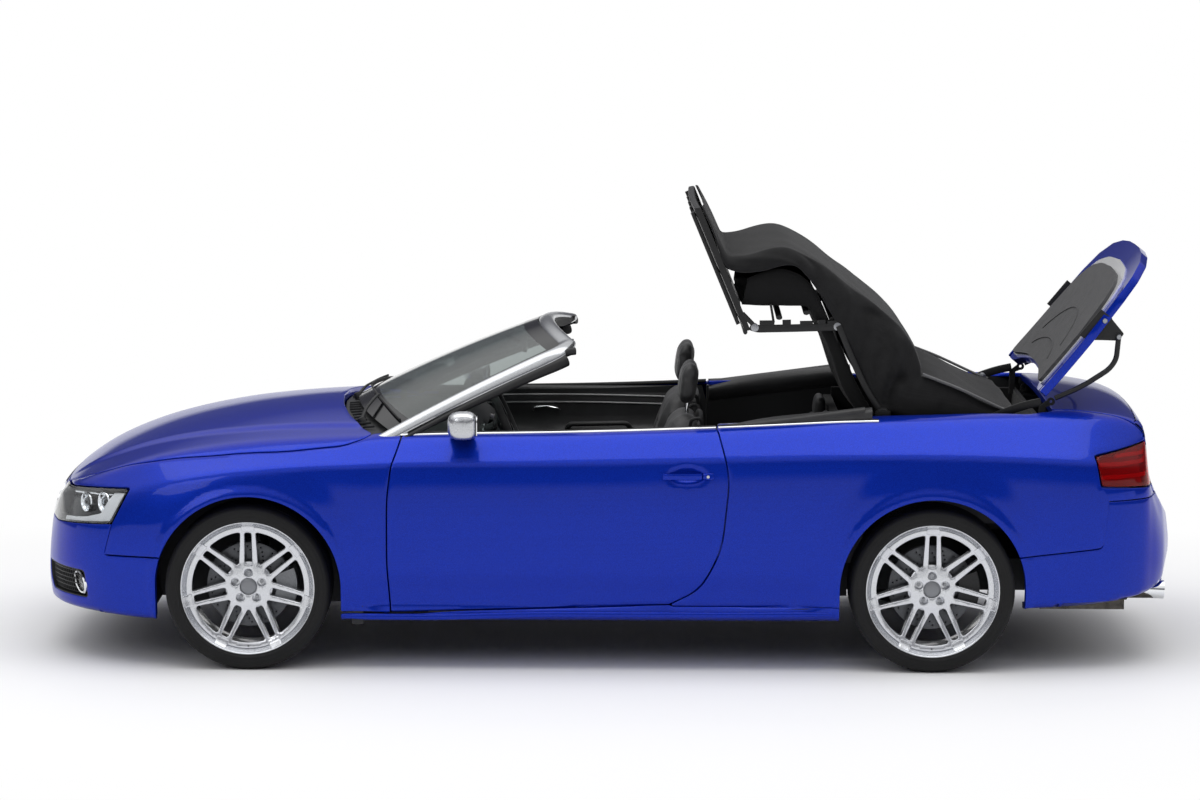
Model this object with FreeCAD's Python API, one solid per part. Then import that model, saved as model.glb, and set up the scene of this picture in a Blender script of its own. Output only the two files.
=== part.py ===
"""Two-door soft-top convertible, stored with its roof half folded and the roof-box cover up.

Frame: millimetres, +X to the rear, +Y to the car's right, +Z up. The origin is on the ground under
the middle of the car. Every panel is cut out of one lofted body form, so neighbours share its surface
and stand a shut gap apart.
"""
import FreeCAD, Part

import math
import os

V = FreeCAD.Vector

# ---------------------------------------------------------------- driving dimensions
LENGTH = 4635.0
WHEELBASE = 2751.0
FRONT_OVERHANG = 870.0
TRACK = 1570.0
TYRE_RADIUS = 333.5
TYRE_WIDTH = 265.0
RIM_RADIUS = 272.0            # outer edge of the rim flange
WHEEL_OFFSET = 30.0           # hub face outboard of the tyre's middle plane
HUB_PCD = 112.0
HUB_BOLTS = 5
DISC_RADIUS = 172.0
DISC_THICKNESS = 30.0
KINGPIN_Y = 715.0             # steering axis of each front wheel
ARCH_RADIUS = 374.0           # visible wheel-arch opening
WELL_RADIUS = 405.0           # wheel house behind the arch lip
ARCH_LIP_Y = 862.0            # the lip lies outside this
WELL_INNER_Y = 448.0          # inner wall of the front wheel houses
REAR_WELL_INNER_Y = 610.0
SHUT_GAP = 5.0                # gap between neighbouring panels
RUN_GAP = 0.3                 # seat and hinge clearance
SKIN = 32.0                   # bonnet, boot lid and bumper walls, outer and inner sheet together
SILL_BOTTOM = 186.0
FLOOR_TOP = 262.0
TUNNEL_HALF_WIDTH = 112.0
CABIN_HALF_WIDTH = 742.0      # inside faces of the sills and posts
DOOR_INNER_Y = 745.0          # inside face of the door
DOOR_REBATE_Y = 865.0         # the outer skin's flange starts here
DOOR_HINGE = (-800.0, 860.0)  # upright axis of the right-hand door
DOOR_SWING = 65.0
BONNET_HINGE = (-900.0, 925.0)
BOOT_HINGE = (1812.0, 978.0)
COVER_HINGE = (1796.0, 1067.0)
COVER_OPEN = 130.0            # the raised cover's angle from shut
FRONT_AXLE_X = FRONT_OVERHANG - LENGTH / 2
REAR_AXLE_X = FRONT_AXLE_X + WHEELBASE
AXLE_Z = TYRE_RADIUS
WHEEL_Y = TRACK / 2
NOSE_X = -LENGTH / 2
TAIL_X = LENGTH / 2
LEFT, RIGHT = -1, 1
SIDES = {"left": LEFT, "right": RIGHT}

# Body form, one row a station. Each half section runs from the bottom edge (yb, zb) to the lower
# crease (yl, zl), bulges through ym to the shoulder crease (ys, zs), leans in to the belt (yt, zt)
# and crowns over the centre line at zc.
BODY_STATIONS = [
    # x from the front axle, zb,  yb,   zl,  yl,  ym,   zs,  ys,   zt,  yt,   zc
    (NOSE_X - FRONT_AXLE_X, 236, 260, 262, 300, 312, 300, 296, 330, 250, 336),
    (-852, 214, 380, 290, 440, 455, 440, 430, 500, 380, 512),
    (-805, 204, 520, 320, 580, 602, 560, 562, 650, 480, 676),
    (-720, 196, 650, 335, 712, 737, 630, 692, 712, 600, 750),
    (-570, 188, 770, 350, 824, 850, 690, 808, 784, 700, 826),
    (-400, 180, 838, 360, 874, 900, 742, 868, 840, 745, 886),
    (-200, 180, 868, 370, 903, 921, 788, 895, 882, 762, 934),
    (0, 182, 876, 376, 911, 927, 814, 905, 908, 775, 968),
    (300, 186, 880, 385, 914, 927, 832, 908, 926, 793, 998),
    (560, 186, 880, 391, 914, 927, 838, 906, 938, 802, 1006),
    (1447, 186, 880, 400, 914, 927, 851, 906, 960, 812, 978),
    (2050, 186, 880, 410, 914, 927, 867, 908, 986, 808, 1002),
    (2450, 190, 880, 415, 913, 927, 877, 908, 1010, 786, 1030),
    (WHEELBASE, 212, 878, 415, 909, 925, 880, 903, 1020, 764, 1042),
    (3050, 238, 872, 410, 896, 911, 872, 890, 1030, 730, 1050),
    (3300, 250, 848, 402, 868, 884, 858, 862, 1030, 692, 1050),
    (3500, 266, 790, 395, 812, 828, 838, 802, 1012, 642, 1038),
    (3620, 286, 712, 390, 738, 752, 806, 712, 968, 600, 1000),
    (3655, 296, 668, 386, 694, 708, 690, 672, 760, 590, 776),
    (3712, 322, 565, 384, 600, 615, 560, 582, 642, 520, 652),
    (TAIL_X - FRONT_AXLE_X, 372, 300, 410, 360, 372, 515, 340, 566, 290, 574),
]


# ---------------------------------------------------------------- helpers
def box(x0, x1, y0, y1, z0, z1):
    """A box given by its limits on each axis."""
    return Part.makeBox(x1 - x0, y1 - y0, z1 - z0, V(x0, y0, z0))


def cylinder_y(x, z, radius, y0, y1):
    return Part.makeCylinder(radius, y1 - y0, V(x, y0, z), V(0, 1, 0))


def polygon(points):
    return Part.makePolygon([V(*p) for p in points] + [V(*points[0])])


def grown_face(points, grow):
    wire = polygon(points)
    return Part.Face(wire.makeOffset2D(grow, 2) if grow else wire)


def side_prism(outline, y0, y1, grow=0.0):
    """An (x, z) outline, grown by a clearance, carried across the car from y0 to y1."""
    return grown_face([(x, y0, z) for x, z in outline], grow).extrude(V(0, y1 - y0, 0))


def plan_prism(outline, z0, z1, grow=0.0):
    """An (x, y) outline, grown by a clearance, carried up from z0 to z1."""
    return grown_face([(x, y, z0) for x, y in outline], grow).extrude(V(0, 0, z1 - z0))


def both_sides(make):
    """Joins what make(side) gives for the left and for the right."""
    return make(LEFT).fuse(make(RIGHT))


def mirrored(shape):
    return shape.mirror(V(0, 0, 0), V(0, 1, 0))


def on_side(shape, side):
    """A shape modelled on the right, or its mirror image on the left."""
    return shape if side == RIGHT else mirrored(shape)


def fused(shapes):
    first, *others = shapes
    return first.multiFuse(others).removeSplitter() if others else first


def solid_of(shape, keep=1):
    """The largest solids of a shape, leaving slivers behind."""
    solids = sorted(shape.Solids, key=lambda s: -s.Volume)[:keep]
    return solids[0] if keep == 1 else Part.makeCompound(solids)


def tube(points, radius):
    """A round bar along straight runs, with a ball at each bend."""
    pieces = []
    for a, b in zip(points, points[1:]):
        a, b = V(*a), V(*b)
        pieces.append(Part.makeCylinder(radius, (b - a).Length, a, b - a))
    pieces += [Part.makeSphere(radius, V(*p)) for p in points[1:-1]]
    return fused(pieces)


def bar(a, b, width, depth, across=(0, 1, 0)):
    """A rectangular bar from a to b: width along across, depth square to both."""
    a, b, w = V(*a), V(*b), V(*across)
    along = (b - a).normalize()
    d = along.cross(w).normalize()
    w = d.cross(along).normalize()
    ends = []
    for p in (a, b):
        corners = ((1, 1), (-1, 1), (-1, -1), (1, -1))
        ring = [p + w * (sw * width / 2) + d * (sd * depth / 2) for sw, sd in corners]
        ends.append(Part.makePolygon(ring + [ring[0]]))
    return Part.makeLoft(ends, True, True)


NODES = {}


def node(name, shape):
    NODES[name] = shape


# ---------------------------------------------------------------- the body form
def body_section(row, inset=0.0):
    """One closed section, drawn in on every side by an inset."""
    x, zb, yb, zl, yl, ym, zs, ys, zt, yt, zc = row
    span = (LENGTH / 2 - inset) / (LENGTH / 2)
    x = (x + FRONT_AXLE_X) * span
    yb, yl, ym, ys = yb - inset, yl - inset, ym - inset, ys - inset
    yt -= 0.9 * inset
    zb += inset * 0.8
    zs, zt, zc = zs - 0.6 * inset, zt - inset, zc - inset
    zl = min(zl, zs - 4)
    zb = min(zb, zl - 4)
    edges = [Part.LineSegment(V(x, -yb, zb), V(x, yb, zb)).toShape()]
    for s in (1, -1):
        edges += [
            Part.LineSegment(V(x, s * yb, zb), V(x, s * yl, zl)).toShape(),
            Part.Arc(V(x, s * yl, zl), V(x, s * ym, (zl + zs) / 2), V(x, s * ys, zs)).toShape(),
            Part.LineSegment(V(x, s * ys, zs), V(x, s * yt, zt)).toShape(),
        ]
    edges.append(Part.Arc(V(x, yt, zt), V(x, 0, zc), V(x, -yt, zt)).toShape())
    return Part.Wire(Part.__sortEdges__(edges))


def body_form(inset=0.0):
    return Part.makeLoft([body_section(row, inset) for row in BODY_STATIONS], True, True)


FORM = body_form()
FORM_OUT = body_form(-RUN_GAP)
INNER = body_form(SKIN)                # inside faces of lids and bumpers
INNER_CLEAR = body_form(SKIN + 6.0)     # what stays clear below a lid
LAMP_BACK = body_form(55.0)
LAMP_BACK_CLEAR = body_form(61.0)
LINER_FORM = body_form(SKIN + 14.0)


def outer(region):
    """The part of the body form inside a region."""
    return FORM.common(region)


def half_to_full(points):
    """A plan outline from its right half, walked back along the left."""
    return points + [(x, -y) for x, y in reversed(points) if y > 0]


# ---------------------------------------------------------------- wheel houses
def wheel_house(axle_x, inner_y):
    house = cylinder_y(axle_x, AXLE_Z, WELL_RADIUS, inner_y, ARCH_LIP_Y)
    arch = cylinder_y(axle_x, AXLE_Z, ARCH_RADIUS, inner_y, 1000)
    below = box(axle_x - ARCH_RADIUS, axle_x + ARCH_RADIUS, inner_y, 1000, 0, AXLE_Z)
    return house.multiFuse([arch, below])


WELLS = fused([on_side(wheel_house(x, inner), side) for x, inner in
               ((FRONT_AXLE_X, WELL_INNER_Y), (REAR_AXLE_X, REAR_WELL_INNER_Y)) for side in SIDES.values()])

# ---------------------------------------------------------------- bonnet
BONNET_PLAN = half_to_full([
    (-1112, 0), (-1100, 250), (-1062, 480), (-1010, 640), (-952, 752), (-985, 792), (-1060, 822),
    (-1300, 830), (-1600, 806), (-1860, 752), (-2040, 668), (-2160, 540), (-2228, 370), (-2252, 0)])
BONNET_FRONT_Z = 692.0
BONNET_LUG_Y = (702.0, 714.0)
PIN_RADIUS = 6.0
EAR_RADIUS = 16.0
EAR_WIDTH = 12.0

bonnet_region = plan_prism(BONNET_PLAN, BONNET_FRONT_Z, 1100)
BONNET_CLEAR = plan_prism(BONNET_PLAN, BONNET_FRONT_Z - SHUT_GAP, 1100, SHUT_GAP).cut(INNER_CLEAR)


def hinge_ear(hinge, y0, outline, hole):
    """A plate along X and Z that ends round the hinge line, with a pin's hole if asked."""
    x, z = hinge
    ear = side_prism(outline, y0, y0 + EAR_WIDTH).fuse(cylinder_y(x, z, EAR_RADIUS, y0, y0 + EAR_WIDTH))
    return ear.cut(cylinder_y(x, z, PIN_RADIUS + RUN_GAP, y0 - 1, y0 + EAR_WIDTH + 1)) if hole else ear


def bonnet():
    shell = outer(bonnet_region).cut(INNER)
    x, z = BONNET_HINGE
    y0 = BONNET_LUG_Y[1] + RUN_GAP
    outline = [(x - 8, z - 14), (x - 90, z - 14), (x - 96, z + 14), (x - 8, z + 14)]
    arm = hinge_ear(BONNET_HINGE, y0, outline, False)
    pin = cylinder_y(x, z, PIN_RADIUS, BONNET_LUG_Y[0], y0 + 1)
    arm = arm.fuse(pin)
    return fused([shell, arm, mirrored(arm)])


BONNET_POCKET = both_sides(lambda s: on_side(
    cylinder_y(BONNET_HINGE[0], BONNET_HINGE[1], 30, BONNET_LUG_Y[0] - 1, 745).fuse(
        box(BONNET_HINGE[0] - 125, BONNET_HINGE[0], BONNET_LUG_Y[0] - 1, 745, BONNET_HINGE[1] - 24, 1100)), s))

# ---------------------------------------------------------------- doors
DOOR_OUTLINE = [(-872, 243), (-886, 440), (-886, 700), (-870, 832), (-850, 882), (-815, 1030),
                (420, 1030), (436, 968), (483, 802), (452, 499), (365, 333), (245, 272)]
DOOR_FLANGE = 25.0
DOOR_INNER_GAP = 12.0
DOOR_CHAMFER = [(-1000, 1046), (-886, 915), (-740, 745), (-640, 628), (-1000, 600)]
HINGE_LEVELS = (400.0, 700.0)
HINGE_LEAF = 16.0
HINGE_ARM_ANGLE = 250.0
# largest radius, by height, that the door's front edge sweeps about its hinge
DOOR_FRONT_SWEEP = [(180, 76), (250, 79), (390, 101), (480, 109), (620, 110), (700, 109), (770, 100),
                    (838, 84), (862, 66), (876, 54), (902, 42), (904, 0)]


def moved_prism(outline, y0, y1, shift, grow=0.0):
    return side_prism([(x + shift, z) for x, z in outline], y0, y1, grow)


def hinge_arm(radius_gap=0.0, height_gap=0.0, swing=0.0, reach=125.0):
    """The fixed hinge arms, or the slots they need as the door swings."""
    hx, hy = DOOR_HINGE
    half = EAR_RADIUS + radius_gap
    first = math.radians(HINGE_ARM_ANGLE - swing - 90)
    last = math.radians(HINGE_ARM_ANGLE + 90)
    a0 = math.radians(HINGE_ARM_ANGLE - swing)
    a1 = math.radians(HINGE_ARM_ANGLE)
    p = [(hx + half * math.cos(first), hy + half * math.sin(first))]
    p.append((p[0][0] + reach * math.cos(a0), p[0][1] + reach * math.sin(a0)))
    if swing:
        middle = (a0 + a1) / 2
        p.append((hx + 1.25 * reach * math.cos(middle), hy + 1.25 * reach * math.sin(middle)))
    q = (hx + half * math.cos(last), hy + half * math.sin(last))
    p.append((q[0] + reach * math.cos(a1), q[1] + reach * math.sin(a1)))
    p.append(q)
    arms = []
    for level in HINGE_LEVELS:
        z0 = level - HINGE_LEAF / 2 - height_gap
        height = HINGE_LEAF + 2 * height_gap
        arms.append(plan_prism(p, z0, z0 + height).fuse(Part.makeCylinder(half, height, V(hx, hy, z0))))
    return arms[0].fuse(arms[1])


def hinge_pins(radius):
    hx, hy = DOOR_HINGE
    return [Part.makeCylinder(radius, HINGE_LEAF + 20, V(hx, hy, level - HINGE_LEAF / 2 - 10))
            for level in HINGE_LEVELS]


def door():
    flange = side_prism(DOOR_OUTLINE, DOOR_REBATE_Y, 960)
    inner = side_prism(DOOR_OUTLINE, DOOR_INNER_Y, DOOR_REBATE_Y).common(
        moved_prism(DOOR_OUTLINE, DOOR_INNER_Y, DOOR_REBATE_Y, -DOOR_FLANGE))
    solid = outer(flange.fuse(inner)).cut(plan_prism(DOOR_CHAMFER, 150, 1100))
    solid = solid.cut(hinge_arm(RUN_GAP + 1.0, RUN_GAP, DOOR_SWING + 8, 170))
    solid = solid.cut(box(-780, 400, 800, 822, 760, 1100))
    return solid.cut(screen_post(4.0)).multiFuse(hinge_pins(PIN_RADIUS))


def door_void():
    """The room that a door and its swing need in the fixed body."""
    step = DOOR_REBATE_Y - SHUT_GAP
    outer_void = side_prism(DOOR_OUTLINE, step, 1000, SHUT_GAP)
    inner_shift = SHUT_GAP - DOOR_FLANGE + DOOR_INNER_GAP - 2 * SHUT_GAP
    inner_void = side_prism(DOOR_OUTLINE, CABIN_HALF_WIDTH, step, SHUT_GAP).common(
        moved_prism(DOOR_OUTLINE, CABIN_HALF_WIDTH, step, inner_shift, SHUT_GAP))
    chamfer = [(x - 4, y - 4) for x, y in DOOR_CHAMFER]
    void = outer_void.fuse(inner_void).cut(plan_prism(chamfer, 100, 1100))
    hx, hy = DOOR_HINGE
    profile = [V(hx, hy, DOOR_FRONT_SWEEP[0][0])]
    profile += [V(hx + r + SHUT_GAP, hy, z) for z, r in DOOR_FRONT_SWEEP]
    profile += [V(hx, hy, DOOR_FRONT_SWEEP[-1][0])]
    sweep = Part.Face(Part.makePolygon(profile + [profile[0]])).revolve(V(hx, hy, 0), V(0, 0, 1), 360)
    sweep = sweep.cut(side_prism([(-1100, 100), (600, 100), (600, 238), (-1100, 238)], 600, 1000))
    return void.fuse(sweep)


DOOR_VOID = door_void()
DOOR_VOIDS = both_sides(lambda s: on_side(DOOR_VOID, s))
HINGE_ARMS = hinge_arm().cut(fused(hinge_pins(PIN_RADIUS + RUN_GAP)))

# ---------------------------------------------------------------- lamps, grille and bumpers
HEADLAMP_OUTLINE = [(-2300, 566), (-2246, 559), (-2001, 585), (-1930, 724), (-2185, 697), (-2300, 690)]
HEADLAMP_INNER_Y = 375.0
HEADLAMP_BACK = [(-2340, HEADLAMP_INNER_Y), (-2340, 960), (-1900, 960), (-1925, 640), (-2120, HEADLAMP_INNER_Y)]
TAILLAMP_OUTLINE = [(1955, 872), (2260, 922), (2260, 730), (1983, 752)]
TAILLAMP_INNER_Y = 400.0
DECK_HALF_WIDTH = 616.0
TAILLAMP_SPLIT_Y = DECK_HALF_WIDTH + SHUT_GAP
GRILLE_OUTLINE = [(-262, 290), (-362, 610), (-325, 668), (325, 668), (362, 610), (262, 290)]
GRILLE_FRAME = 24.0
GRILLE_BAR_SPAN = 560.0
GRILLE_BARS = 11
FOG_OUTLINE = [(-2320, 272), (-2320, 390), (-2120, 384), (-2107, 258), (-2250, 250)]
FOG_INNER_Y = 480.0


def headlamp_region(grow=0.0):
    prism = side_prism(HEADLAMP_OUTLINE, HEADLAMP_INNER_Y - grow, 960, grow)
    return prism.common(plan_prism(HEADLAMP_BACK, 400, 900, grow))


def tail_lamp(y0, y1, grow=0.0):
    back = LAMP_BACK_CLEAR if grow else LAMP_BACK
    return outer(side_prism(TAILLAMP_OUTLINE, y0 - grow, y1 + grow, grow)).cut(back)


HEADLAMPS = both_sides(lambda s: on_side(headlamp_region(RUN_GAP), s))
TAILLAMP_CLEAR = both_sides(lambda s: on_side(tail_lamp(TAILLAMP_SPLIT_Y, 960, RUN_GAP), s))
LIDLAMP_CLEAR = both_sides(lambda s: on_side(tail_lamp(TAILLAMP_INNER_Y, DECK_HALF_WIDTH, SHUT_GAP), s))

grille_face = Part.Face(polygon([(NOSE_X - 20, y, z) for y, z in GRILLE_OUTLINE]))
GRILLE_OPENING = grille_face.extrude(V(400, 0, 0))


FRONT_BUMPER_OUTLINE = [(-2345, 120), (-1815, 120), (-1815, 455), (-2035, 455), (-2010, 576), (-2090, 689),
                        (-2345, 689)]


def fog_grille_region(grow=0.0):
    return side_prism(FOG_OUTLINE, FOG_INNER_Y - grow, 960, grow)


def front_bumper():
    shell = outer(side_prism(FRONT_BUMPER_OUTLINE, -960, 960)).cut(INNER).cut(WELLS).cut(GRILLE_OPENING)
    fog = fog_grille_region()
    shell = shell.cut(fog).cut(mirrored(fog)).cut(HEADLAMPS).cut(BONNET_CLEAR)
    return solid_of(shell)


def grille():
    """A frame that lines the opening, and upright bars set back in it."""
    outline = [(NOSE_X - 20, y, z) for y, z in GRILLE_OUTLINE]
    block = grown_face(outline, -RUN_GAP).extrude(V(250, 0, 0))
    hollow = grown_face(outline, -GRILLE_FRAME).extrude(V(250, 0, 0))
    frame = block.cut(hollow).common(FORM).cut(LAMP_BACK)
    x0 = NOSE_X + 66
    bars = [box(x0, x0 + 14, -400, 400, 440, 462)]
    for i in range(GRILLE_BARS):
        y = GRILLE_BAR_SPAN * (i / (GRILLE_BARS - 1) - 0.5)
        bars.append(box(x0, x0 + 14, y - 5, y + 5, 280, 700))
    core = fused(bars).common(block)
    return fused([frame, core])


def fog_grille():
    plate = outer(fog_grille_region(-1.0)).cut(INNER)
    return plate.common(box(NOSE_X, FRONT_AXLE_X - ARCH_RADIUS, FOG_INNER_Y, 960, 0, AXLE_Z + ARCH_RADIUS))


# ---------------------------------------------------------------- wings and quarters
WING_INNER_Y = 690.0
QUARTER_INNER_Y = 692.0


def wing():
    outline = [(-2045, FLOOR_TOP), (-745, FLOOR_TOP), (-745, 960), (-900, 1000), (-1925, 1000), (-1925, 728)]
    region = side_prism(outline, WING_INNER_Y, 960)
    region = region.cut(box(-985, -700, 600, 745, 0, 1100))
    panel = outer(region).cut(WELLS).cut(BONNET_CLEAR).cut(DOOR_VOID)
    panel = panel.cut(headlamp_region(RUN_GAP)).cut(BONNET_POCKET)
    panel = panel.cut(side_prism(FRONT_BUMPER_OUTLINE, -960, 960, RUN_GAP))
    panel = panel.cut(hinge_arm(RUN_GAP, RUN_GAP)).cut(screen_post(RUN_GAP))
    return solid_of(panel)


TIP_Y = (440.0, 530.0)
TIP_Z = 282.0
TIP_RADIUS = 36.0
REAR_BUMPER_OUTLINE = [(1640, 120), (2345, 120), (2345, 690), (2010, 690), (1990, 500), (1640, 470)]
BOOT_FRONT_X = 1800.0
LID_BOTTOM_Z = 702.0
COVER_PLAN = half_to_full([(1795, 0), (1795, 640), (1700, 646), (1480, 628), (1300, 596), (1200, 545),
                           (1130, 440), (1096, 300), (1082, 150), (1080, 0)])[:-1]
BOX_FRONT_X = 975.0
BOX_BACK_X = 1765.0
BOX_HALF_WIDTH = 650.0
BOX_FLOOR_Z = 565.0


def quarter():
    outline = [(430, FLOOR_TOP), (2260, FLOOR_TOP), (2260, 1100), (430, 1100)]
    region = side_prism(outline, QUARTER_INNER_Y, 960)
    gutter = [(BOOT_FRONT_X + 140, 693), (2260, 693), (2260, 1100), (BOOT_FRONT_X - 5, 1100),
              (BOOT_FRONT_X - 5, 985), (BOOT_FRONT_X + 140, 960)]
    region = region.fuse(side_prism(gutter, DECK_HALF_WIDTH + SHUT_GAP, QUARTER_INNER_Y))
    panel = outer(region).cut(WELLS).cut(DOOR_VOID).cut(TAILLAMP_CLEAR)
    panel = panel.cut(side_prism(REAR_BUMPER_OUTLINE, -960, 960, RUN_GAP))
    return solid_of(panel)


def rear_bumper():
    region = side_prism(REAR_BUMPER_OUTLINE, -960, 960)
    shell = outer(region).cut(INNER).cut(WELLS)
    shell = shell.cut(box(1600, 2180, -600, 600, 100, 290))
    for s in (LEFT, RIGHT):
        shell = shell.cut(on_side(box(2100, 2340, TIP_Y[0] - 60, TIP_Y[1] + 60, 150, TIP_Z + 46), s))
    return solid_of(shell)


# ---------------------------------------------------------------- boot lid and roof-box cover
BOOT_EAR_Y = 575.0
PLATE_HOLE_SPACING = 340.0     # the rear number plate's two screws
PLATE_HOLE_RADIUS = 3.0
PLATE_Z = 800.0


def boot_lid():
    region = box(BOOT_FRONT_X, TAIL_X, -DECK_HALF_WIDTH, DECK_HALF_WIDTH, LID_BOTTOM_Z, 1100)
    shell = outer(region).cut(INNER)
    for s in (LEFT, RIGHT):
        shell = shell.cut(on_side(tail_lamp(TAILLAMP_INNER_Y, DECK_HALF_WIDTH + 20, 1.0), s))
    x, z = BOOT_HINGE
    ear = hinge_ear(BOOT_HINGE, BOOT_EAR_Y + EAR_WIDTH + RUN_GAP,
                    [(x - 12, z), (x + 16, z), (x + 60, z + 30), (x - 8, z + 30)], False)
    ear = ear.fuse(cylinder_y(x, z, PIN_RADIUS, BOOT_EAR_Y, BOOT_EAR_Y + EAR_WIDTH + 1))
    ear = ear.common(FORM)
    for s in (LEFT, RIGHT):
        start = V(2100, s * PLATE_HOLE_SPACING / 2, PLATE_Z)
        shell = shell.cut(Part.makeCylinder(PLATE_HOLE_RADIUS, 300, start, V(1, 0, 0)))
    return fused([shell, ear, mirrored(ear)])


BOOT_CLEAR = box(BOOT_FRONT_X - SHUT_GAP, TAIL_X, -DECK_HALF_WIDTH - SHUT_GAP, DECK_HALF_WIDTH + SHUT_GAP,
                 LID_BOTTOM_Z - SHUT_GAP, 1100).cut(INNER_CLEAR)


def raised(shape):
    """Turns a piece of the shut cover to where it stands."""
    copy = shape.copy()
    copy.rotate(V(COVER_HINGE[0], 0, COVER_HINGE[1]), V(0, 1, 0), COVER_OPEN)
    return copy


COVER_EAR_Y = 600.0
# lets the fixed lug in
COVER_SLOT = (1650, 1810, COVER_EAR_Y - 6, COVER_EAR_Y + EAR_WIDTH + RUN_GAP, 900, 1200)


def shut_cover():
    return outer(plan_prism(COVER_PLAN, 900, 1100)).cut(INNER)


def roof_cover():
    x, z = COVER_HINGE
    y0 = COVER_EAR_Y + EAR_WIDTH + RUN_GAP
    outline = [(x - 13, z), (x + 13, z), (x - 4, z - 52), (x - 44, z - 52)]
    ear = hinge_ear(COVER_HINGE, y0, outline, False).fuse(cylinder_y(x, z, PIN_RADIUS, COVER_EAR_Y, y0 + 1))
    half = shut_cover().common(box(1000, 2000, 0, 960, 800, 1200)).cut(box(*COVER_SLOT)).fuse(ear)
    return raised(half.fuse(mirrored(half)))


def cover_liner():
    plan = half_to_full([(1760, 0), (1740, 250), (1765, 560), (1500, 545), (1320, 500), (1230, 410),
                         (1190, 250), (1180, 0)])[:-1]
    return raised(plan_prism(plan, 900, 1100).common(INNER).cut(LINER_FORM))


BAR_Y = 606.0
BAR_RADIUS = 11.0
BRACKET_OUTLINE = [(1510, 1000), (1375, 1000), (1395, 1116), (1432, 1118), (1475, 1062)]


def cover_bars():
    """Bent round bars behind the raised cover, from its hinge to a bracket on it."""
    x, z = COVER_HINGE
    first = V(1920 - x, 0, 1128 - z).normalize() * (EAR_RADIUS + RUN_GAP)
    run = [(x + first.x, BAR_Y, z + first.z), (1920, BAR_Y, 1128), (2030, BAR_Y, 1200), (2058, BAR_Y, 1240),
           (2066, BAR_Y, 1330)]
    bracket = side_prism(BRACKET_OUTLINE, BAR_Y - 13, BAR_Y + 13).cut(FORM_OUT)
    return both_sides(lambda s: on_side(tube(run, BAR_RADIUS).fuse(raised(bracket)), s))


def headlamp():
    return solid_of(outer(headlamp_region()).cut(BONNET_CLEAR))


# ---------------------------------------------------------------- tub
FIREWALL_X = (-1030.0, -985.0)
BULKHEAD_X = (940.0, BOX_FRONT_X)
BOOT_HALF_WIDTH = 600.0
TUB_BOXES = [
    # x0, x1, inner |y|, outer |y|, z0, z1
    (-1030, 917, 0, 960, SILL_BOTTOM, FLOOR_TOP),
    (-985, 428, 650, CABIN_HALF_WIDTH, FLOOR_TOP, 345),
    (-985, 640, 0, TUNNEL_HALF_WIDTH, FLOOR_TOP, 390),
    (560, 940, 0, QUARTER_INNER_Y, FLOOR_TOP, 410),
    (FIREWALL_X[0], FIREWALL_X[1], 0, WING_INNER_Y, FLOOR_TOP, 905),
    (-985, -745, 640, CABIN_HALF_WIDTH, FLOOR_TOP, 905),
    (-1085, -985, 0, WING_INNER_Y, 860, 905),
    (BULKHEAD_X[0], BULKHEAD_X[1], 0, QUARTER_INNER_Y, FLOOR_TOP, 930),
    (BOX_FRONT_X, BOX_BACK_X, 0, QUARTER_INNER_Y, BOX_FLOOR_Z - 20, BOX_FLOOR_Z),
    (BOX_FRONT_X, BOX_BACK_X, BOX_HALF_WIDTH, QUARTER_INNER_Y, BOX_FLOOR_Z, 965),
    (BOX_BACK_X, BOX_BACK_X + 20, 0, QUARTER_INNER_Y, 420, 965),
    (BULKHEAD_X[0], 2110, 0, QUARTER_INNER_Y, 290, 420),
    (2110, 2130, 0, QUARTER_INNER_Y, 330, 420),
    (BOX_BACK_X + 20, 1935, BOOT_HALF_WIDTH, QUARTER_INNER_Y, 420, 940),
    (1935, 2130, BOOT_HALF_WIDTH, QUARTER_INNER_Y, 420, 690),
    (2130, 2185, 0, QUARTER_INNER_Y, 330, 690),
    (-1810, -1030, 0, WELL_INNER_Y, 200, 225),
    (-2060, -1790, 0, WELL_INNER_Y, 223, 250),
    (-1885, -1030, WELL_INNER_Y - 12, WING_INNER_Y, 225, 850),
    (-2110, -2060, 0, 365, 240, 640),
]


def tub():
    """The welded body shell: floor, sills, tunnel, firewall, bulkheads, roof box and boot."""
    boxes = []
    for x0, x1, y0, y1, z0, z1 in TUB_BOXES:
        spans = [(-y1, y1)] if y0 == 0 else [(-y1, -y0), (y0, y1)]
        boxes += [box(x0, x1, ya, yb, z0, z1) for ya, yb in spans]
    shape = fused(boxes).common(FORM).cut(WELLS).cut(DOOR_VOIDS).cut(BONNET_CLEAR).cut(BOOT_CLEAR)
    shape = shape.cut(BONNET_POCKET).cut(TAILLAMP_CLEAR).cut(LIDLAMP_CLEAR)
    return solid_of(shape.cut(rear_bumper_clear()).cut(box(-2300, -2030, -960, 960, 0, 200)))


def bonnet_lug():
    x, z = BONNET_HINGE
    return hinge_ear(BONNET_HINGE, BONNET_LUG_Y[0],
                     [(x - 12, z), (x - 12, z - 70), (x + 30, z - 70), (x + 12, z)], True)


def boot_lug():
    x, z = BOOT_HINGE
    wall = BOX_BACK_X + 10
    return hinge_ear(BOOT_HINGE, BOOT_EAR_Y, [(x, z + 12), (wall, z - 40), (wall, z - 120), (x, z - 12)], True)


def cover_lug():
    x, z = COVER_HINGE
    return hinge_ear(COVER_HINGE, COVER_EAR_Y,
                     [(x, z + 15), (x - 14, z + 6), (x - 48, z - 20), (x - 48, z - 120), (x - 24, z - 120),
                      (x - 22, z - 24), (x, z - 15)], True)


def rear_bumper_clear():
    return side_prism(REAR_BUMPER_OUTLINE, -960, 960).cut(INNER_CLEAR)


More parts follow.
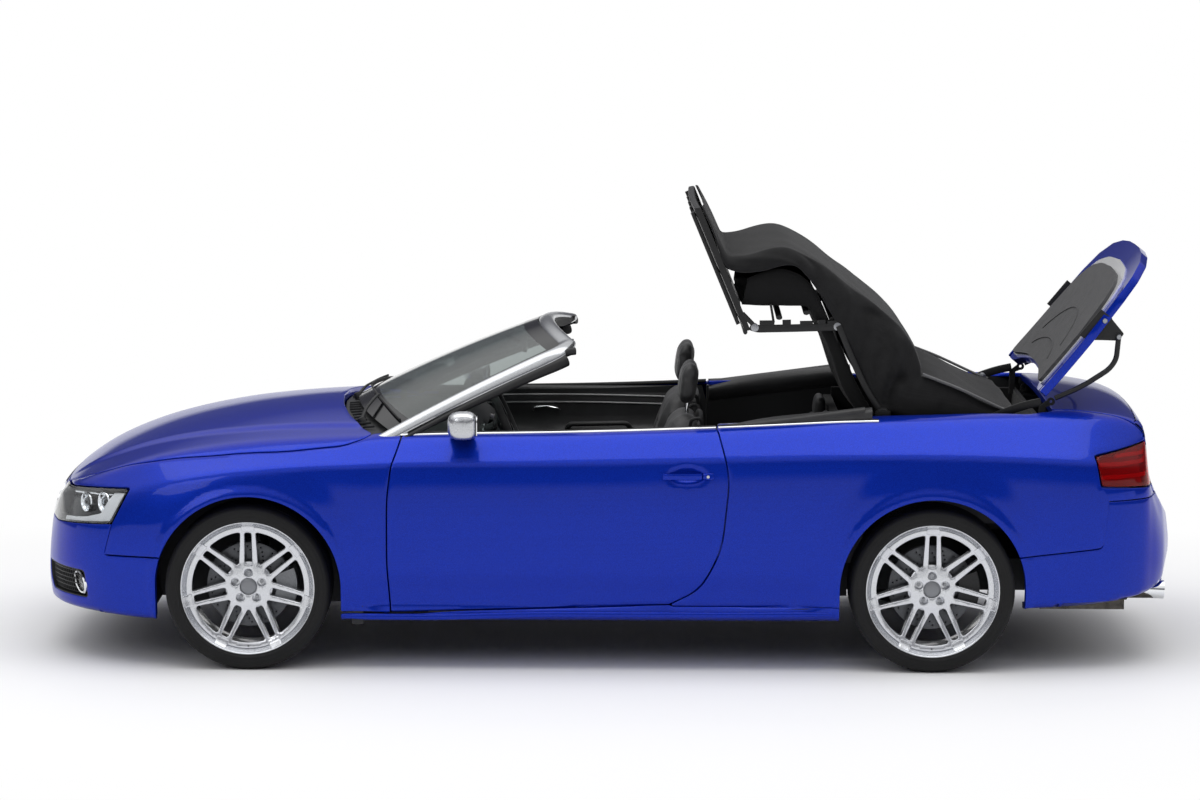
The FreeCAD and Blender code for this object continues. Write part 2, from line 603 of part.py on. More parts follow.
# ---------------------------------------------------------------- windscreen
SCREEN_STATIONS = (-1.0, -0.7, -0.36, 0.0, 0.36, 0.7, 1.0)
SCREEN_BASE = (-1048.0, 1004.0, -862.0, 938.0, 742.0)    # x, z at the middle, x, z, |y| at the corner
SCREEN_TOP = (-300.0, 1330.0, -186.0, 1276.0, 566.0)
GLASS_THICKNESS = 6.0
HEADER_DEPTH = 62.0
HEADER_REACH = 1.05           # the header's ends run into the posts
POST_FOOT = (-905.0, 772.0, 931.0)
POST_TOP = (-150.0, 590.0, 1278.0)
POST_HALF = (21.0, 19.0)                                 # half width, half height


def screen_point(edge, share):
    """A point of the windscreen's bowed lower or upper edge, share running from -1 to 1."""
    x0, z0, x1, z1, y1 = edge
    return V(x0 + (x1 - x0) * share * share, y1 * share, z0 + (z1 - z0) * share * share)


def screen_loft(quad, reach=1.0):
    rings = [quad(reach * t) for t in SCREEN_STATIONS]
    return Part.makeLoft([Part.makePolygon(ring + [ring[0]]) for ring in rings], True, True)


def windscreen_glass():
    def quad(share):
        low, high = screen_point(SCREEN_BASE, share), screen_point(SCREEN_TOP, share)
        drop = V(GLASS_THICKNESS * 0.4, 0, -GLASS_THICKNESS * 0.9)
        return [low, high, high + drop, low + drop]
    return screen_loft(quad)


def screen_post(grow=0.0):
    """The right-hand windscreen post, grown by a clearance."""
    w, h = POST_HALF[0] + grow, POST_HALF[1] + grow
    rings = []
    for x, y, z in (POST_FOOT, POST_TOP):
        rings.append(polygon([(x, y + w, z - h), (x, y + w, z + h), (x, y - w, z + h), (x, y - w, z - h)]))
    return Part.makeLoft(rings, True, True)


def windscreen_frame():
    """Posts and header, one tube round the glass."""
    def quad(share):
        edge = screen_point(SCREEN_TOP, share) + V(1.5, 0, 4)
        back = edge + V(HEADER_DEPTH, 0, -2)
        return [edge, back, back + V(0, 0, -30), edge + V(8, 0, -30)]
    post = screen_post().cut(windscreen_glass())
    return screen_loft(quad, HEADER_REACH).fuse(post).fuse(mirrored(post))


# ---------------------------------------------------------------- cabin
SEAT_Y = 370.0
STEERING_WHEEL_CENTRE = (-415.0, -SEAT_Y, 935.0)
STEERING_TILT = 24.0          # column above level
STEERING_WHEEL_RADIUS = 182.0
STEERING_AXIS = V(math.cos(math.radians(STEERING_TILT)), 0, math.sin(math.radians(STEERING_TILT)))
STEERING_UP = V(-STEERING_AXIS.z, 0, STEERING_AXIS.x)
HUB_DEPTH = 28.0              # the steering wheel's hub, forward of the rim's plane
COLUMN_RADIUS = 34.0
COLUMN_LENGTH = 190.0
DASH_HALF_WIDTH = 636.0


def dashboard():
    outline = [(-930, 700), (-930, 890), (-800, 925), (-560, 912), (-470, 850), (-480, 700), (-620, 640),
               (-700, 560), (-930, 560)]
    block = side_prism(outline, -DASH_HALF_WIDTH, DASH_HALF_WIDTH)
    start = V(*STEERING_WHEEL_CENTRE) - STEERING_AXIS * (HUB_DEPTH + RUN_GAP)
    column = Part.makeCylinder(COLUMN_RADIUS, COLUMN_LENGTH, start, STEERING_AXIS * -1)
    return solid_of(block.cut(console_block(RUN_GAP)).fuse(column))


CONSOLE_OUTLINE = [(-700, 390), (-700, 640), (-560, 640), (-470, 560), (-250, 540), (-120, 600), (260, 600),
                   (300, 560), (300, 390)]


def console_block(grow=0.0):
    half = TUNNEL_HALF_WIDTH + grow
    return side_prism(CONSOLE_OUTLINE, -half, half, grow)


def steering_wheel():
    c = V(*STEERING_WHEEL_CENTRE)
    rim = Part.makeTorus(STEERING_WHEEL_RADIUS - 16, 16, c, STEERING_AXIS)
    hub = Part.makeCylinder(62, 50, c - STEERING_AXIS * HUB_DEPTH, STEERING_AXIS)
    spokes = []
    for a in (0, 180, 270):
        d = V(0, 1, 0) * math.cos(math.radians(a)) + STEERING_UP * math.sin(math.radians(a))
        end = c + d * (STEERING_WHEEL_RADIUS - 18)
        spokes.append(bar(tuple(c + d * 40), tuple(end), 36, 16, tuple(d.cross(STEERING_AXIS))))
    return fused([rim, hub] + spokes)


SEAT_PADS = [
    # half width, outline
    (255, [(-345, 350), (-345, 500), (-290, 548), (130, 512), (210, 350)]),
    (250, [(150, 380), (118, 520), (262, 1010), (330, 1030), (392, 1000), (300, 560), (255, 380)]),
    (125, [(276, 1005), (292, 1165), (318, 1213), (352, 1214), (372, 1178), (352, 1010)]),
]


def seat():
    """Cushion, backrest and head restraint of the right-hand front seat, on its floor rails."""
    pads = []
    for half_width, outline in SEAT_PADS:
        pads.append(side_prism(outline, SEAT_Y - half_width, SEAT_Y + half_width))
    rails = [box(-300, 220, SEAT_Y + dy - 15, SEAT_Y + dy + 15, FLOOR_TOP, 352) for dy in (-190, 190)]
    return fused(pads + rails)


def rear_seat():
    cushion = side_prism([(520, 410), (520, 500), (560, 530), (800, 500), (830, 410)], -560, 560)
    back = side_prism([(790, 410), (780, 500), (868, 900), (940, 930), (940, 410)], -560, 560)
    head = [(868, 880), (880, 985), (905, 1000), (930, 985), (938, 880)]
    heads = [side_prism(head, s * 290 - 110, s * 290 + 110) for s in (LEFT, RIGHT)]
    return fused([cushion.cut(box(500, 560, -600, 600, 300, 409)), back] + heads)


# ---------------------------------------------------------------- mirrors
MIRROR_SECTIONS = [
    # y, front x, rear x, bottom, top
    (846, -622, -520, 948, 1030), (880, -640, -508, 936, 1050), (960, -646, -504, 938, 1062),
    (1000, -630, -515, 955, 1050),
]


def mirror():
    """Door mirror on its foot, right-hand side."""
    head_sections = []
    for y, x0, x1, z0, z1 in MIRROR_SECTIONS:
        ring = [(x0 + 30, z0), (x1 - 8, z0 + 6), (x1, z0 + 20), (x1 - 4, z1 - 12), (x1 - 16, z1),
                (x0 + 40, z1 - 4), (x0, z1 - 50), (x0 + 6, z0 + 24)]
        head_sections.append(polygon([(x, y, z) for x, z in ring]))
    head = Part.makeLoft(head_sections, True, True)
    foot = bar((-560, 786, 940), (-578, 872, 975), 60, 24, (1, 0, 0))
    return solid_of(head.fuse(foot).cut(FORM_OUT))


# ---------------------------------------------------------------- wheels
def lathe_y(profile):
    """A closed (radius, y) profile turned about the axle."""
    face = Part.Face(polygon([(r, y, 0) for r, y in profile]))
    return face.revolve(V(0, 0, 0), V(0, 1, 0), 360)


SPOKE_PAIRS = 7


def rim_outside(w):
    """The rim's outer profile from flange to flange, where the tyre's beads sit."""
    return [(RIM_RADIUS, -w + 9), (RIM_RADIUS - 14, -w + 14), (RIM_RADIUS - 22, -w + 40),
            (RIM_RADIUS - 22, w - 40), (RIM_RADIUS - 14, w - 14), (RIM_RADIUS, w - 9)]


def rim():
    """Twin-spoke rim about its own middle plane, outer face towards +Y."""
    w = TYRE_WIDTH / 2 - 6
    barrel = lathe_y(rim_outside(w) + [
        (RIM_RADIUS, w), (RIM_RADIUS - 14, w), (RIM_RADIUS - 42, w - 22), (RIM_RADIUS - 42, w - 30),
        (RIM_RADIUS - 30, w - 60), (RIM_RADIUS - 30, -w + 30), (RIM_RADIUS - 10, -w), (RIM_RADIUS, -w)])
    hub = lathe_y([(34, WHEEL_OFFSET), (84, WHEEL_OFFSET), (92, WHEEL_OFFSET + 40), (60, WHEEL_OFFSET + 52),
                   (34, WHEEL_OFFSET + 50)])
    cap = cylinder_y(0, 0, 34, WHEEL_OFFSET + 20, WHEEL_OFFSET + 48)
    spokes = []
    for i in range(SPOKE_PAIRS):
        a = math.radians(90 + 360 / SPOKE_PAIRS * i)
        d = V(math.cos(a), 0, math.sin(a))
        t = V(-math.sin(a), 0, math.cos(a))
        for s in (-1, 1):
            start = d * 62 + t * (s * 22) + V(0, WHEEL_OFFSET + 34, 0)
            end = d * (RIM_RADIUS - 36) + t * (s * 26) + V(0, w - 34, 0)
            spokes.append(bar(tuple(start), tuple(end), 22, 28, tuple(t)))
    shape = fused([barrel, hub, cap] + spokes)
    for i in range(HUB_BOLTS):
        a = math.radians(90 + 360 / HUB_BOLTS * i)
        x, z = HUB_PCD / 2 * math.cos(a), HUB_PCD / 2 * math.sin(a)
        shape = shape.cut(cylinder_y(x, z, 13, WHEEL_OFFSET + 18, WHEEL_OFFSET + 80))
    return shape


def tyre():
    w = TYRE_WIDTH / 2
    return lathe_y([(RIM_RADIUS - 10, -w + 4), (RIM_RADIUS + 8, -w + 2), (RIM_RADIUS + 30, -w),
                    (TYRE_RADIUS - 16, -w + 8), (TYRE_RADIUS, -w + 26), (TYRE_RADIUS, w - 26),
                    (TYRE_RADIUS - 16, w - 8), (RIM_RADIUS + 30, w), (RIM_RADIUS + 8, w - 2),
                    (RIM_RADIUS - 10, w - 4)]).cut(rim_envelope())


def rim_envelope():
    w = TYRE_WIDTH / 2 - 6
    return lathe_y([(0, -w - 20), (RIM_RADIUS, -w - 20)] + rim_outside(w)
                   + [(RIM_RADIUS, w + 20), (0, w + 20)])


def disc():
    y1 = WHEEL_OFFSET - 12
    y0 = y1 - DISC_THICKNESS
    return lathe_y([(36, WHEEL_OFFSET), (36, WHEEL_OFFSET - 8), (82, WHEEL_OFFSET - 8), (90, y0),
                    (DISC_RADIUS, y0), (DISC_RADIUS, y1), (98, y1), (90, WHEEL_OFFSET)])


def knuckle():
    """Upright, hub carrier and caliper of the right-hand front wheel, about the axle."""
    k = KINGPIN_Y - WHEEL_Y
    carrier = cylinder_y(0, 0, 58, k - 28, WHEEL_OFFSET - 46)
    spindle = cylinder_y(0, 0, 34, k - 20, WHEEL_OFFSET)
    post = box(-26, 26, k - 24, k + 18, -128, 148)
    arm = bar((10, k, -40), (150, k - 30, -40), 30, 22)
    return fused([carrier, spindle, post, arm, caliper()])


def caliper():
    y1 = WHEEL_OFFSET - 12
    y0 = y1 - DISC_THICKNESS
    arc = lathe_y([(112, y0 - 40), (DISC_RADIUS + 22, y0 - 40), (DISC_RADIUS + 22, y1 + 34), (112, y1 + 34)])
    sector = side_prism([(0, 0), (300, -120), (300, 120)], -200, 200)
    slot = lathe_y([(60, y0 - 3), (DISC_RADIUS + 6, y0 - 3), (DISC_RADIUS + 6, y1 + 3), (60, y1 + 3)])
    bridge = box(0, 130, y0 - 40, y0 - 6, -30, 30)
    return arc.common(sector).cut(slot).fuse(bridge.cut(slot))


# ---------------------------------------------------------------- running gear
def front_suspension():
    pieces = [box(FRONT_AXLE_X - 40, FRONT_AXLE_X + 90, -440, 440, 150, 200 - RUN_GAP)]
    for s in (LEFT, RIGHT):
        x = FRONT_AXLE_X
        lower = bar((x + 20, s * 430, 175), (x, s * KINGPIN_Y, 172), 60, 26, (1, 0, 0))
        ball = Part.makeCylinder(22, AXLE_Z - 128 - RUN_GAP - 172, V(x, s * KINGPIN_Y, 172))
        upper = bar((x, s * 453, 560), (x, s * KINGPIN_Y, 505), 44, 24, (1, 0, 0))
        stud_z = AXLE_Z + 148 + RUN_GAP
        stud = Part.makeCylinder(18, 505 - stud_z, V(x, s * KINGPIN_Y, stud_z))
        strut = Part.makeCylinder(34, 510, V(x, s * 540, 172), V(0, 0, 1))
        spring = Part.makeCylinder(58, 190, V(x, s * 540, 430), V(0, 0, 1))
        pieces += [lower, ball, upper, stud, strut, spring]
    return fused(pieces)


def rear_axle():
    x = REAR_AXLE_X
    top = 290 - RUN_GAP
    pieces = [box(x - 90, x + 90, -590, 590, 215, top), box(x - 110, x + 110, -130, 130, 190, top)]
    for s in (LEFT, RIGHT):
        half_shaft = cylinder_y(x, AXLE_Z, 34, REAR_WELL_INNER_Y + 2, WHEEL_Y + WHEEL_OFFSET)
        carrier = cylinder_y(x, AXLE_Z, 58, 640, WHEEL_Y + WHEEL_OFFSET - 46)
        link = bar((x, 560, 250), (x, 690, 290), 90, 40, (1, 0, 0))
        c = caliper()
        c.translate(V(x, WHEEL_Y, AXLE_Z))
        pieces.append(on_side(fused([half_shaft, carrier, link, c]), s))
    return fused(pieces)


def exhaust():
    pieces = []
    for s in (LEFT, RIGHT):
        tips = [cylinder_at((2112, s * y, TIP_Z), TIP_RADIUS, 158) for y in TIP_Y]
        pieces += tips
    muffler = box(1770, 2116, -570, 570, 205, 290 - RUN_GAP)
    return fused(pieces + [muffler])


def cylinder_at(point, radius, length):
    return Part.makeCylinder(radius, length, V(*point), V(1, 0, 0))


def engine():
    return box(-1960, -1180, -330, 330, 250 + RUN_GAP, 840).common(INNER_CLEAR)


# ---------------------------------------------------------------- half-folded soft top
ROOF_HALF_WIDTH = 600.0
MAIN_PIVOT = (1112.0, 1012.0)


FRONT_PANEL = [(546, 1345), (560, 1352), (352, 1850), (334, 1846)]


def roof_frame():
    """Front panel, side rails, main links and bows of the folding roof."""
    front = side_prism(FRONT_PANEL, -ROOF_HALF_WIDTH + 4, ROOF_HALF_WIDTH - 4)
    pieces = [front]
    for s in (LEFT, RIGHT):
        y = s * (ROOF_HALF_WIDTH - 14)
        pieces.append(bar((550, y, 1362), (925, y, 1370), 28, 42))
        pieces.append(bar((915, y, 1376), (MAIN_PIVOT[0], y, MAIN_PIVOT[1]), 28, 46))
        seat = BOX_HALF_WIDTH - RUN_GAP
        foot = box(MAIN_PIVOT[0] - 32, MAIN_PIVOT[0] + 32, seat - 16, seat, 885, MAIN_PIVOT[1] + 26)
        pivot = cylinder_y(MAIN_PIVOT[0], MAIN_PIVOT[1], 26, ROOF_HALF_WIDTH - 28, seat)
        pieces.append(on_side(foot.fuse(pivot), s))
    for x, z in ((760, 1372), (880, 1378)):
        pieces.append(box(x - 12, x + 12, -ROOF_HALF_WIDTH + 2, ROOF_HALF_WIDTH - 2, z - 12, z + 12))
    return fused(pieces)


def panel_back(z, away=0.5):
    """A point just off the front panel's rear face."""
    (x0, z0), (x1, z1) = FRONT_PANEL[1], FRONT_PANEL[2]
    return (x0 + (x1 - x0) * (z - z0) / (z1 - z0) + away, z)


FABRIC_OUTER = [(372, 1852), (500, 1640), (560, 1640), (640, 1682), (720, 1684), (790, 1656), (870, 1612),
                (968, 1525), (1070, 1452), (1167, 1362), (1240, 1275), (1272, 1200), (1300, 1168), (1420, 1110),
                (1600, 1022), (1660, 1004)]
FABRIC_INNER = [(1650, 984), (1590, 1000), (1410, 1086), (1280, 1140), (1225, 1130), (1150, 1130),
                (1160, 1200), (1130, 1290), (1040, 1390), (950, 1470), (860, 1560), (780, 1620), (715, 1648),
                (650, 1646), (575, 1604), (520, 1580), panel_back(1576), panel_back(1849)]


def roof_fabric():
    return side_prism(FABRIC_OUTER + FABRIC_INNER, -ROOF_HALF_WIDTH, ROOF_HALF_WIDTH)


for side, s in SIDES.items():
    node("wing_" + side, on_side(wing(), s))
    node("quarter_" + side, on_side(quarter(), s))
    node("door_" + side, on_side(door(), s))
    node("mirror_" + side, on_side(mirror(), s))
    node("headlamp_" + side, on_side(headlamp(), s))
    node("tail_lamp_" + side, on_side(tail_lamp(TAILLAMP_SPLIT_Y, 960), s))
    node("lid_lamp_" + side, on_side(tail_lamp(TAILLAMP_INNER_Y, DECK_HALF_WIDTH), s))
    node("fog_grille_" + side, on_side(fog_grille(), s))
    node("seat_" + side, on_side(seat(), s))
    for end, x in (("front", FRONT_AXLE_X), ("rear", REAR_AXLE_X)):
        for piece, make in (("rim", rim), ("tyre", tyre), ("disc", disc)):
            shape = make()
            shape.translate(V(x, WHEEL_Y, AXLE_Z))
            node(f"{piece}_{end}_{side}", on_side(shape, s))
    shape = knuckle()
    shape.translate(V(FRONT_AXLE_X, WHEEL_Y, AXLE_Z))
    node("knuckle_" + side, on_side(shape, s))

# the tub's welded sections, each a piece of its own with the hinge lugs that it carries
TUB_SECTIONS = [
    # name, x0, x1, z0, z1, lugs
    ("tub_front", NOSE_X, FIREWALL_X[1], 0, 1300, []),
    ("tub_floor", FIREWALL_X[1], BULKHEAD_X[0], 0, 1300, [bonnet_lug(), HINGE_ARMS]),
    ("tub_rear_floor", BULKHEAD_X[0], BOX_BACK_X + 20, 0, BOX_FLOOR_Z, []),
    ("tub_roof_box", BULKHEAD_X[0], BOX_BACK_X + 20, BOX_FLOOR_Z, 1300, [boot_lug(), cover_lug()]),
    ("tub_boot", BOX_BACK_X + 20, TAIL_X, 0, 1300, []),
]
whole_tub = tub()
for name, x0, x1, z0, z1, lugs in TUB_SECTIONS:
    section = solid_of(whole_tub.common(box(x0, x1, -960, 960, z0, z1)))
    node(name, fused([section] + lugs + [mirrored(lug) for lug in lugs]))
node("bonnet", bonnet())
node("front_bumper", front_bumper())
node("rear_bumper", rear_bumper())
node("grille", grille())
node("boot_lid", boot_lid())
node("roof_cover", roof_cover())
node("cover_liner", cover_liner())
node("cover_bars", cover_bars())
node("windscreen_glass", windscreen_glass())
node("windscreen_frame", windscreen_frame())
node("dashboard", dashboard())
node("console", console_block())
node("steering_wheel", steering_wheel())
node("rear_seat", rear_seat())
node("front_suspension", front_suspension())
node("rear_axle", rear_axle())
node("exhaust", exhaust())
node("engine", engine())
node("roof_frame", roof_frame())
node("roof_fabric", roof_fabric())

os.makedirs("parts", exist_ok=True)
for name, shape in NODES.items():
    if not shape.isValid() or not shape.Solids:
        print("invalid", name)
    print(name, len(shape.Solids), round(shape.Volume / 1e6, 2))
    shape.exportStep("parts/%s.step" % name)
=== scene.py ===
import math
import bmesh
import bpy
import numpy as np
from mathutils import Matrix, Vector
from mathutils.bvhtree import BVHTree
from mathutils.geometry import delaunay_2d_cdt


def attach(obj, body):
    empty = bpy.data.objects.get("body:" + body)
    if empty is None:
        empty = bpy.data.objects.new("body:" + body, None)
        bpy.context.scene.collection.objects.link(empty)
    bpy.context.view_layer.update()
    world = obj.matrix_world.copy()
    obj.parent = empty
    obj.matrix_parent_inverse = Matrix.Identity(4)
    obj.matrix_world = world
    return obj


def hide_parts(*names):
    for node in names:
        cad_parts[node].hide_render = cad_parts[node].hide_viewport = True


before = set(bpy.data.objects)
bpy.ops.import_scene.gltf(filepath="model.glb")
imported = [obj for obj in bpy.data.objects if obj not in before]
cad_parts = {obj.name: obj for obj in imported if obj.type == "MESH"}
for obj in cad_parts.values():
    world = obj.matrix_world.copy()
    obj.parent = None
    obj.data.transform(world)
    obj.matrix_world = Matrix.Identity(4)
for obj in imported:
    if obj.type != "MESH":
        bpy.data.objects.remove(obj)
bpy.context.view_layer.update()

# ------------------------------------------------------------------ studio
# A pale floor under a soft overhead light. The camera stands on the car's left, a long way off, so
# the side is seen almost square on.


def linear(code):
    """A colour's sRGB hex code as linear red, green, blue and alpha."""
    parts = [int(code[i:i + 2], 16) / 255 for i in (0, 2, 4)]
    return [c / 12.92 if c <= 0.04045 else ((c + 0.055) / 1.055) ** 2.4 for c in parts] + [1.0]


def add(tree, kind, settings=None, links=None):
    """Adds one node; settings are values of its sockets or of itself, links feed its sockets."""
    made = tree.nodes.new(kind)
    for key, value in (settings or {}).items():
        if isinstance(key, int) or key in made.inputs:
            made.inputs[key].default_value = value
        else:
            setattr(made, key, value)
    for key, source in (links or {}).items():
        tree.links.new(source, made.inputs[key])
    return made


def material(name, **values):
    """A new material; values are those of its Principled shader, with spaces as underscores."""
    made = bpy.data.materials.new(name)
    made.use_nodes = True
    shader = made.node_tree.nodes["Principled BSDF"]
    for key, value in values.items():
        shader.inputs[key.replace("_", " ")].default_value = value
    return made


def pattern(finish, kind, output="Fac", **settings):
    """One output of a texture node, which reads the piece's own Object coordinates."""
    tree = finish.node_tree
    place = add(tree, "ShaderNodeTexCoord").outputs["Object"]
    return add(tree, "ShaderNodeTex" + kind, settings, {"Vector": place}).outputs[output]


def into_shader(finish, source, name):
    finish.node_tree.links.new(source, finish.node_tree.nodes["Principled BSDF"].inputs[name])


def tinted(finish, source, dark, light, low=0.0, high=1.0):
    """Colours a finish from dark to light as a pattern goes from low to high."""
    tone = add(finish.node_tree, "ShaderNodeValToRGB", links={0: source})
    for stop, at, code in zip(tone.color_ramp.elements, (low, high), (dark, light)):
        stop.position = at
        stop.color = linear(code)
    into_shader(finish, tone.outputs[0], "Base Color")


def roughened(finish, source, low, high):
    """Varies a finish's roughness from low to high with a pattern."""
    rough = add(finish.node_tree, "ShaderNodeMapRange", {"To Min": low, "To Max": high}, {"Value": source})
    into_shader(finish, rough.outputs[0], "Roughness")


def embossed(finish, source, strength, depth, name="Normal"):
    """Raises a pattern on a finish by a depth in metres."""
    bump = add(finish.node_tree, "ShaderNodeBump", {"Strength": strength, "Distance": depth},
               {"Height": source})
    into_shader(finish, bump.outputs["Normal"], name)


def put(name, data):
    """A new object of a mesh, lamp or camera, linked into the scene."""
    made = bpy.data.objects.new(name, data)
    bpy.context.scene.collection.objects.link(made)
    return made


CAMERA_PLACE = Vector((-0.0365, -16.92, 3.15))
CAMERA_PITCH = math.radians(7.2865)
CAMERA_ROLL = math.radians(0.28)
LENS_MM = 121.4
FLOOR_HALF = 60.0
# the room's grey by height: 0 is the horizon and 1 is straight up
ROOM_GREYS = ((0.0, 0.07, 0.08), (0.26, 0.10, 0.12), (0.50, 0.80, 0.81), (0.75, 1.0, 1.0))


def build_studio():
    scene = bpy.context.scene
    scene.view_settings.view_transform = "Standard"
    lens = bpy.data.cameras.new("camera")
    lens.lens = LENS_MM
    lens.clip_end = 200
    camera = put("camera", lens)
    turn = Matrix.Rotation(math.pi / 2 - CAMERA_PITCH, 4, "X") @ Matrix.Rotation(CAMERA_ROLL, 4, "Z")
    camera.matrix_world = Matrix.Translation(CAMERA_PLACE) @ turn
    scene.camera = camera

    # the room is bright overhead, greyer towards the horizon, and white where the camera sees it
    world = bpy.data.worlds.new("studio")
    scene.world = world
    world.use_nodes = True
    tree = world.node_tree
    tree.nodes.clear()
    direction = add(tree, "ShaderNodeTexCoord")
    split = add(tree, "ShaderNodeSeparateXYZ", links={0: direction.outputs["Generated"]})
    ramp = add(tree, "ShaderNodeValToRGB", links={0: split.outputs["Z"]})
    stops = ramp.color_ramp.elements
    stops[1].position = ROOM_GREYS[-1][0]
    for height, _, _ in ROOM_GREYS[1:-1]:
        stops.new(height)
    for stop, (_, grey, blue) in zip(stops, ROOM_GREYS):
        stop.color = (grey, grey, blue, 1)
    rays = add(tree, "ShaderNodeLightPath")
    room = add(tree, "ShaderNodeBackground", links={"Color": ramp.outputs["Color"]})
    seen = add(tree, "ShaderNodeBackground", {"Color": (1, 1, 1, 1), "Strength": 1.0})
    direct = add(tree, "ShaderNodeMath", {"operation": "MAXIMUM"},
                 {0: rays.outputs["Is Camera Ray"], 1: rays.outputs["Is Transmission Ray"]})
    low = add(tree, "ShaderNodeMapRange", {"From Min": 0.09, "From Max": 0.04}, {"Value": split.outputs["Z"]})
    mirrored = add(tree, "ShaderNodeMath", {"operation": "MULTIPLY"},
                   {0: rays.outputs["Is Glossy Ray"], 1: low.outputs[0]})
    white = add(tree, "ShaderNodeMath", {"operation": "MAXIMUM"},
                {0: direct.outputs[0], 1: mirrored.outputs[0]})
    both = add(tree, "ShaderNodeMixShader", links={0: white.outputs[0], 1: room.outputs[0],
                                                   2: seen.outputs[0]})
    add(tree, "ShaderNodeOutputWorld", links={"Surface": both.outputs[0]})

    for name, place, size, power in (("overhead", (0.0, -1.0, 6.5), (10.0, 5.0), 230),
                                     ("front_fill", (-5.5, -8.5, 5.0), (3.0, 3.0), 60)):
        lamp = bpy.data.lights.new(name, "AREA")
        lamp.shape = "RECTANGLE"
        lamp.size, lamp.size_y = size
        lamp.energy = power
        holder = put(name, lamp)
        aim = (Vector((0, 0, 0.5)) - Vector(place)).to_track_quat("-Z", "Y")
        holder.matrix_world = Matrix.Translation(place) @ aim.to_matrix().to_4x4()

    mesh = bpy.data.meshes.new("floor")
    corners = [(a * FLOOR_HALF, b * FLOOR_HALF, 0) for a, b in ((-1, -1), (1, -1), (1, 1), (-1, 1))]
    mesh.from_pydata(corners, [], [(0, 1, 2, 3)])
    floor = put("floor", mesh)
    paper = material("painted_studio_floor", Base_Color=linear("F4F4F5"), Roughness=0.55,
                     Specular_IOR_Level=0.2)
    # past the car's own shadow the floor is seen as white as the room
    tree = paper.node_tree
    place = add(tree, "ShaderNodeTexCoord")
    stretch = add(tree, "ShaderNodeMapping", {"Scale": (0.30, 0.45, 0.0)},
                  {"Vector": place.outputs["Object"]})
    away = add(tree, "ShaderNodeVectorMath", {"operation": "LENGTH"}, {0: stretch.outputs[0]})
    fade = add(tree, "ShaderNodeMapRange", {"From Min": 0.85, "From Max": 1.5},
               {"Value": away.outputs["Value"]})
    rays = add(tree, "ShaderNodeLightPath")
    direct = add(tree, "ShaderNodeMath", {"operation": "MAXIMUM"},
                 {0: rays.outputs["Is Camera Ray"], 1: rays.outputs["Is Glossy Ray"]})
    through = add(tree, "ShaderNodeMath", {"operation": "MAXIMUM"},
                  {0: direct.outputs[0], 1: rays.outputs["Is Transmission Ray"]})
    share = add(tree, "ShaderNodeMath", {"operation": "MULTIPLY"},
                {0: fade.outputs[0], 1: through.outputs[0]})
    white = add(tree, "ShaderNodeEmission", {"Strength": 1.0})
    both = add(tree, "ShaderNodeMixShader",
               links={0: share.outputs[0], 1: tree.nodes["Principled BSDF"].outputs[0],
                      2: white.outputs[0]})
    tree.links.new(both.outputs[0], tree.nodes["Material Output"].inputs["Surface"])
    mesh.materials.append(paper)


build_studio()

# ------------------------------------------------------------------ body skins
# Pressed steel and aluminium panels a millimetre thick with folded edges, painted. They all follow
# one body form, set by a few half sections, and part along the shut lines.

WHEELBASE = 2.751
LENGTH = 4.635
FRONT_AXLE_X = 0.870 - LENGTH / 2
REAR_AXLE_X = FRONT_AXLE_X + WHEELBASE
AXLE_Z = 0.3335
ARCH_RADIUS = 0.374
SHUT_GAP = 0.005
HALF_SECTIONS = [
    # x from the front axle, then the heights and half widths of bottom edge, lower crease, side,
    # shoulder crease and belt, and the height of the middle
    # x, zb, yb, zl, yl, ym, zs, ys, zt, yt, zc
    (-870, 236, 260, 262, 300, 312, 300, 296, 330, 250, 336),
    (-852, 214, 380, 290, 440, 455, 440, 430, 500, 380, 512),
    (-805, 204, 520, 320, 580, 602, 560, 562, 650, 480, 676),
    (-720, 196, 650, 335, 712, 737, 630, 692, 712, 600, 750),
    (-570, 188, 770, 350, 824, 850, 690, 808, 784, 700, 826),
    (-400, 180, 838, 360, 874, 900, 742, 868, 840, 745, 886),
    (-200, 180, 868, 370, 903, 921, 788, 895, 882, 762, 934),
    (0, 182, 876, 376, 911, 927, 814, 905, 908, 775, 968),
    (300, 186, 880, 385, 914, 927, 832, 908, 926, 793, 998),
    (560, 186, 880, 391, 914, 927, 838, 906, 938, 802, 1006),
    (1447, 186, 880, 400, 914, 927, 851, 906, 960, 812, 978),
    (2050, 186, 880, 410, 914, 927, 867, 908, 986, 808, 1002),
    (2450, 190, 880, 415, 913, 927, 877, 908, 1010, 786, 1030),
    (2751, 212, 878, 415, 909, 925, 880, 903, 1020, 764, 1042),
    (3050, 238, 872, 410, 896, 911, 872, 890, 1030, 730, 1050),
    (3300, 250, 848, 402, 868, 884, 858, 862, 1030, 692, 1050),
    (3500, 266, 790, 395, 812, 828, 838, 802, 1012, 642, 1038),
    (3620, 286, 712, 390, 738, 752, 806, 712, 968, 600, 1000),
    (3655, 296, 668, 386, 694, 708, 690, 672, 760, 590, 776),
    (3712, 322, 565, 384, 600, 615, 560, 582, 642, 520, 652),
    (3765, 372, 300, 410, 360, 372, 515, 340, 566, 290, 574),
]
TABLE_STEP = 0.012
ROUND_SAMPLES = (14, 50, 110, 40, 150)     # samples of floor, rocker, side, lean-in and crown
CORNER_PASSES = (30, 8, 8, 70)             # rounding passes at bottom edge, crease, shoulder and belt


def eased(value, low, high):
    """0 below low, 1 above high, smooth between."""
    share = np.clip((value - low) / (high - low), 0, 1)
    return share * share * (3 - 2 * share)


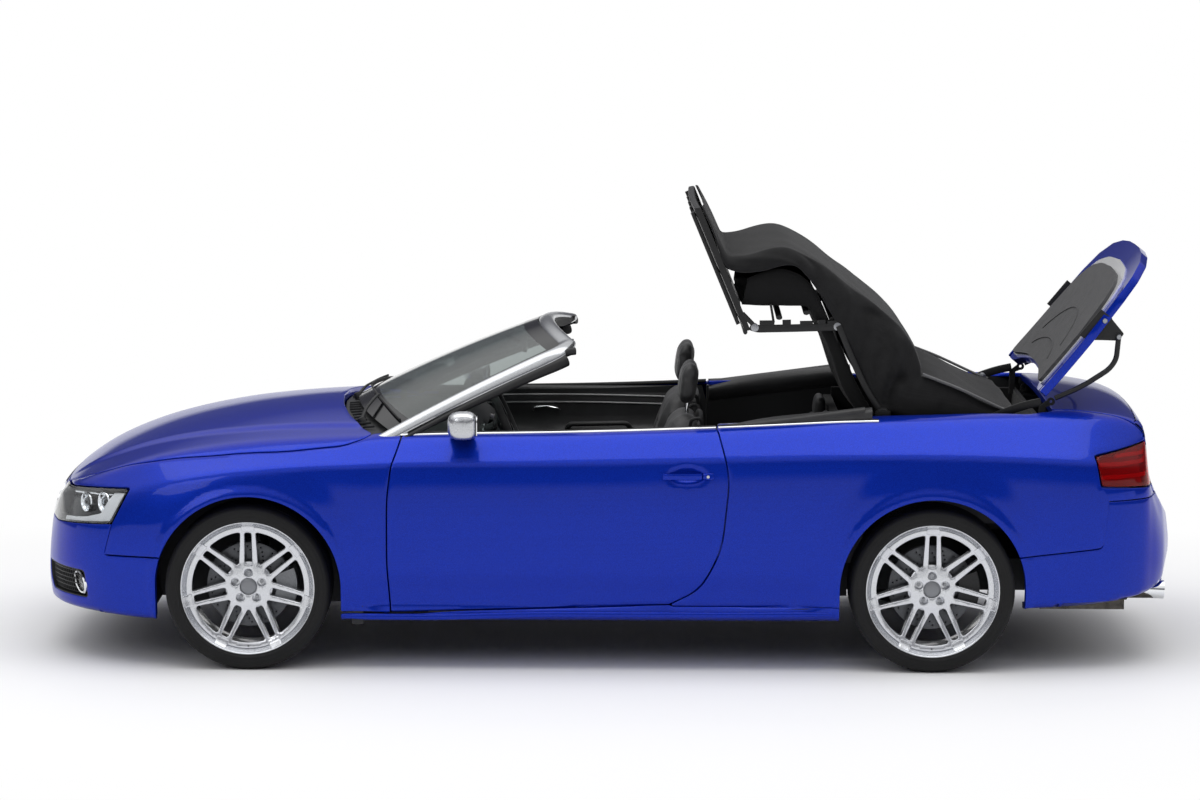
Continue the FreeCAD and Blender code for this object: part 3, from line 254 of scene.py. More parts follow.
def through(knots, values, at):
    """A smooth curve through the knots that never overshoots them."""
    span, slope = np.diff(knots), np.diff(values) / np.diff(knots)
    tangent = np.zeros(len(knots))
    tangent[0], tangent[-1] = slope[0], slope[-1]
    for i in range(1, len(knots) - 1):
        if slope[i - 1] * slope[i] > 0:
            w0, w1 = 2 * span[i] + span[i - 1], span[i] + 2 * span[i - 1]
            tangent[i] = (w0 + w1) / (w0 / slope[i - 1] + w1 / slope[i])
    i = np.clip(np.searchsorted(knots, at) - 1, 0, len(span) - 1)
    t = (at - knots[i]) / span[i]
    return ((1 + 2 * t) * (1 - t) ** 2 * values[i] + t * (1 - t) ** 2 * span[i] * tangent[i]
            + t * t * (3 - 2 * t) * values[i + 1] + t * t * (t - 1) * span[i] * tangent[i + 1])


def form_table():
    """Points of the right half of the body form, rows along the car and columns round the section."""
    rows = np.array(HALF_SECTIONS) / 1000
    x, crown, side_z = rows[:, 0], rows[:, 10], (rows[:, 3] + rows[:, 6]) / 2
    step = 0.5 * (np.hypot(np.diff(x), np.diff(crown)) + np.hypot(np.diff(x), np.diff(side_z)))
    knots = np.concatenate([[0], np.cumsum(step)])
    at = np.linspace(0, knots[-1], int(knots[-1] / TABLE_STEP))
    columns = [through(knots, rows[:, k], at) for k in range(11)]
    fade = eased(np.minimum(at - 0.25, knots[-1] - 0.62 - at), 0, 0.3)
    for k in range(11):
        c = columns[k]
        for _ in range(30):
            c[1:-1] += 0.25 * fade[1:-1] * (c[2:] - 2 * c[1:-1] + c[:-2])
    x, zb, yb, zl, yl, ym, zs, ys, zt, yt, zc = [c[:, None] for c in columns]
    t = [np.linspace(0, 1, n, endpoint=False)[None, :] for n in ROUND_SAMPLES]
    last = np.linspace(0, 1, ROUND_SAMPLES[4])[None, :]
    bow = 4 * ym - yl - ys
    side_y = yl * (1 - t[2]) ** 2 + bow * t[2] * (1 - t[2]) + ys * t[2] ** 2
    sag = zc - zt
    radius = (yt ** 2 + sag ** 2) / (2 * sag)
    top_y = yt * (1 - last)
    y = np.concatenate([yb * t[0], yb + (yl - yb) * t[1], side_y, ys + (yt - ys) * t[3], top_y], axis=1)
    z = np.concatenate([zb + 0 * t[0], zb + (zl - zb) * t[1], zl + (zs - zl) * t[2],
                        zs + (zt - zs) * t[3], zc - radius + np.sqrt(radius ** 2 - top_y ** 2)], axis=1)
    ends = np.cumsum(ROUND_SAMPLES)[:4]
    count = y.shape[1]
    index = np.arange(count)
    passes = np.full(count, 20.0)
    for end, number in zip(ends, CORNER_PASSES):
        near = np.abs(index - end) < 26
        passes[near] = number
    for k in range(max(CORNER_PASSES)):
        weight = (0.25 * (passes > k))[None, 1:-1]
        for c in (y, z):
            c[:, 1:-1] += weight * (c[:, 2:] - 2 * c[:, 1:-1] + c[:, :-2])
    return np.stack([np.broadcast_to(x, y.shape) + FRONT_AXLE_X, y, z], axis=2)


def press_features(p):
    """Adds what the panels have pressed into the plain form: arch lips, sill edge, handle bowl, crests."""
    x, y, z = p[..., 0], p[..., 1].copy(), p[..., 2].copy()
    flank = eased(y, 0.55, 0.72) * eased(0.93 - z, -0.02, 0.06)
    for axle in (FRONT_AXLE_X, REAR_AXLE_X):
        away = np.hypot(x - axle, z - AXLE_Z) - ARCH_RADIUS
        y += flank * (0.007 * (1 - eased(away, 0.026, 0.040)) + 0.006 * (1 - eased(away, 0.03, 0.16)))
    between = eased(x, -1.06, -0.86) * (1 - eased(x, 0.72, 0.92))
    tuck = np.interp(z, [0.19, 0.214, 0.226, 0.240, 0.262, 0.33, 0.395, 0.41],
                     [0.0, 0.004, 0.008, 0.004, -0.016, -0.013, 0.0, 0.0])
    y += between * tuck * (y > 0.6)
    bowl = ((x - 0.315) / 0.072) ** 2 + ((z - 0.797) / 0.033) ** 2
    y -= (y > 0.6) * 0.020 * np.clip(1 - bowl, 0, 1) ** 0.75
    # the bonnet's middle stands a little proud of the wings
    crest = np.interp(x, [-2.25, -2.0, -1.5, -1.0], [0.30, 0.43, 0.57, 0.64])
    front = eased(x, -2.28, -2.05) * (1 - eased(x, -1.02, -0.90)) * (z > 0.6)
    z += front * 0.010 * (1 - eased(y, crest - 0.035, crest + 0.030)) - front * 0.004
    return np.stack([x, y, z], axis=2)


form = press_features(form_table())
rows_n, columns_n = form.shape[:2]
left_form = form * np.array([1, -1, 1])
corner = (np.arange(rows_n - 1)[:, None] * columns_n + np.arange(columns_n - 1)[None, :]).ravel()
quads = np.stack([corner, corner + 1, corner + columns_n + 1, corner + columns_n], axis=1)
form_points = np.concatenate([form.reshape(-1, 3), left_form.reshape(-1, 3)])
caps = []
for base in (0, rows_n * columns_n):
    for row in (0, (rows_n - 1) * columns_n):
        caps.append([base + row + k for k in range(columns_n)])
form_tree = BVHTree.FromPolygons(form_points.tolist(),
                                 np.concatenate([quads, quads + rows_n * columns_n]).tolist() + caps)


def cast(start, direction):
    """The outermost point of the body form on a line, and its outward normal."""
    start, direction = Vector(start), Vector(direction)
    place, normal, _, _ = form_tree.ray_cast(start, direction)
    if place is None:
        place, normal, _, _ = form_tree.find_nearest(start + direction * 2)
    if normal.dot(direction) > 0:
        normal = -normal
    return place, normal


def seen_from(side, p, q):
    """The body's surface point at two coordinates, seen from the right side, top, front or back."""
    starts = {"side": (p, 3, q), "top": (p, q, 3), "front": (-5, p, q), "back": (5, p, q)}
    ways = {"side": (0, -1, 0), "top": (0, 0, -1), "front": (1, 0, 0), "back": (-1, 0, 0)}
    return cast(starts[side], ways[side])[0]


WRAP_RADIUS = 1.0


class Wrap:
    """Flattens a stretch of the body round an axis or a centre, and finds its points again."""

    def __init__(self, kind, centre=(0, 0, 0.45)):
        self.kind, self.centre = kind, Vector(centre)

    def flat(self, place):
        d = place - self.centre
        if self.kind == "along":
            angle = math.atan2(d.z, d.y)
            return (place.x, WRAP_RADIUS * (angle + (2 * math.pi if angle < -math.pi / 2 else 0)))
        if self.kind == "front":
            return (WRAP_RADIUS * math.atan2(d.y, -d.x), place.z)
        if self.kind == "back":
            return (WRAP_RADIUS * math.atan2(d.y, d.x), place.z)
        if self.kind == "over":
            return (WRAP_RADIUS * math.atan2(d.x, d.z), place.y)
        return (WRAP_RADIUS * math.atan2(d.x, d.y), WRAP_RADIUS * math.atan2(d.z, math.hypot(d.x, d.y)))

    def place(self, u, v):
        c = self.centre
        a, b = u / WRAP_RADIUS, v / WRAP_RADIUS
        if self.kind == "along":
            start, way = Vector((u, c.y, c.z)), Vector((0, math.cos(b), math.sin(b)))
        elif self.kind == "front":
            start, way = Vector((c.x, c.y, v)), Vector((-math.cos(a), math.sin(a), 0))
        elif self.kind == "back":
            start, way = Vector((c.x, c.y, v)), Vector((math.cos(a), math.sin(a), 0))
        elif self.kind == "over":
            start, way = Vector((c.x, v, c.z)), Vector((math.sin(a), 0, math.cos(a)))
        else:
            start, way = c, Vector((math.sin(a) * math.cos(b), math.cos(a) * math.cos(b), math.sin(b)))
        return cast(start + way * 4, -way)


def rounded(points, radius, closed=True, steps=5, most=0.48, least=1e-5):
    """A path with each corner rounded off by a radius, or by one for each point, where it has room."""
    points = [Vector(p) for p in points]
    n = len(points)
    radii = radius if isinstance(radius, (list, tuple)) else [radius] * n
    out = []
    for k in range(n):
        if not closed and k in (0, n - 1):
            out.append(points[k])
            continue
        before, at, after = points[k - 1], points[k], points[(k + 1) % n]
        cut = min(radii[k], most * (at - before).length, most * (after - at).length)
        if cut < least:
            out.append(at)
            continue
        a, b = at + (before - at).normalized() * cut, at + (after - at).normalized() * cut
        out += [a * (1 - t) ** 2 + at * 2 * t * (1 - t) + b * t * t for t in np.linspace(0, 1, steps)]
    return out


def walked(path, find, step=0.006):
    """What is found at even steps along a flat path."""
    out = []
    for a, b in zip(path, path[1:]):
        n = max(1, int((b - a).length / step))
        out += [find(*(a + (b - a) * k / n)) for k in range(n)]
    return out + [find(*path[-1])]


def line(side, points, radius=0.0):
    """Surface points along straight runs seen from one side, with corners rounded to a radius."""
    path = rounded(points, radius, closed=False, steps=6, most=0.45, least=0.001)
    return walked(path, lambda p, q: seen_from(side, p, q))


def chain(wrap, corners, radius=0.0, closed=True):
    """Surface points along straight runs in a wrap's own flat, with corners rounded to a radius."""
    flat = [Vector(wrap.flat(c)) for c in corners]
    if closed:
        middle = (flat[-1] + flat[0]) / 2
        flat = [middle] + flat + [middle]
    path = rounded(flat, radius, closed=False, most=0.45)
    return walked(path, lambda u, v: wrap.place(u, v)[0])


def arch(axle, low, high):
    """The wheel arch's edge as far up as two heights at its front and rear, front to rear over the top."""
    first = math.pi - math.asin(max(low - AXLE_Z, 0) / ARCH_RADIUS)
    last = math.asin(max(high - AXLE_Z, 0) / ARCH_RADIUS)
    places = [(-ARCH_RADIUS, z) for z in np.arange(low, AXLE_Z, 0.008)]
    places += [(ARCH_RADIUS * math.cos(a), AXLE_Z + ARCH_RADIUS * math.sin(a))
               for a in np.linspace(first, last, 150)]
    places += [(ARCH_RADIUS, z) for z in np.arange(AXLE_Z - 0.008, high, -0.008)]
    return [seen_from("side", axle + x, z) for x, z in places]


def loop_of(wrap, points, spacing):
    """A closed outline flattened and spaced evenly, anticlockwise."""
    flat = np.array([wrap.flat(p) for p in points])
    flat = np.concatenate([flat, flat[:1]])
    lengths = np.hypot(*np.diff(flat, axis=0).T)
    keep = np.concatenate([[True], lengths > 1e-5])
    flat, lengths = flat[keep], lengths[lengths > 1e-5]
    travel = np.concatenate([[0], np.cumsum(lengths)])
    n = max(8, int(travel[-1] / spacing))
    at = np.linspace(0, travel[-1], n, endpoint=False)
    ring = np.stack([np.interp(at, travel, flat[:, 0]), np.interp(at, travel, flat[:, 1])], axis=1)
    area = np.sum(ring[:, 0] * np.roll(ring[:, 1], -1) - ring[:, 1] * np.roll(ring[:, 0], -1))
    return ring if area > 0 else ring[::-1]


def drawn_in(ring, distance):
    """The ring moved inwards, or outwards where the distance is negative."""
    along = np.roll(ring, -1, axis=0) - np.roll(ring, 1, axis=0)
    along /= np.maximum(np.hypot(*along.T), 1e-9)[:, None]
    return ring + distance * np.stack([-along[:, 1], along[:, 0]], axis=1)


def inside(points, ring):
    """Which points lie inside a ring."""
    x, y = points[:, 0][:, None], points[:, 1][:, None]
    x0, y0 = ring[:, 0][None], ring[:, 1][None]
    x1, y1 = np.roll(ring[:, 0], -1)[None], np.roll(ring[:, 1], -1)[None]
    spans = (y0 > y) != (y1 > y)
    with np.errstate(divide="ignore", invalid="ignore"):
        cross = x < (x1 - x0) * (y - y0) / (y1 - y0) + x0
    return (np.sum(spans & cross, axis=1) % 2) == 1


EDGE_RADIUS = 0.0025


def new_object(name, points, faces, finish, smooth_angle=50, body="body", replaces=()):
    """A mesh object of these points and faces, smooth but for edges past an angle, riding on a body."""
    mesh = bpy.data.meshes.new(name)
    mesh.from_pydata([tuple(p) for p in points], [], [tuple(f) for f in faces])
    mesh.materials.append(finish)
    made = put(name, mesh)
    tidy(made, smooth_angle)
    if body:
        dress(made, body, replaces)
    return made


def tidy(made, smooth_angle=50, outward=False):
    """Welds doubles and shades the mesh smooth up to an angle."""
    work = bmesh.new()
    work.from_mesh(made.data)
    bmesh.ops.remove_doubles(work, verts=work.verts, dist=1e-6)
    if outward:
        bmesh.ops.recalc_face_normals(work, faces=work.faces)
    for face in work.faces:
        face.smooth = True
    limit = math.radians(smooth_angle)
    for edge in work.edges:
        edge.smooth = len(edge.link_faces) != 2 or edge.calc_face_angle(0) < limit
    work.to_mesh(made.data)
    work.free()


def dress(made, body, replaces=()):
    """Says which body a piece rides on and which CAD nodes it stands for."""
    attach(made, body)
    if replaces:
        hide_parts(*replaces)


def panel(name, wrap, outline, finish, holes=(), spacing=0.011, depth=0.016, body="body",
          replaces=(), turn=None, lift=0.0, edge=EDGE_RADIUS):
    """A closed panel cut from the body form: skin, rounded edges, folded rim and back."""
    rings = [loop_of(wrap, outline, spacing * 0.7)] + [loop_of(wrap, hole, spacing * 0.7)[::-1]
                                                       for hole in holes]
    low, high = rings[0].min(axis=0), rings[0].max(axis=0)
    grid = np.stack(np.meshgrid(np.arange(low[0], high[0], spacing), np.arange(low[1], high[1], spacing)),
                    axis=2)
    grid[1::2, :, 0] += spacing / 2
    grid = grid.reshape(-1, 2)
    grid = grid[inside(grid, rings[0])]
    for ring in rings[1:]:
        grid = grid[~inside(grid, ring)]
    border = np.concatenate(rings)
    nearest = np.concatenate([np.min(np.hypot(chunk[:, None, 0] - border[None, :, 0],
                                              chunk[:, None, 1] - border[None, :, 1]), axis=1)
                              for chunk in np.array_split(grid, max(1, len(grid) // 1500))])
    grid = grid[nearest > spacing * 0.62]
    inner = [drawn_in(ring, edge) for ring in rings]
    flat = np.concatenate(inner + [grid])
    edges, start = [], 0
    for ring in inner:
        edges += [(start + k, start + (k + 1) % len(ring)) for k in range(len(ring))]
        start += len(ring)
    out_flat, _, faces, origins, _, _ = delaunay_2d_cdt([Vector(p) for p in flat], edges, [], 1, 1e-7)
    out_flat = np.array([tuple(p) for p in out_flat])
    faces = np.array(faces)
    middle = out_flat[faces].mean(axis=1)
    keep = inside(middle, inner[0])
    for ring in inner[1:]:
        keep &= ~inside(middle, ring)
    faces = faces[keep]
    where = {}
    for k, sources in enumerate(origins):
        for source in sources:
            where[source] = k

    fronts = [wrap.place(u, v) for u, v in out_flat]
    points = [p + n * lift for p, n in fronts] + [p - n * (depth - lift) for p, n in fronts]
    n0 = len(fronts)
    made_faces = [tuple(f) for f in faces] + [tuple(n0 + k for k in f[::-1]) for f in faces]
    start = 0
    for ring in rings:
        count = len(ring)
        layers = [[where[start + k] for k in range(count)]]
        for drawn, sunk in ((0.29 * edge, 0.29 * edge), (0.0, edge), (0.0, depth)):
            base = len(points)
            for u, v in drawn_in(ring, drawn):
                place, normal = wrap.place(u, v)
                points.append(place - normal * (sunk - lift))
            layers.append(list(range(base, base + count)))
        layers.append([n0 + k for k in layers[0]])
        for a, b in zip(layers, layers[1:]):
            made_faces += [(a[k], b[k], b[(k + 1) % count], a[(k + 1) % count]) for k in range(count)]
        start += count
    if turn:
        points = [turn @ Vector(p) for p in points]
    made = new_object(name, points, made_faces, finish, body=None)
    work = bmesh.new()
    work.from_mesh(made.data)
    bmesh.ops.dissolve_degenerate(work, dist=1e-6, edges=work.edges)
    bmesh.ops.recalc_face_normals(work, faces=work.faces)
    work.to_mesh(made.data)
    work.free()
    if body:
        dress(made, body, replaces)
    return made


def mirrored(mesh):
    """A copy of a mesh for the car's other side."""
    mesh = mesh.copy()
    mesh.transform(Matrix.Scale(-1, 4, (0, 1, 0)))
    mesh.flip_normals()
    return mesh


def other_side(made, name, body, replaces=()):
    """The mirror image of a finished piece, for the car's other side."""
    mesh = mirrored(made.data)
    twin = put(name, mesh)
    dress(twin, body, replaces)
    return twin


def metallic_paint():
    """Two-coat metallic car paint: deep blue flake under clear lacquer, with a faint orange peel."""
    paint = material("metallic_blue_car_paint", Base_Color=linear("0D2194"), Metallic=0.50, Roughness=0.30,
                     Specular_IOR_Level=0.2, Specular_Tint=linear("2A48D8"), Coat_Weight=0.55,
                     Coat_Roughness=0.025, Coat_IOR=1.38)
    # flakes are 0.05 mm wide, drawn here at 1.2 mm so that they show
    tinted(paint, pattern(paint, "Voronoi", "Color", Scale=830.0), "061B7C", "1038C2")
    embossed(paint, pattern(paint, "Noise", Scale=260.0, Detail=1.0), 0.02, 0.0006, "Coat Normal")
    return paint


PAINT = metallic_paint()
ALONG = Wrap("along")
NOSE = Wrap("front", (-1.70, 0, 0))
TAIL = Wrap("back", (1.70, 0, 0))
DECK = Wrap("over", (1.62, 0, 0.55))
REAR_CORNER = Wrap("round", (1.0, 0, 0.5))

# bonnet: from the windscreen's foot to the grille, its sides on the wings' crests
BONNET_SIDE = [(-1.112, 0), (-1.100, 0.25), (-1.062, 0.48), (-1.010, 0.64), (-0.952, 0.752),
               (-0.985, 0.792), (-1.060, 0.822), (-1.300, 0.830), (-1.600, 0.806), (-1.860, 0.752),
               (-2.040, 0.668), (-2.160, 0.540), (-2.228, 0.370)]
BONNET_FRONT_Z = 0.692


def bonnet_edge(grow=0.0):
    """The right half of the bonnet's outline, from its rear middle to its front corner."""
    ring = np.array(BONNET_SIDE)
    along = np.gradient(ring, axis=0)
    along /= np.hypot(*along.T)[:, None]
    grown = ring + grow * np.stack([along[:, 1], -along[:, 0]], axis=1)
    return [p for p in line("top", grown, radius=0.06) if p.z > BONNET_FRONT_Z - grow]


def bonnet():
    right = bonnet_edge()
    front = NOSE.flat(right[-1])[0]
    across = [NOSE.place(u, BONNET_FRONT_Z)[0] for u in np.linspace(front, -front, 120)]
    left = [Vector((p.x, -p.y, p.z)) for p in reversed(right)]
    return panel("bonnet_panel", ALONG, right + across + left, PAINT, body="bonnet", depth=0.030,
                 replaces=("bonnet",), spacing=0.018)


# wing: round the front wheel, from the headlamp back to the door
DOOR_FRONT = [(-0.872, 0.243), (-0.886, 0.440), (-0.886, 0.700), (-0.870, 0.832), (-0.850, 0.882),
              (-0.832, 0.936)]
DOOR_REAR = [(0.436, 0.968), (0.483, 0.802), (0.452, 0.499), (0.365, 0.333), (0.245, 0.272)]
BUMPER_TOP_Z = 0.455
SILL_TOP_Z = 0.238
# the headlamp's inner end, and how far the wing's tongue over the lamp narrows at its tip
LAMP_INNER_Y = 0.375
TONGUE_TIP = 0.004


def shifted(points, dx, dz=0.0):
    """A side outline moved along and up."""
    return [(x + dx, z + dz) for x, z in points]


def wing():
    g = SHUT_GAP
    low = ARCH_RADIUS ** 2 - (BUMPER_TOP_Z - AXLE_Z) ** 2
    outline = arch(FRONT_AXLE_X, BUMPER_TOP_Z, SILL_TOP_Z + 0.002)
    outline += line("side", [(FRONT_AXLE_X + ARCH_RADIUS, SILL_TOP_Z + 0.002), (-0.877, SILL_TOP_Z + 0.002)])
    outline += line("side", shifted(DOOR_FRONT, -g), radius=0.05)
    outline += line("top", [(-0.838, 0.792), (-0.880, 0.752), (-0.944, 0.752)])
    edge = [p for p in bonnet_edge(g)
            if p.x < -0.950 and p.y > 0.752 or p.x < -1.0 and p.y > 0.7 or p.x < -1.2]
    lamp_top = chain(NOSE, [seen_from("front", LAMP_INNER_Y, 0.690 + g), seen_from("side", -2.185, 0.697 + g),
                            seen_from("side", -1.930, 0.729)], closed=False)
    lamp_y, lamp_z = [p.y for p in lamp_top], [p.z for p in lamp_top]
    edge = [p for p in edge if p.z > np.interp(p.y, lamp_y, lamp_z) + TONGUE_TIP]
    outline += edge
    outline += [p for p in lamp_top if p.y > edge[-1].y]
    outline += line("side", [(-1.924, 0.724), (-1.996, 0.585), (-2.030, BUMPER_TOP_Z + 0.003),
                             (FRONT_AXLE_X - math.sqrt(low), BUMPER_TOP_Z + 0.003)])
    return panel("wing_skin_right", ALONG, outline, PAINT, spacing=0.015)


def mirror_points(points):
    """The same line on the car's other side, run the other way."""
    return [Vector((p.x, -p.y, p.z)) for p in reversed(points)]


def core(node, name, body, finish, inset=0.018, trim=None, trim_inside=0.0, trim_above=0.0,
         replaces=()):
    """What stands behind a skin: the node's own solid, its outer faces drawn in under the skin."""
    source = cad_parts[node]
    mesh = source.data.copy()
    mesh.materials.clear()
    mesh.materials.append(finish)
    made = put(name, mesh)
    work = bmesh.new()
    work.from_mesh(mesh)
    bmesh.ops.remove_doubles(work, verts=work.verts, dist=1e-5)
    for vert in work.verts:
        place, normal, _, distance = form_tree.find_nearest(vert.co)
        if normal.dot(vert.co - Vector((vert.co.x, 0, 0.5))) < 0:
            normal = -normal
        if (vert.co - place).dot(normal) > -inset and distance < 0.04:
            vert.co = place - normal * inset
    for face in work.faces:
        face.smooth = False
    if trim:
        mesh.materials.append(trim)
        for face in work.faces:
            middle = face.calc_center_median()
            if abs(middle.y) < trim_inside and middle.z > trim_above:
                face.material_index = 1
    work.to_mesh(mesh)
    work.free()
    dress(made, body, replaces)
    return made


def door():
    low = line("side", [(0.245, 0.272), (-0.872, 0.243)])
    front = line("side", DOOR_FRONT, radius=0.05)
    top = line("top", [(-0.828, 0.786), (-0.5, 0.786), (0.432, 0.792)])
    rear = line("side", DOOR_REAR, radius=0.09)
    return panel("door_skin_right", ALONG, low + front + top + rear, PAINT, spacing=0.0155, body="door_right",
                 depth=0.014)


LAMP_SPLIT_Y = 0.6185
TAIL_LAMP_SIDE = [(1.983, 0.752), (1.955, 0.872)]
TAIL_LAMP_Z = (0.735, 0.912)


def quarter():
    g = SHUT_GAP
    split = LAMP_SPLIT_Y + g / 2
    outline = arch(REAR_AXLE_X, 0.264, 0.474)
    outline += line("side", [(1.656, 0.474), (1.993, 0.504), (2.013, 0.694)], radius=0.02)
    outline += chain(TAIL, [seen_from("side", 2.013, 0.694), seen_from("back", split, 0.694)], closed=False)
    low_lamp, high_lamp = (seen_from("back", split, z) for z in TAIL_LAMP_Z)
    front_low, front_high = (seen_from("side", x - g, z) for x, z in TAIL_LAMP_SIDE)
    outline += chain(TAIL, [low_lamp - Vector((0, 0, g)), front_low - Vector((0, 0, g)),
                            front_high + Vector((0, 0, g)), high_lamp + Vector((0, 0, g))], radius=0.012,
                     closed=False)
    outline += line("back", [(split, 0.93), (split, 0.984)])
    outline += line("top", [(2.185, split), (1.797, split), (1.797, 0.646), (1.70, 0.700), (0.442, 0.700)],
                    radius=0.03)
    outline += line("side", shifted(DOOR_REAR, g, -g / 2), radius=0.09)
    outline += line("side", [(0.262, 0.264), (REAR_AXLE_X - ARCH_RADIUS, 0.264)])
    return panel("quarter_skin_right", REAR_CORNER, outline, PAINT, spacing=0.0150)


def sill():
    outline = line("side", [(-1.0735, 0.190), (0.9295, 0.190), (0.9295, 0.2625), (0.262, 0.2625),
                            (0.245, 0.2675), (-0.600, 0.2440), (-0.760, 0.2310), (-0.872, 0.2300),
                            (-1.0735, 0.2300), (-1.0735, 0.190)])
    return panel("sill_right", ALONG, outline, PAINT, spacing=0.016, depth=0.006)


GRILLE = [(-0.262, 0.290), (-0.362, 0.610), (-0.325, 0.668), (0.325, 0.668), (0.362, 0.610), (0.262, 0.290)]


def intake_corners(grow=0.0):
    """The side air intake's four corners on the right of the front bumper."""
    return [seen_from("front", 0.483 - grow, 0.262 - grow), seen_from("front", 0.483 - grow, 0.386 + grow),
            seen_from("side", -2.120 + grow, 0.380 + grow), seen_from("side", -2.110 + grow, 0.260 - grow)]


def headlamp_corners(grow=0.0):
    """The right headlamp's corners, from its inner lower one round by the rear."""
    return [seen_from("front", LAMP_INNER_Y - grow, 0.563 - grow), seen_from("side", -2.246, 0.559 - grow),
            seen_from("side", -2.001 + grow, 0.585 - grow), seen_from("side", -1.930 + grow, 0.724 + grow),
            seen_from("side", -2.185, 0.697 + grow), seen_from("front", LAMP_INNER_Y - grow, 0.690 + grow)]


def front_bumper():
    low = math.sqrt(ARCH_RADIUS ** 2 - (0.452 - AXLE_Z) ** 2)
    edge = line("side", [(-2.3170, 0.240), (-2.2995, 0.219), (-2.2525, 0.209), (-2.1675, 0.201),
                         (-2.0175, 0.193), (-1.8215, 0.187)])
    right = [seen_from("front", y, 0.240) for y in np.linspace(0, 0.2, 30)] + edge
    right += [seen_from("side", FRONT_AXLE_X - ARCH_RADIUS, z) for z in np.arange(0.195, AXLE_Z, 0.008)]
    top = math.asin((0.452 - AXLE_Z) / ARCH_RADIUS)
    right += [seen_from("side", FRONT_AXLE_X - ARCH_RADIUS * math.cos(a), AXLE_Z + ARCH_RADIUS * math.sin(a))
              for a in np.linspace(0, top, 20)]
    right += line("side", [(FRONT_AXLE_X - low, 0.452), (-2.033, 0.452), (-2.000, 0.579)], radius=0.02)
    lamp = headlamp_corners(0.003)
    right += chain(NOSE, [lamp[2], lamp[1], lamp[0], seen_from("front", LAMP_INNER_Y - 0.003, 0.687)],
                   radius=0.012, closed=False)
    right += [seen_from("front", y, 0.687) for y in np.linspace(0.37, 0.0, 50)]
    holes = [line("front", GRILLE + GRILLE[:1], radius=0.035), chain(NOSE, intake_corners(), radius=0.02),
             mirror_points(chain(NOSE, intake_corners(), radius=0.02))]
    return panel("front_bumper_skin", NOSE, right + mirror_points(right), PAINT, holes=holes, spacing=0.0155,
                 depth=0.024, replaces=("front_bumper",))


def rear_bumper():
    edge = line("side", [(1.6775, 0.246), (1.8525, 0.256), (2.0525, 0.271), (2.1725, 0.291), (2.2075, 0.302),
                         (2.2645, 0.330), (2.300, 0.362)])
    right = list(reversed(edge))
    right += [seen_from("side", REAR_AXLE_X + ARCH_RADIUS, z) for z in np.arange(0.254, AXLE_Z, 0.008)]
    top = math.asin((0.470 - AXLE_Z) / ARCH_RADIUS)
    right += [seen_from("side", REAR_AXLE_X + ARCH_RADIUS * math.cos(a), AXLE_Z + ARCH_RADIUS * math.sin(a))
              for a in np.linspace(0, top, 20)]
    right += line("side", [(1.6575, 0.470), (1.990, 0.499), (2.010, 0.690)], radius=0.02)
    right += chain(TAIL, [seen_from("side", 2.010, 0.690), seen_from("back", 0.0, 0.690)], closed=False)
    left_edge = [seen_from("back", y, 0.380) for y in np.linspace(-0.25, 0.25, 60)]
    return panel("rear_bumper_skin", TAIL, right + mirror_points(right) + left_edge, PAINT, spacing=0.017,
                 depth=0.024, replaces=("rear_bumper",))


def boot_lid():
    half = 0.616
    right = line("top", [(1.800, 0.0), (1.800, half), (2.186, half)], radius=0.02)
    right += line("back", [(half, 0.984), (half, 0.918), (0.400, 0.920), (0.400, 0.729), (half, 0.729),
                           (half, 0.702), (0.0, 0.702)])
    return panel("boot_lid_skin", DECK, right + mirror_points(right), PAINT, body="boot_lid", depth=0.028,
                 replaces=("boot_lid",), spacing=0.0165)


COVER_HALF = [(1.735, 0), (1.740, 0.24), (1.760, 0.38), (1.795, 0.50), (1.795, 0.590), (1.645, 0.590),
              (1.645, 0.617), (1.795, 0.617), (1.795, 0.640), (1.700, 0.646), (1.480, 0.628),
              (1.300, 0.596), (1.200, 0.545), (1.130, 0.440), (1.096, 0.300), (1.082, 0.150), (1.080, 0)]
COVER_HINGE = Vector((1.796, 0, 1.067))
COVER_OPEN = math.radians(130)
COVER_TURN = Matrix.Rotation(COVER_OPEN, 4, "Y")
RAISED = Matrix.Translation(COVER_HINGE) @ COVER_TURN @ Matrix.Translation(-COVER_HINGE)


def roof_cover():
    right = line("top", COVER_HALF, radius=0.012)
    return panel("roof_cover_skin", ALONG, right + mirror_points(right), PAINT, body="roof_cover",
                 depth=0.034, replaces=("roof_cover",), turn=RAISED, spacing=0.017)


def speckled(name, dark, light, roughness, scale, bump_depth, metallic=0.0, spread=0.08, **values):
    """A finish whose colour, roughness and relief vary with one fine noise of a given scale."""
    made = material(name, Metallic=metallic, **values)
    noise = pattern(made, "Noise", Scale=scale, Detail=3.0)
    tinted(made, noise, dark, light, 0.3, 0.7)
    roughened(made, noise, roughness - spread, roughness + spread)
    embossed(made, noise, 0.3, bump_depth)
    return made


BLACK_TRIM = speckled("grained_black_plastic", "151617", "1F2022", 0.58, 420.0, 0.0003)
bonnet()
roof_cover()
boot_lid()
front_bumper()
rear_bumper()
for make, left_name, part in ((wing, "wing_skin_left", "wing"), (quarter, "quarter_skin_left", "quarter"),
                              (sill, "sill_left", None), (door, "door_skin_left", "door")):
    right_skin = make()
    hidden = {"left": (), "right": ()}
    if part:
        hidden = {side: (part + "_" + side,) for side in ("left", "right")}
        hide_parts(*hidden["right"])
    body = "door_left" if part == "door" else "body"
    other_side(right_skin, left_name, body, hidden["left"])
for side in ("left", "right"):
    core("wing_" + side, "wing_inner_" + side, "body", PAINT)
    core("quarter_" + side, "quarter_inner_" + side, "body", PAINT, trim=BLACK_TRIM,
         trim_inside=0.78)
    core("door_" + side, "door_inner_" + side, "door_" + side, PAINT, trim=BLACK_TRIM,
         trim_inside=0.80)

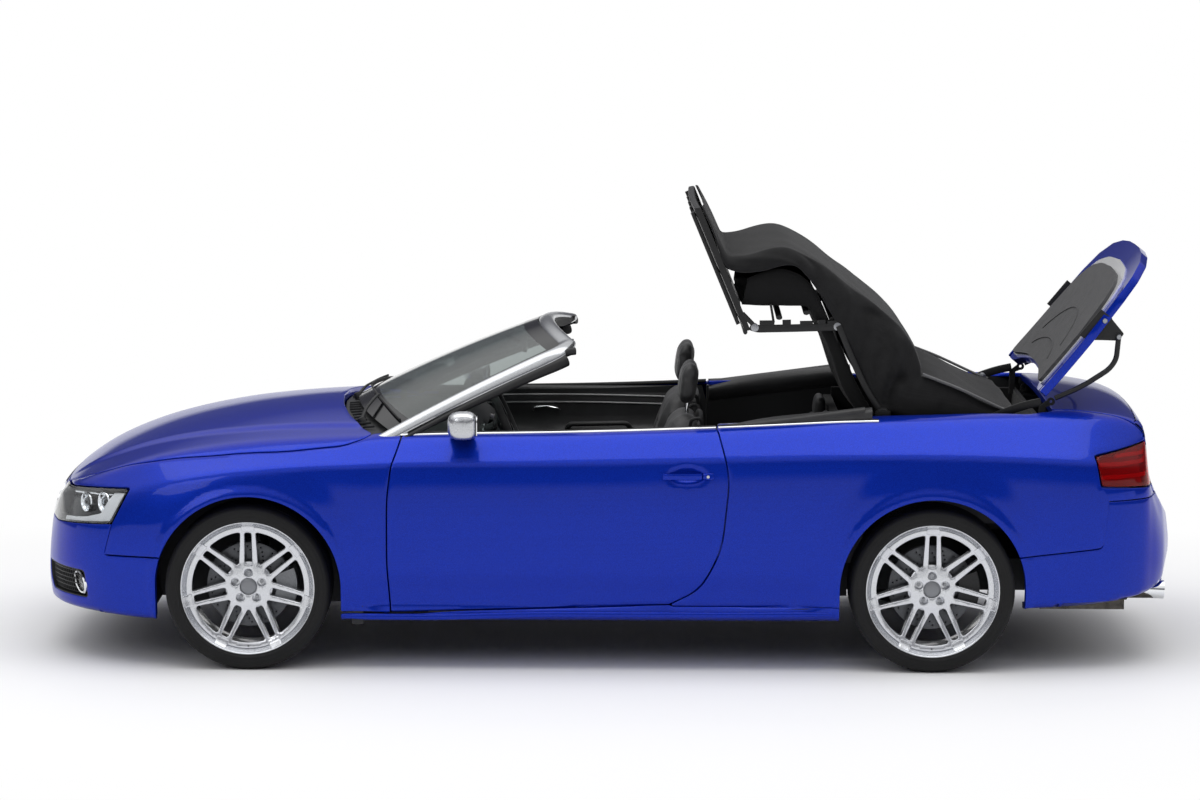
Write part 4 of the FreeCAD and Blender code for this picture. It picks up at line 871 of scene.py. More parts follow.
# ------------------------------------------------------------------ wheels
# Cast aluminium wheels with seven pairs of spokes, turned and lacquered, under low tyres, with a
# drilled iron disc behind. Each is modelled about its own axle with the outer face towards +Y.

WHEEL_Y = 0.785
SPOKE_PAIRS = 7
LUG_BOLTS = 5
LUG_CIRCLE = 0.056
FACE_RADIUS = 0.2475
FACE_PROFILE = ([0.0, 0.034, 0.060, 0.085, 0.105, 0.150, 0.200, 0.232, 0.2475],
                [0.081, 0.081, 0.0815, 0.079, 0.077, 0.082, 0.0925, 0.1010, 0.1040])
RIM_PROFILE = [(0.2500, 0.1020), (0.2520, 0.1085), (0.2600, 0.1180), (0.2660, 0.1262), (0.2700, 0.1262),
               (0.2718, 0.1225), (0.2718, 0.1180), (0.2600, 0.1120), (0.2510, 0.0870), (0.2500, 0.0600),
               (0.2500, -0.0865), (0.2590, -0.1120), (0.2718, -0.1180), (0.2718, -0.1240), (0.2650, -0.1240),
               (0.2420, -0.0980), (0.2400, 0.0400), (0.2300, 0.0760), (0.2320, 0.0900), (0.2450, 0.0960)]
TYRE_PROFILE = [(0.2640, 0.1210), (0.2700, 0.1275), (0.2760, 0.1290), (0.2790, 0.1322), (0.2840, 0.1322),
                (0.2865, 0.1296), (0.2960, 0.1306), (0.3080, 0.1286), (0.3095, 0.1268), (0.3110, 0.1276),
                (0.3200, 0.1225), (0.3280, 0.1120), (0.3322, 0.0980), (0.3332, 0.0800)]
TREAD_GROOVES = (0.074, 0.030, -0.012, -0.062)
GROOVE_HALF_WIDTH, GROOVE_DEPTH = 0.0045, 0.0070
TREAD_RADIUS = 0.3333


def turned(profile, segments=96, closed=True):
    """Points and faces of a (radius, y) profile turned about the Y axis."""
    points, faces, n = [], [], len(profile)
    for k in range(segments):
        a = 2 * math.pi * k / segments
        points += [Vector((r * math.cos(a), y, r * math.sin(a))) for r, y in profile]
    for k in range(segments):
        a, b = k * n, (k + 1) % segments * n
        faces += [(a + i, a + (i + 1) % n, b + (i + 1) % n, b + i) for i in range(n if closed else n - 1)]
    return points, faces


class Turned:
    """A surface of revolution about the Y axis that a panel can be cut from."""

    def __init__(self, radii, heights):
        self.radii, self.heights = radii, heights

    def flat(self, place):
        return (place[0], place[2])

    def place(self, u, v):
        r = max(math.hypot(u, v), 1e-6)
        low, high = np.interp([r - 0.001, r + 0.001], self.radii, self.heights)
        slope = (high - low) / 0.002
        normal = Vector((-slope * u / r, 1, -slope * v / r)).normalized()
        return Vector((u, float(np.interp(r, self.radii, self.heights)), v)), normal


def made_loose(name, points, faces, finish, smooth_angle=40):
    """A mesh object that isn't dressed yet, with its normals turned outwards."""
    made = new_object(name, points, faces, finish, smooth_angle, body=None)
    tidy(made, smooth_angle, outward=True)
    return made


def joined(name, pieces, body, replaces=(), place=None):
    """One piece made of several finished meshes, each with its own finishes, moved by a matrix."""
    mesh = bpy.data.meshes.new(name)
    work = bmesh.new()
    for piece in pieces:
        first = len(work.faces)
        work.from_mesh(piece.data)
        index = []
        for finish in piece.data.materials:
            if finish.name not in mesh.materials:
                mesh.materials.append(finish)
            index.append(mesh.materials.find(finish.name))
        work.faces.ensure_lookup_table()
        for face in work.faces[first:]:
            face.material_index = index[face.material_index]
        bpy.data.objects.remove(piece)
    work.to_mesh(mesh)
    work.free()
    made = put(name, mesh)
    if place:
        mesh.transform(place)
    if body:
        dress(made, body, replaces)
    return made


def bake(made):
    """Applies an object's modifiers and takes them off."""
    bpy.context.view_layer.update()
    result = bpy.data.meshes.new_from_object(made.evaluated_get(bpy.context.evaluated_depsgraph_get()))
    made.modifiers.clear()
    made.data = result


def copies_tree():
    """Geometry Nodes that set a shape on every point of a mesh, turned by the point's own angles."""
    tree = bpy.data.node_groups.new("copies_on_points", "GeometryNodeTree")
    for name, kind in (("Points", "NodeSocketGeometry"), ("Shape", "NodeSocketObject"),
                       ("Size", "NodeSocketFloat"), ("Finish", "NodeSocketMaterial")):
        tree.interface.new_socket(name, in_out="INPUT", socket_type=kind)
    tree.interface.new_socket("Copies", in_out="OUTPUT", socket_type="NodeSocketGeometry")
    given = add(tree, "NodeGroupInput").outputs
    shape = add(tree, "GeometryNodeObjectInfo", {"As Instance": True}, {"Object": given["Shape"]})
    turn = add(tree, "GeometryNodeInputNamedAttribute", {"data_type": "FLOAT_VECTOR", "Name": "turn"})
    angles = add(tree, "FunctionNodeEulerToRotation", links={0: turn.outputs["Attribute"]})
    copies = add(tree, "GeometryNodeInstanceOnPoints", links={
        "Points": given["Points"], "Instance": shape.outputs["Geometry"], "Rotation": angles.outputs[0],
        "Scale": given["Size"]})
    real = add(tree, "GeometryNodeRealizeInstances", links={0: copies.outputs[0]})
    finished = add(tree, "GeometryNodeSetMaterial",
                   links={"Geometry": real.outputs[0], "Material": given["Finish"]})
    add(tree, "NodeGroupOutput", links={0: finished.outputs[0]})
    return tree


COPIES = copies_tree()


def copies(name, shape, places, finish, size=1.0, smooth_angle=40):
    """A loose mesh of a shape repeated at places: a point and a turn in angles about X, Y and Z."""
    mesh = bpy.data.meshes.new(name)
    mesh.from_pydata([tuple(p) for p, _ in places], [], [])
    turns = mesh.attributes.new("turn", "FLOAT_VECTOR", "POINT")
    turns.data.foreach_set("vector", [c for _, turn in places for c in turn])
    made = put(name, mesh)
    change = made.modifiers.new("copies", "NODES")
    change.node_group = COPIES
    values = {"Shape": shape, "Size": size, "Finish": finish}
    for item in COPIES.interface.items_tree:
        if item.in_out == "INPUT" and item.name in values:
            change[item.identifier] = values[item.name]
    bake(made)
    bpy.data.objects.remove(shape)
    tidy(made, smooth_angle)
    return made


def turned_metal():
    """Lacquered cast aluminium, turned on its face, with a fine cast grain in its roughness and relief."""
    metal = material("lacquered_turned_aluminium", Base_Color=linear("D2D4D8"), Metallic=0.85, Roughness=0.24,
                     Coat_Weight=0.6, Coat_Roughness=0.06)
    # the cast surface's grain is 0.4 mm, drawn at 1 mm
    grain = pattern(metal, "Noise", Scale=900.0, Detail=2.0)
    roughened(metal, grain, 0.20, 0.32)
    embossed(metal, grain, 0.08, 0.0004)
    return metal


def tyre_rubber():
    """Black carbon-filled rubber with a soft bloom and moulded rings on the side wall."""
    rubber = material("moulded_black_tyre_rubber", Base_Color=linear("121213"), Roughness=0.66,
                      Specular_IOR_Level=0.3)
    tinted(rubber, pattern(rubber, "Noise", Scale=14.0, Detail=4.0), "0D0D0E", "181819")
    embossed(rubber, pattern(rubber, "Noise", Scale=700.0, Detail=2.0), 0.15, 0.0004)
    return rubber


RIM_METAL = turned_metal()
RUBBER = tyre_rubber()
# grey iron, turned and drilled: dull bright where the pads sweep
DISC_IRON = speckled("turned_grey_iron", "4C4D50", "66686B", 0.42, 420.0, 0.0003, metallic=0.9)
# zinc plated steel bolts
BOLT_STEEL = speckled("zinc_plated_steel", "8A8C90", "B4B6BA", 0.35, 300.0, 0.0002, metallic=1.0)
CAP_PLASTIC = speckled("grey_painted_hub_cap", "7A7C80", "8A8C90", 0.35, 500.0, 0.0001, metallic=0.4)


def circle(radius, n=64, centre=(0, 0)):
    steps = np.linspace(0, 2 * math.pi, n, endpoint=False)
    return [Vector((centre[0] + radius * math.cos(a), 0, centre[1] + radius * math.sin(a))) for a in steps]


def wheel_windows():
    """The openings in the wheel's face: one inside each pair of spokes, and one between pairs."""
    windows = []
    for k in range(SPOKE_PAIRS):
        axis = math.pi / 2 + 2 * math.pi * k / SPOKE_PAIRS
        d, t = Vector((math.cos(axis), 0, math.sin(axis))), Vector((-math.sin(axis), 0, math.cos(axis)))
        corners = [(0.089, 0.0160), (0.089, -0.0160), (0.150, -0.0148), (0.221, -0.0140), (0.221, 0.0140),
                   (0.150, 0.0148)]
        windows.append(rounded([d * r + t * o for r, o in corners], [0.015, 0.015, 0, 0.006, 0.006, 0]))
        axis += math.pi / SPOKE_PAIRS
        d, t = Vector((math.cos(axis), 0, math.sin(axis))), Vector((-math.sin(axis), 0, math.cos(axis)))
        span = math.radians(17.9)
        arc = [d * 0.2245 * math.cos(a) + t * 0.2245 * math.sin(a) for a in np.linspace(-span, span, 9)]
        ring = [d * 0.088] + arc
        windows.append(rounded(ring, [0.016, 0.009] + [0] * 7 + [0.009]))
    return windows


def wheel_face():
    face = Turned(*FACE_PROFILE)
    bolts = []
    for k in range(LUG_BOLTS):
        a = math.pi / 2 + 2 * math.pi * k / LUG_BOLTS
        bolts.append((LUG_CIRCLE * math.cos(a), LUG_CIRCLE * math.sin(a)))
    holes = wheel_windows() + [circle(0.0172, 24, b) for b in bolts] + [circle(0.0345, 40)]
    plate = panel("wheel_face", face, circle(FACE_RADIUS, 160), RIM_METAL, holes=holes, spacing=0.0110,
                  depth=0.034, edge=0.0032, body=None)
    blocks = []
    for k in range(SPOKE_PAIRS):
        axis = math.pi / 2 + 2 * math.pi * k / SPOKE_PAIRS
        d, t = Vector((math.cos(axis), 0, math.sin(axis))), Vector((-math.sin(axis), 0, math.cos(axis)))
        ring = rounded([d * 0.2275 + t * 0.027, d * 0.2275 - t * 0.027, d * 0.2620 - t * 0.024,
                        d * 0.2620 + t * 0.024], 0.004)
        rise = Turned([0.22, 0.2480, 0.2640], [0.1005, 0.1075, 0.1250])
        blocks.append(panel("spoke_end", rise, ring, RIM_METAL, spacing=0.008, depth=0.010, edge=0.002,
                            body=None))
    bolt_shape = made_loose("bolt",
                            *turned([(0, -0.004), (0.0085, -0.004), (0.0085, 0.007), (0.0075, 0.009),
                                     (0.004, 0.009), (0.0035, 0.004), (0, 0.004)], 6, closed=False),
                            BOLT_STEEL)
    bolt_heads = copies("bolt_heads", bolt_shape, [(Vector((x, 0.056, z)), (0, 0, 0)) for x, z in bolts],
                        BOLT_STEEL)
    hub = made_loose("hub", *turned([(0, 0.032), (0.096, 0.032), (0.096, 0.046), (0.080, 0.054),
                                     (0, 0.054)], 64, closed=False), RIM_METAL)
    cap = made_loose("cap", *turned([(0, 0.0790), (0.020, 0.0785), (0.0315, 0.0765), (0.0332, 0.0745),
                                     (0.0332, 0.060), (0, 0.060)], 48, closed=False), CAP_PLASTIC)
    barrel = made_loose("barrel", *turned([tuple(p) for p in rounded(RIM_PROFILE, 0.002, steps=3)], 96),
                        RIM_METAL, 30)
    valve = made_loose("valve", *turned([(0, 0.090), (0.0035, 0.090), (0.0035, 0.106), (0.0028, 0.1075),
                                         (0, 0.1075)], 10, closed=False), BLACK_TRIM)
    valve.data.transform(Matrix.Translation((0, 0, -0.238)))
    return [plate, bolt_heads, hub, cap, barrel, valve] + blocks


def tyre_section():
    """Half-open outer profile of the tyre, from bead to bead over the grooved tread."""
    side = [tuple(p) for p in rounded(TYRE_PROFILE, 0.0022, closed=False, steps=2)]
    tread = []
    for y in TREAD_GROOVES:
        w, d = GROOVE_HALF_WIDTH, GROOVE_DEPTH
        tread += [(TREAD_RADIUS, y + w), (TREAD_RADIUS - d, y + 0.7 * w), (TREAD_RADIUS - d, y - 0.7 * w),
                  (TREAD_RADIUS, y - w)]
    far = [(r, -y) for r, y in reversed(side)]
    return side + tread + far + [(0.2510, -0.1000), (0.2510, 0.1000)]


def brake_disc():
    flat = Turned([0.0, 0.2], [0.018, 0.018])
    holes = [circle(0.097, 40)]
    for k in range(18):
        for row, r in enumerate((0.110, 0.125, 0.140, 0.155)):
            a = 2 * math.pi * (k + row * 0.22) / 18
            holes.append(circle(0.0034, 7, (r * math.cos(a), r * math.sin(a))))
    plate = panel("disc_plate", flat, circle(0.1718, 96), DISC_IRON, holes=holes, spacing=0.016, depth=0.030,
                  edge=0.001, body=None)
    hat = made_loose("disc_hat",
                     *turned([(0.036, 0.0298), (0.0800, 0.0298), (0.0880, 0.0240), (0.0985, 0.0160),
                              (0.0985, -0.0110), (0.0780, 0.0200), (0.036, 0.0200)], 64), DISC_IRON)
    return [plate, hat]


PAIRS = []
for side, s in (("right", 1), ("left", -1)):
    for end, x in (("front", FRONT_AXLE_X), ("rear", REAR_AXLE_X)):
        PAIRS.append((end, side, x, s))
moulds = {"rim": joined("wheel_mould", wheel_face(), None),
          "tyre": made_loose("tyre_mould", *turned(tyre_section(), 96), RUBBER, 35),
          "disc": joined("disc_mould", brake_disc(), None)}
for end, side, x, s in PAIRS:
    for kind, mould in moulds.items():
        mesh = mould.data.copy()
        if s < 0:
            mesh.transform(Matrix.Scale(-1, 4, (0, 1, 0)))
            mesh.flip_normals()
        mesh.transform(Matrix.Translation((x, s * WHEEL_Y, AXLE_Z)))
        piece = bpy.data.objects.new(f"{kind}_casting_{end}_{side}" if kind != "tyre"
                                     else f"tyre_body_{end}_{side}", mesh)
        bpy.context.scene.collection.objects.link(piece)
        dress(piece, f"wheel_{end}_{side}", (f"{kind}_{end}_{side}",))
for mould in moulds.values():
    bpy.data.objects.remove(mould)

# ------------------------------------------------------------------ headlamps
# A clear polycarbonate cover over a black housing with two chromed projector units and a white
# light guide along the lower edge that widens up the rear.


def swept(path, section, up=(0, 0, 1), closed=False):
    """Points and faces of a section carried along a path; up is one direction, or one for each point."""
    path = [Vector(p) for p in path]
    n, m = len(path), len(section)
    points, faces = [], []
    for k, p in enumerate(path):
        before = path[k - 1] if k or closed else path[0]
        after = path[(k + 1) % n] if k < n - 1 or closed else path[-1]
        side = (after - before).normalized().cross(Vector(up[k]) if isinstance(up, list)
                                                   else Vector(up)).normalized()
        top = side.cross((after - before).normalized())
        points += [p + side * a + top * b for a, b in section]
    for k in range(n if closed else n - 1):
        a, b = k * m, (k + 1) % n * m
        faces += [(a + i, a + (i + 1) % m, b + (i + 1) % m, b + i) for i in range(m)]
    if not closed:
        faces += [tuple(range(m)), tuple(range((n - 1) * m, n * m))]
    return points, faces


def oval(width, height, n=12, drop=0.0):
    """An elliptical section."""
    steps = np.linspace(0, 2 * math.pi, n, endpoint=False)
    return [(width / 2 * math.cos(a), height / 2 * math.sin(a) - drop) for a in steps]


def slab(width, height, radius=0.002, drop=0.0):
    """A rounded rectangular section."""
    w, h = width / 2, height / 2
    corners = [(w, h, 0), (-w, h, 0), (-w, -h, 0), (w, -h, 0)]
    return [(p.x, p.y - drop) for p in rounded(corners, radius, steps=3)]


def aimed(points, place, direction):
    """Points modelled about the Y axis, moved so that +Y looks along a direction."""
    turn = Vector((0, 1, 0)).rotation_difference(Vector(direction).normalized()).to_matrix()
    return [turn @ Vector(p) + Vector(place) for p in points]


def carried(name, finish, path, section, up=(0, 0, 1), closed=False, smooth_angle=40):
    """A loose piece of one section along a path."""
    return made_loose(name, *swept(path, section, up, closed), finish, smooth_angle)


def spun(name, finish, shape, place, direction=(0, 1, 0)):
    """A loose piece turned about the Y axis, moved so that +Y looks along a direction."""
    return made_loose(name, aimed(shape[0], place, direction), shape[1], finish)


def wall(name, wrap, outline, near, far, finish, thickness=0.002, spacing=0.008):
    """The side wall of a recess: it follows an outline of the body from one depth to another."""
    outside = loop_of(wrap, outline, spacing)
    inside_ring = drawn_in(outside, thickness)
    points, n = [], len(outside)
    for ring, sunk in ((outside, near), (outside, far), (inside_ring, far), (inside_ring, near)):
        for u, v in ring:
            place, normal = wrap.place(u, v)
            points.append(place - normal * sunk)
    faces = []
    for a, b in ((0, 1), (1, 2), (2, 3), (3, 0)):
        faces += [(a * n + k, a * n + (k + 1) % n, b * n + (k + 1) % n, b * n + k) for k in range(n)]
    return made_loose(name, points, faces, finish)


def on_line(name, wrap, outline, finish, section, sunk=0.0, closed=True, spacing=0.010):
    """A trim strip laid along a line of the body, its section's up side away from the body."""
    if closed:
        flat = loop_of(wrap, outline, spacing)
    else:
        flat = [wrap.flat(p) for p in outline]
    places = [wrap.place(u, v) for u, v in flat]
    return carried(name, finish, [p - n * sunk for p, n in places], section, [n for _, n in places], closed)


CLEAR_COVER = material("clear_polycarbonate", Base_Color=linear("F4F6F8"), Roughness=0.02, IOR=1.3,
                       Transmission_Weight=1.0)
# vacuum metallised reflector: a mirror with a faint orange peel
CHROME = speckled("chromed_plastic", "E4E6E8", "EEF0F2", 0.06, 240.0, 0.0001, metallic=1.0, spread=0.02)
HOUSING_BLACK = speckled("satin_black_lamp_housing", "08090A", "0E0F11", 0.45, 320.0, 0.0002)


# a wave texture of scale 1 repeats after this many metres
WAVE_PITCH = 0.314


def fluted_with_painted_highlights(name, base, light, pitch, roughness, axis="X"):
    """A moulded optic: fine flutes at a pitch in metres, raised in relief, each coloured from base to light
    across its width: painted highlight lines.
    """
    made = material(name, Roughness=roughness)
    waves = pattern(made, "Wave", wave_type="BANDS", bands_direction=axis, Scale=WAVE_PITCH / pitch,
                    Distortion=0.0)
    # the colour runs from base to light across each flute: painted highlight lines
    tinted(made, waves, base, light)
    embossed(made, waves, 0.5, 0.0008)
    return made


# the light guide's flutes are 4 mm apart, each with a painted highlight in white over pale grey
LIGHT_GUIDE = fluted_with_painted_highlights("fluted_white_light_guide", "C4C8CC", "FFFFFF", 0.004, 0.25)


def lamp_unit(place, direction, radius):
    """A chromed bowl with a black shade below and a glass ball lens."""
    bowl = [(radius, 0.0), (radius + 0.003, 0.002), (radius + 0.005, -0.004), (radius * 0.55, -0.042),
            (0.0, -0.046), (0.0, -0.042), (radius * 0.5, -0.038), (radius - 0.002, -0.004)]
    ball = [(0.0, 0.004)] + [(radius * 0.62 * math.sin(a), 0.004 + radius * 0.62 * (math.cos(a) - 1))
                             for a in np.linspace(0.2, 1.57, 8)] + [(radius * 0.55, -0.036), (0.0, -0.036)]
    shade = [(radius * 0.66, -0.020), (radius * 0.74, -0.018), (radius * 0.74, -0.030),
             (radius * 0.66, -0.030)]
    return [spun("bowl", CHROME, turned(bowl, 40), place, direction),
            spun("ball_lens", CLEAR_COVER, turned(ball, 32, closed=False), place, direction),
            spun("shade", HOUSING_BLACK, turned(shade, 32), place, direction)]


def headlamp():
    rim = chain(NOSE, headlamp_corners(), radius=0.012)
    inner = chain(NOSE, headlamp_corners(-0.004), radius=0.011)
    pieces = [panel("cover", NOSE, rim, CLEAR_COVER, spacing=0.020, depth=0.0035, edge=0.0012, body=None),
              panel("housing", NOSE, inner, HOUSING_BLACK, spacing=0.016, depth=0.003, lift=-0.060,
                    body=None), wall("housing_wall", NOSE, inner, 0.006, 0.062, HOUSING_BLACK),
              on_line("cover_edge", NOSE, inner, HOUSING_BLACK, slab(0.007, 0.003, 0.001), sunk=0.0052)]
    guide = [seen_from("side", x, z) for x, z in ((-2.222, 0.586), (-2.120, 0.602), (-2.055, 0.622),
                                                  (-2.000, 0.712), (-1.948, 0.716), (-2.014, 0.594),
                                                  (-2.062, 0.586), (-2.228, 0.567))]
    pieces.append(panel("light_guide", NOSE, chain(NOSE, guide, radius=0.010), LIGHT_GUIDE, spacing=0.009,
                        depth=0.012, lift=-0.016, edge=0.003, body=None))
    brow = [seen_from("side", x, z) for x, z in ((-2.190, 0.690), (-1.990, 0.712), (-1.996, 0.704),
                                                 (-2.190, 0.681))]
    pieces.append(panel("brow", NOSE, chain(NOSE, brow, radius=0.002), CHROME, spacing=0.008, depth=0.010,
                        lift=-0.020, edge=0.001, body=None))
    for x, z, radius in ((-2.150, 0.646, 0.036), (-2.070, 0.658, 0.038)):
        place = seen_from("side", x, z)
        pieces += lamp_unit(place + Vector((0.030, -0.022, 0.0)), (-0.80, 0.60, 0.05), radius)
    return joined("headlamp_unit_right", pieces, "body", ("headlamp_right",))


other_side(headlamp(), "headlamp_unit_left", "body", ("headlamp_left",))

# ------------------------------------------------------------------ grille and air intakes
# Injection-moulded black plastic: upright bars in a chromed frame in the middle, and an egg-crate
# mesh with a round fog lamp on each side.

GRILLE_BARS = 15
BAR_PITCH = 0.0455
FOG_PLACE = (-2.150, 0.320)
GRILLE_SINK = 0.030
# grained black ABS
GRILLE_BLACK = speckled("grained_black_plastic_grille", "0C0D0E", "17181A", 0.45, 500.0, 0.0002)


def grille_reach(z):
    """The grille's half width at a height."""
    return float(np.interp(z, [0.29, 0.61, 0.668], [0.258, 0.356, 0.320]))


def grille_middle():
    outline = line("front", GRILLE + GRILLE[:1], radius=0.035)
    pieces = [on_line("grille_frame", NOSE, outline, CHROME, slab(0.016, 0.010, 0.004, drop=-0.001),
                      spacing=0.012), wall("grille_wall", NOSE, outline, 0.001, 0.070, GRILLE_BLACK,
                                           thickness=0.004),
              panel("grille_back", NOSE, outline, GRILLE_BLACK, spacing=0.03, depth=0.004, lift=-0.066,
                    body=None)]
    for k in range(GRILLE_BARS):
        y = (k - (GRILLE_BARS - 1) / 2) * BAR_PITCH
        run = [p for p in (seen_from("front", y, z) for z in np.linspace(0.300, 0.660, 13))
               if abs(y) < grille_reach(p.z)]
        if len(run) > 3:
            pieces.append(carried("bar", GRILLE_BLACK, [p + Vector((GRILLE_SINK, 0, 0)) for p in run],
                                  slab(0.007, 0.014, 0.002), (-1, 0, 0)))
    for z in np.linspace(0.335, 0.625, 9):
        reach = grille_reach(z)
        run = [seen_from("front", y, z) + Vector((GRILLE_SINK + 0.010, 0, 0))
               for y in np.linspace(-reach, reach, 14)]
        pieces.append(carried("cross_bar", GRILLE_BLACK, run, slab(0.006, 0.010, 0.002), (-1, 0, 0)))
    return joined("grille_casting", pieces, "body", ("grille",))


def fog_intake():
    """The right-hand intake: walls, an egg-crate mesh and a round fog lamp in a chromed ring."""
    outline = chain(NOSE, intake_corners(-0.001), radius=0.02)
    pieces = [wall("intake_wall", NOSE, outline, 0.002, 0.075, GRILLE_BLACK, thickness=0.003),
              panel("intake_back", NOSE, outline, GRILLE_BLACK, spacing=0.02, depth=0.003, lift=-0.072,
                    body=None)]
    flat = np.array([NOSE.flat(p) for p in outline])
    low, high = flat.min(axis=0), flat.max(axis=0)
    ring = loop_of(NOSE, outline, 0.01)
    uprights = [(np.full(14, u), np.linspace(low[1], high[1], 14))
                for u in np.arange(low[0] + 0.012, high[0], 0.020)]
    rungs = [(np.linspace(low[0], high[0], 30), np.full(30, v))
             for v in np.arange(low[1] + 0.010, high[1], 0.019)]
    for bar in uprights + rungs:
        kept = np.stack(bar, axis=1)
        kept = kept[inside(kept, ring)]
        if len(kept) < 3:
            continue
        places = [NOSE.place(u, v) for u, v in kept]
        pieces.append(carried("mesh_bar", GRILLE_BLACK, [p - n * 0.020 for p, n in places],
                            slab(0.0035, 0.012, 0.001), [n for _, n in places]))
    middle, normal = NOSE.place(*NOSE.flat(seen_from("side", *FOG_PLACE)))
    aim = (normal + Vector((-0.5, 0, 0))).normalized()
    centre = middle - normal * 0.014
    rim = [(0.041, 0.006), (0.046, 0.008), (0.051, 0.004), (0.052, -0.020), (0.040, -0.040), (0.038, -0.004)]
    bowl = [(0.039, -0.008), (0.030, -0.032), (0.0, -0.040), (0.0, -0.038), (0.028, -0.029), (0.037, -0.007)]
    glass = [(0.0, 0.004), (0.020, 0.003), (0.0385, -0.002), (0.0385, -0.005), (0.0, -0.001)]
    for name, profile, segments, finish in (("fog_ring", rim, 48, CHROME), ("fog_bowl", bowl, 32, CHROME),
                                            ("fog_glass", glass, 32, CLEAR_COVER)):
        pieces.append(spun(name, finish, turned(profile, segments), centre, aim))
    return joined("intake_mesh_right", pieces, "body", ("fog_grille_right",))


grille_middle()
other_side(fog_intake(), "intake_mesh_left", "body", ("fog_grille_left",))

# ------------------------------------------------------------------ tail lamps
# Red acrylic covers in two parts, one on the quarter and one on the boot lid, over a fluted reflector
# in a darker red for painted shade, crossed by three bars in a lighter red for painted highlights.

RED_COVER = material("clear_red_acrylic", Base_Color=linear("C80C14"), Roughness=0.03, IOR=1.3,
                     Transmission_Weight=0.9)
# one red reflector in two copies: the lighter is painted highlight and the darker painted shade
RED_PAINTED_HIGHLIGHT = fluted_with_painted_highlights("fluted_red_optic_painted_highlight", "C01020", "FF5A50", 0.005, 0.2, "Z")
RED_PAINTED_SHADE = fluted_with_painted_highlights("fluted_red_optic_painted_shade", "700810", "C01420", 0.004, 0.2, "Z")


def tail_lamp_corners(split, grow=0.0):
    """The right tail lamp's corners from the split to the quarter, drawn in by a gap."""
    low, high = (seen_from("back", split, z) for z in TAIL_LAMP_Z)
    front_low, front_high = (seen_from("side", x, z) for x, z in TAIL_LAMP_SIDE)
    return [low + Vector((0, 0, grow)), front_low + Vector((grow, 0, grow)),
            front_high + Vector((grow, 0, -grow)), high - Vector((0, 0, grow))]


def lamp_block(name, corners, body, replaces):
    rim = chain(TAIL, corners, radius=0.010)
    # the lamp's floor is in the darker red: painted shade
    pieces = [panel("cover", TAIL, rim, RED_COVER, spacing=0.020, depth=0.004, edge=0.0015, body=None,
                    lift=-0.0005), wall("lamp_wall", TAIL, rim, 0.005, 0.050, HOUSING_BLACK),
              panel("lamp_floor", TAIL, rim, RED_PAINTED_SHADE, spacing=0.016, depth=0.003, lift=-0.034, body=None)]
    flat = loop_of(TAIL, rim, 0.01)
    low, high = flat.min(axis=0), flat.max(axis=0)
    # three bars across the lamp in the lighter red: painted highlights
    for share, finish in ((0.80, RED_PAINTED_HIGHLIGHT), (0.62, RED_PAINTED_HIGHLIGHT), (0.30, RED_PAINTED_HIGHLIGHT)):
        v = low[1] + (high[1] - low[1]) * share
        run = np.stack([np.linspace(low[0], high[0], 50), np.full(50, v)], axis=1)
        run = run[inside(run, drawn_in(flat, 0.008))]
        places = [TAIL.place(a, b) for a, b in run]
        pieces.append(carried("lamp_band", finish, [p - n * 0.018 for p, n in places],
                              slab(0.018, 0.012, 0.004), [n for _, n in places]))
    return joined(name, pieces, body, replaces)


side_lamp = lamp_block("tail_lamp_unit_right", tail_lamp_corners(LAMP_SPLIT_Y + SHUT_GAP / 2, 0.0015), "body",
                       ("tail_lamp_right",))
other_side(side_lamp, "tail_lamp_unit_left", "body", ("tail_lamp_left",))
lid_corners = [seen_from("back", 0.405, 0.733), seen_from("back", 0.6145, 0.733),
               seen_from("back", 0.6145, 0.914), seen_from("back", 0.405, 0.916)]
lid_lamp = lamp_block("lid_lamp_unit_right", lid_corners, "boot_lid", ("lid_lamp_right",))
other_side(lid_lamp, "lid_lamp_unit_left", "boot_lid", ("lid_lamp_left",))

# ------------------------------------------------------------------ small outside fittings
# Door handles of painted aluminium over their bowls, and satin mirror shells on black feet with
# silvered glass to the rear.

SATIN = speckled("satin_anodised_aluminium", "B9BBBE", "CDCFD2", 0.26, 500.0, 0.0001, metallic=0.95)
MIRROR_SILVER = speckled("silvered_mirror_glass", "D8DADC", "E0E2E4", 0.03, 100.0, 0.00001, metallic=1.0,
                         spread=0.01)


def door_handle():
    """A pull bar that bows out over the bowl in the door, with a lock cover at its rear end."""
    steps = np.linspace(0, 1, 22)
    path = []
    for t in steps:
        base = seen_from("side", 0.219 + 0.150 * t, 0.797)
        base.y = seen_from("side", 0.219, 0.797).y + 0.006 + 0.011 * math.sin(math.pi * t) ** 0.5
        path.append(base)
    pieces = [carried("pull", PAINT, path, slab(0.024, 0.010, 0.004), (0, 1, 0))]
    for x in (0.232, 0.357):
        foot = seen_from("side", x, 0.797)
        pieces.append(carried("pull_foot", PAINT,
                              [foot - Vector((0, 0.02, 0)), foot + Vector((0, 0.008, 0))],
                              slab(0.020, 0.018, 0.004), (0, 0, 1)))
    middle = seen_from("side", 0.397, 0.797)
    outline = rounded([(0.375, 0, 0.784), (0.375, 0, 0.810), (0.420, 0, 0.810), (0.420, 0, 0.784)], 0.008)
    pieces.append(panel("lock_cover", ALONG, [seen_from("side", p.x, p.z) for p in outline], PAINT,
                        spacing=0.006, depth=0.012, lift=0.009, edge=0.003, body=None))
    lock = turned([(0, 0.011), (0.006, 0.011), (0.006, 0.0), (0, 0.0)], 20, False)
    pieces.append(spun("lock", SATIN, lock, middle))
    return joined("door_handle_right", pieces, "door_right")


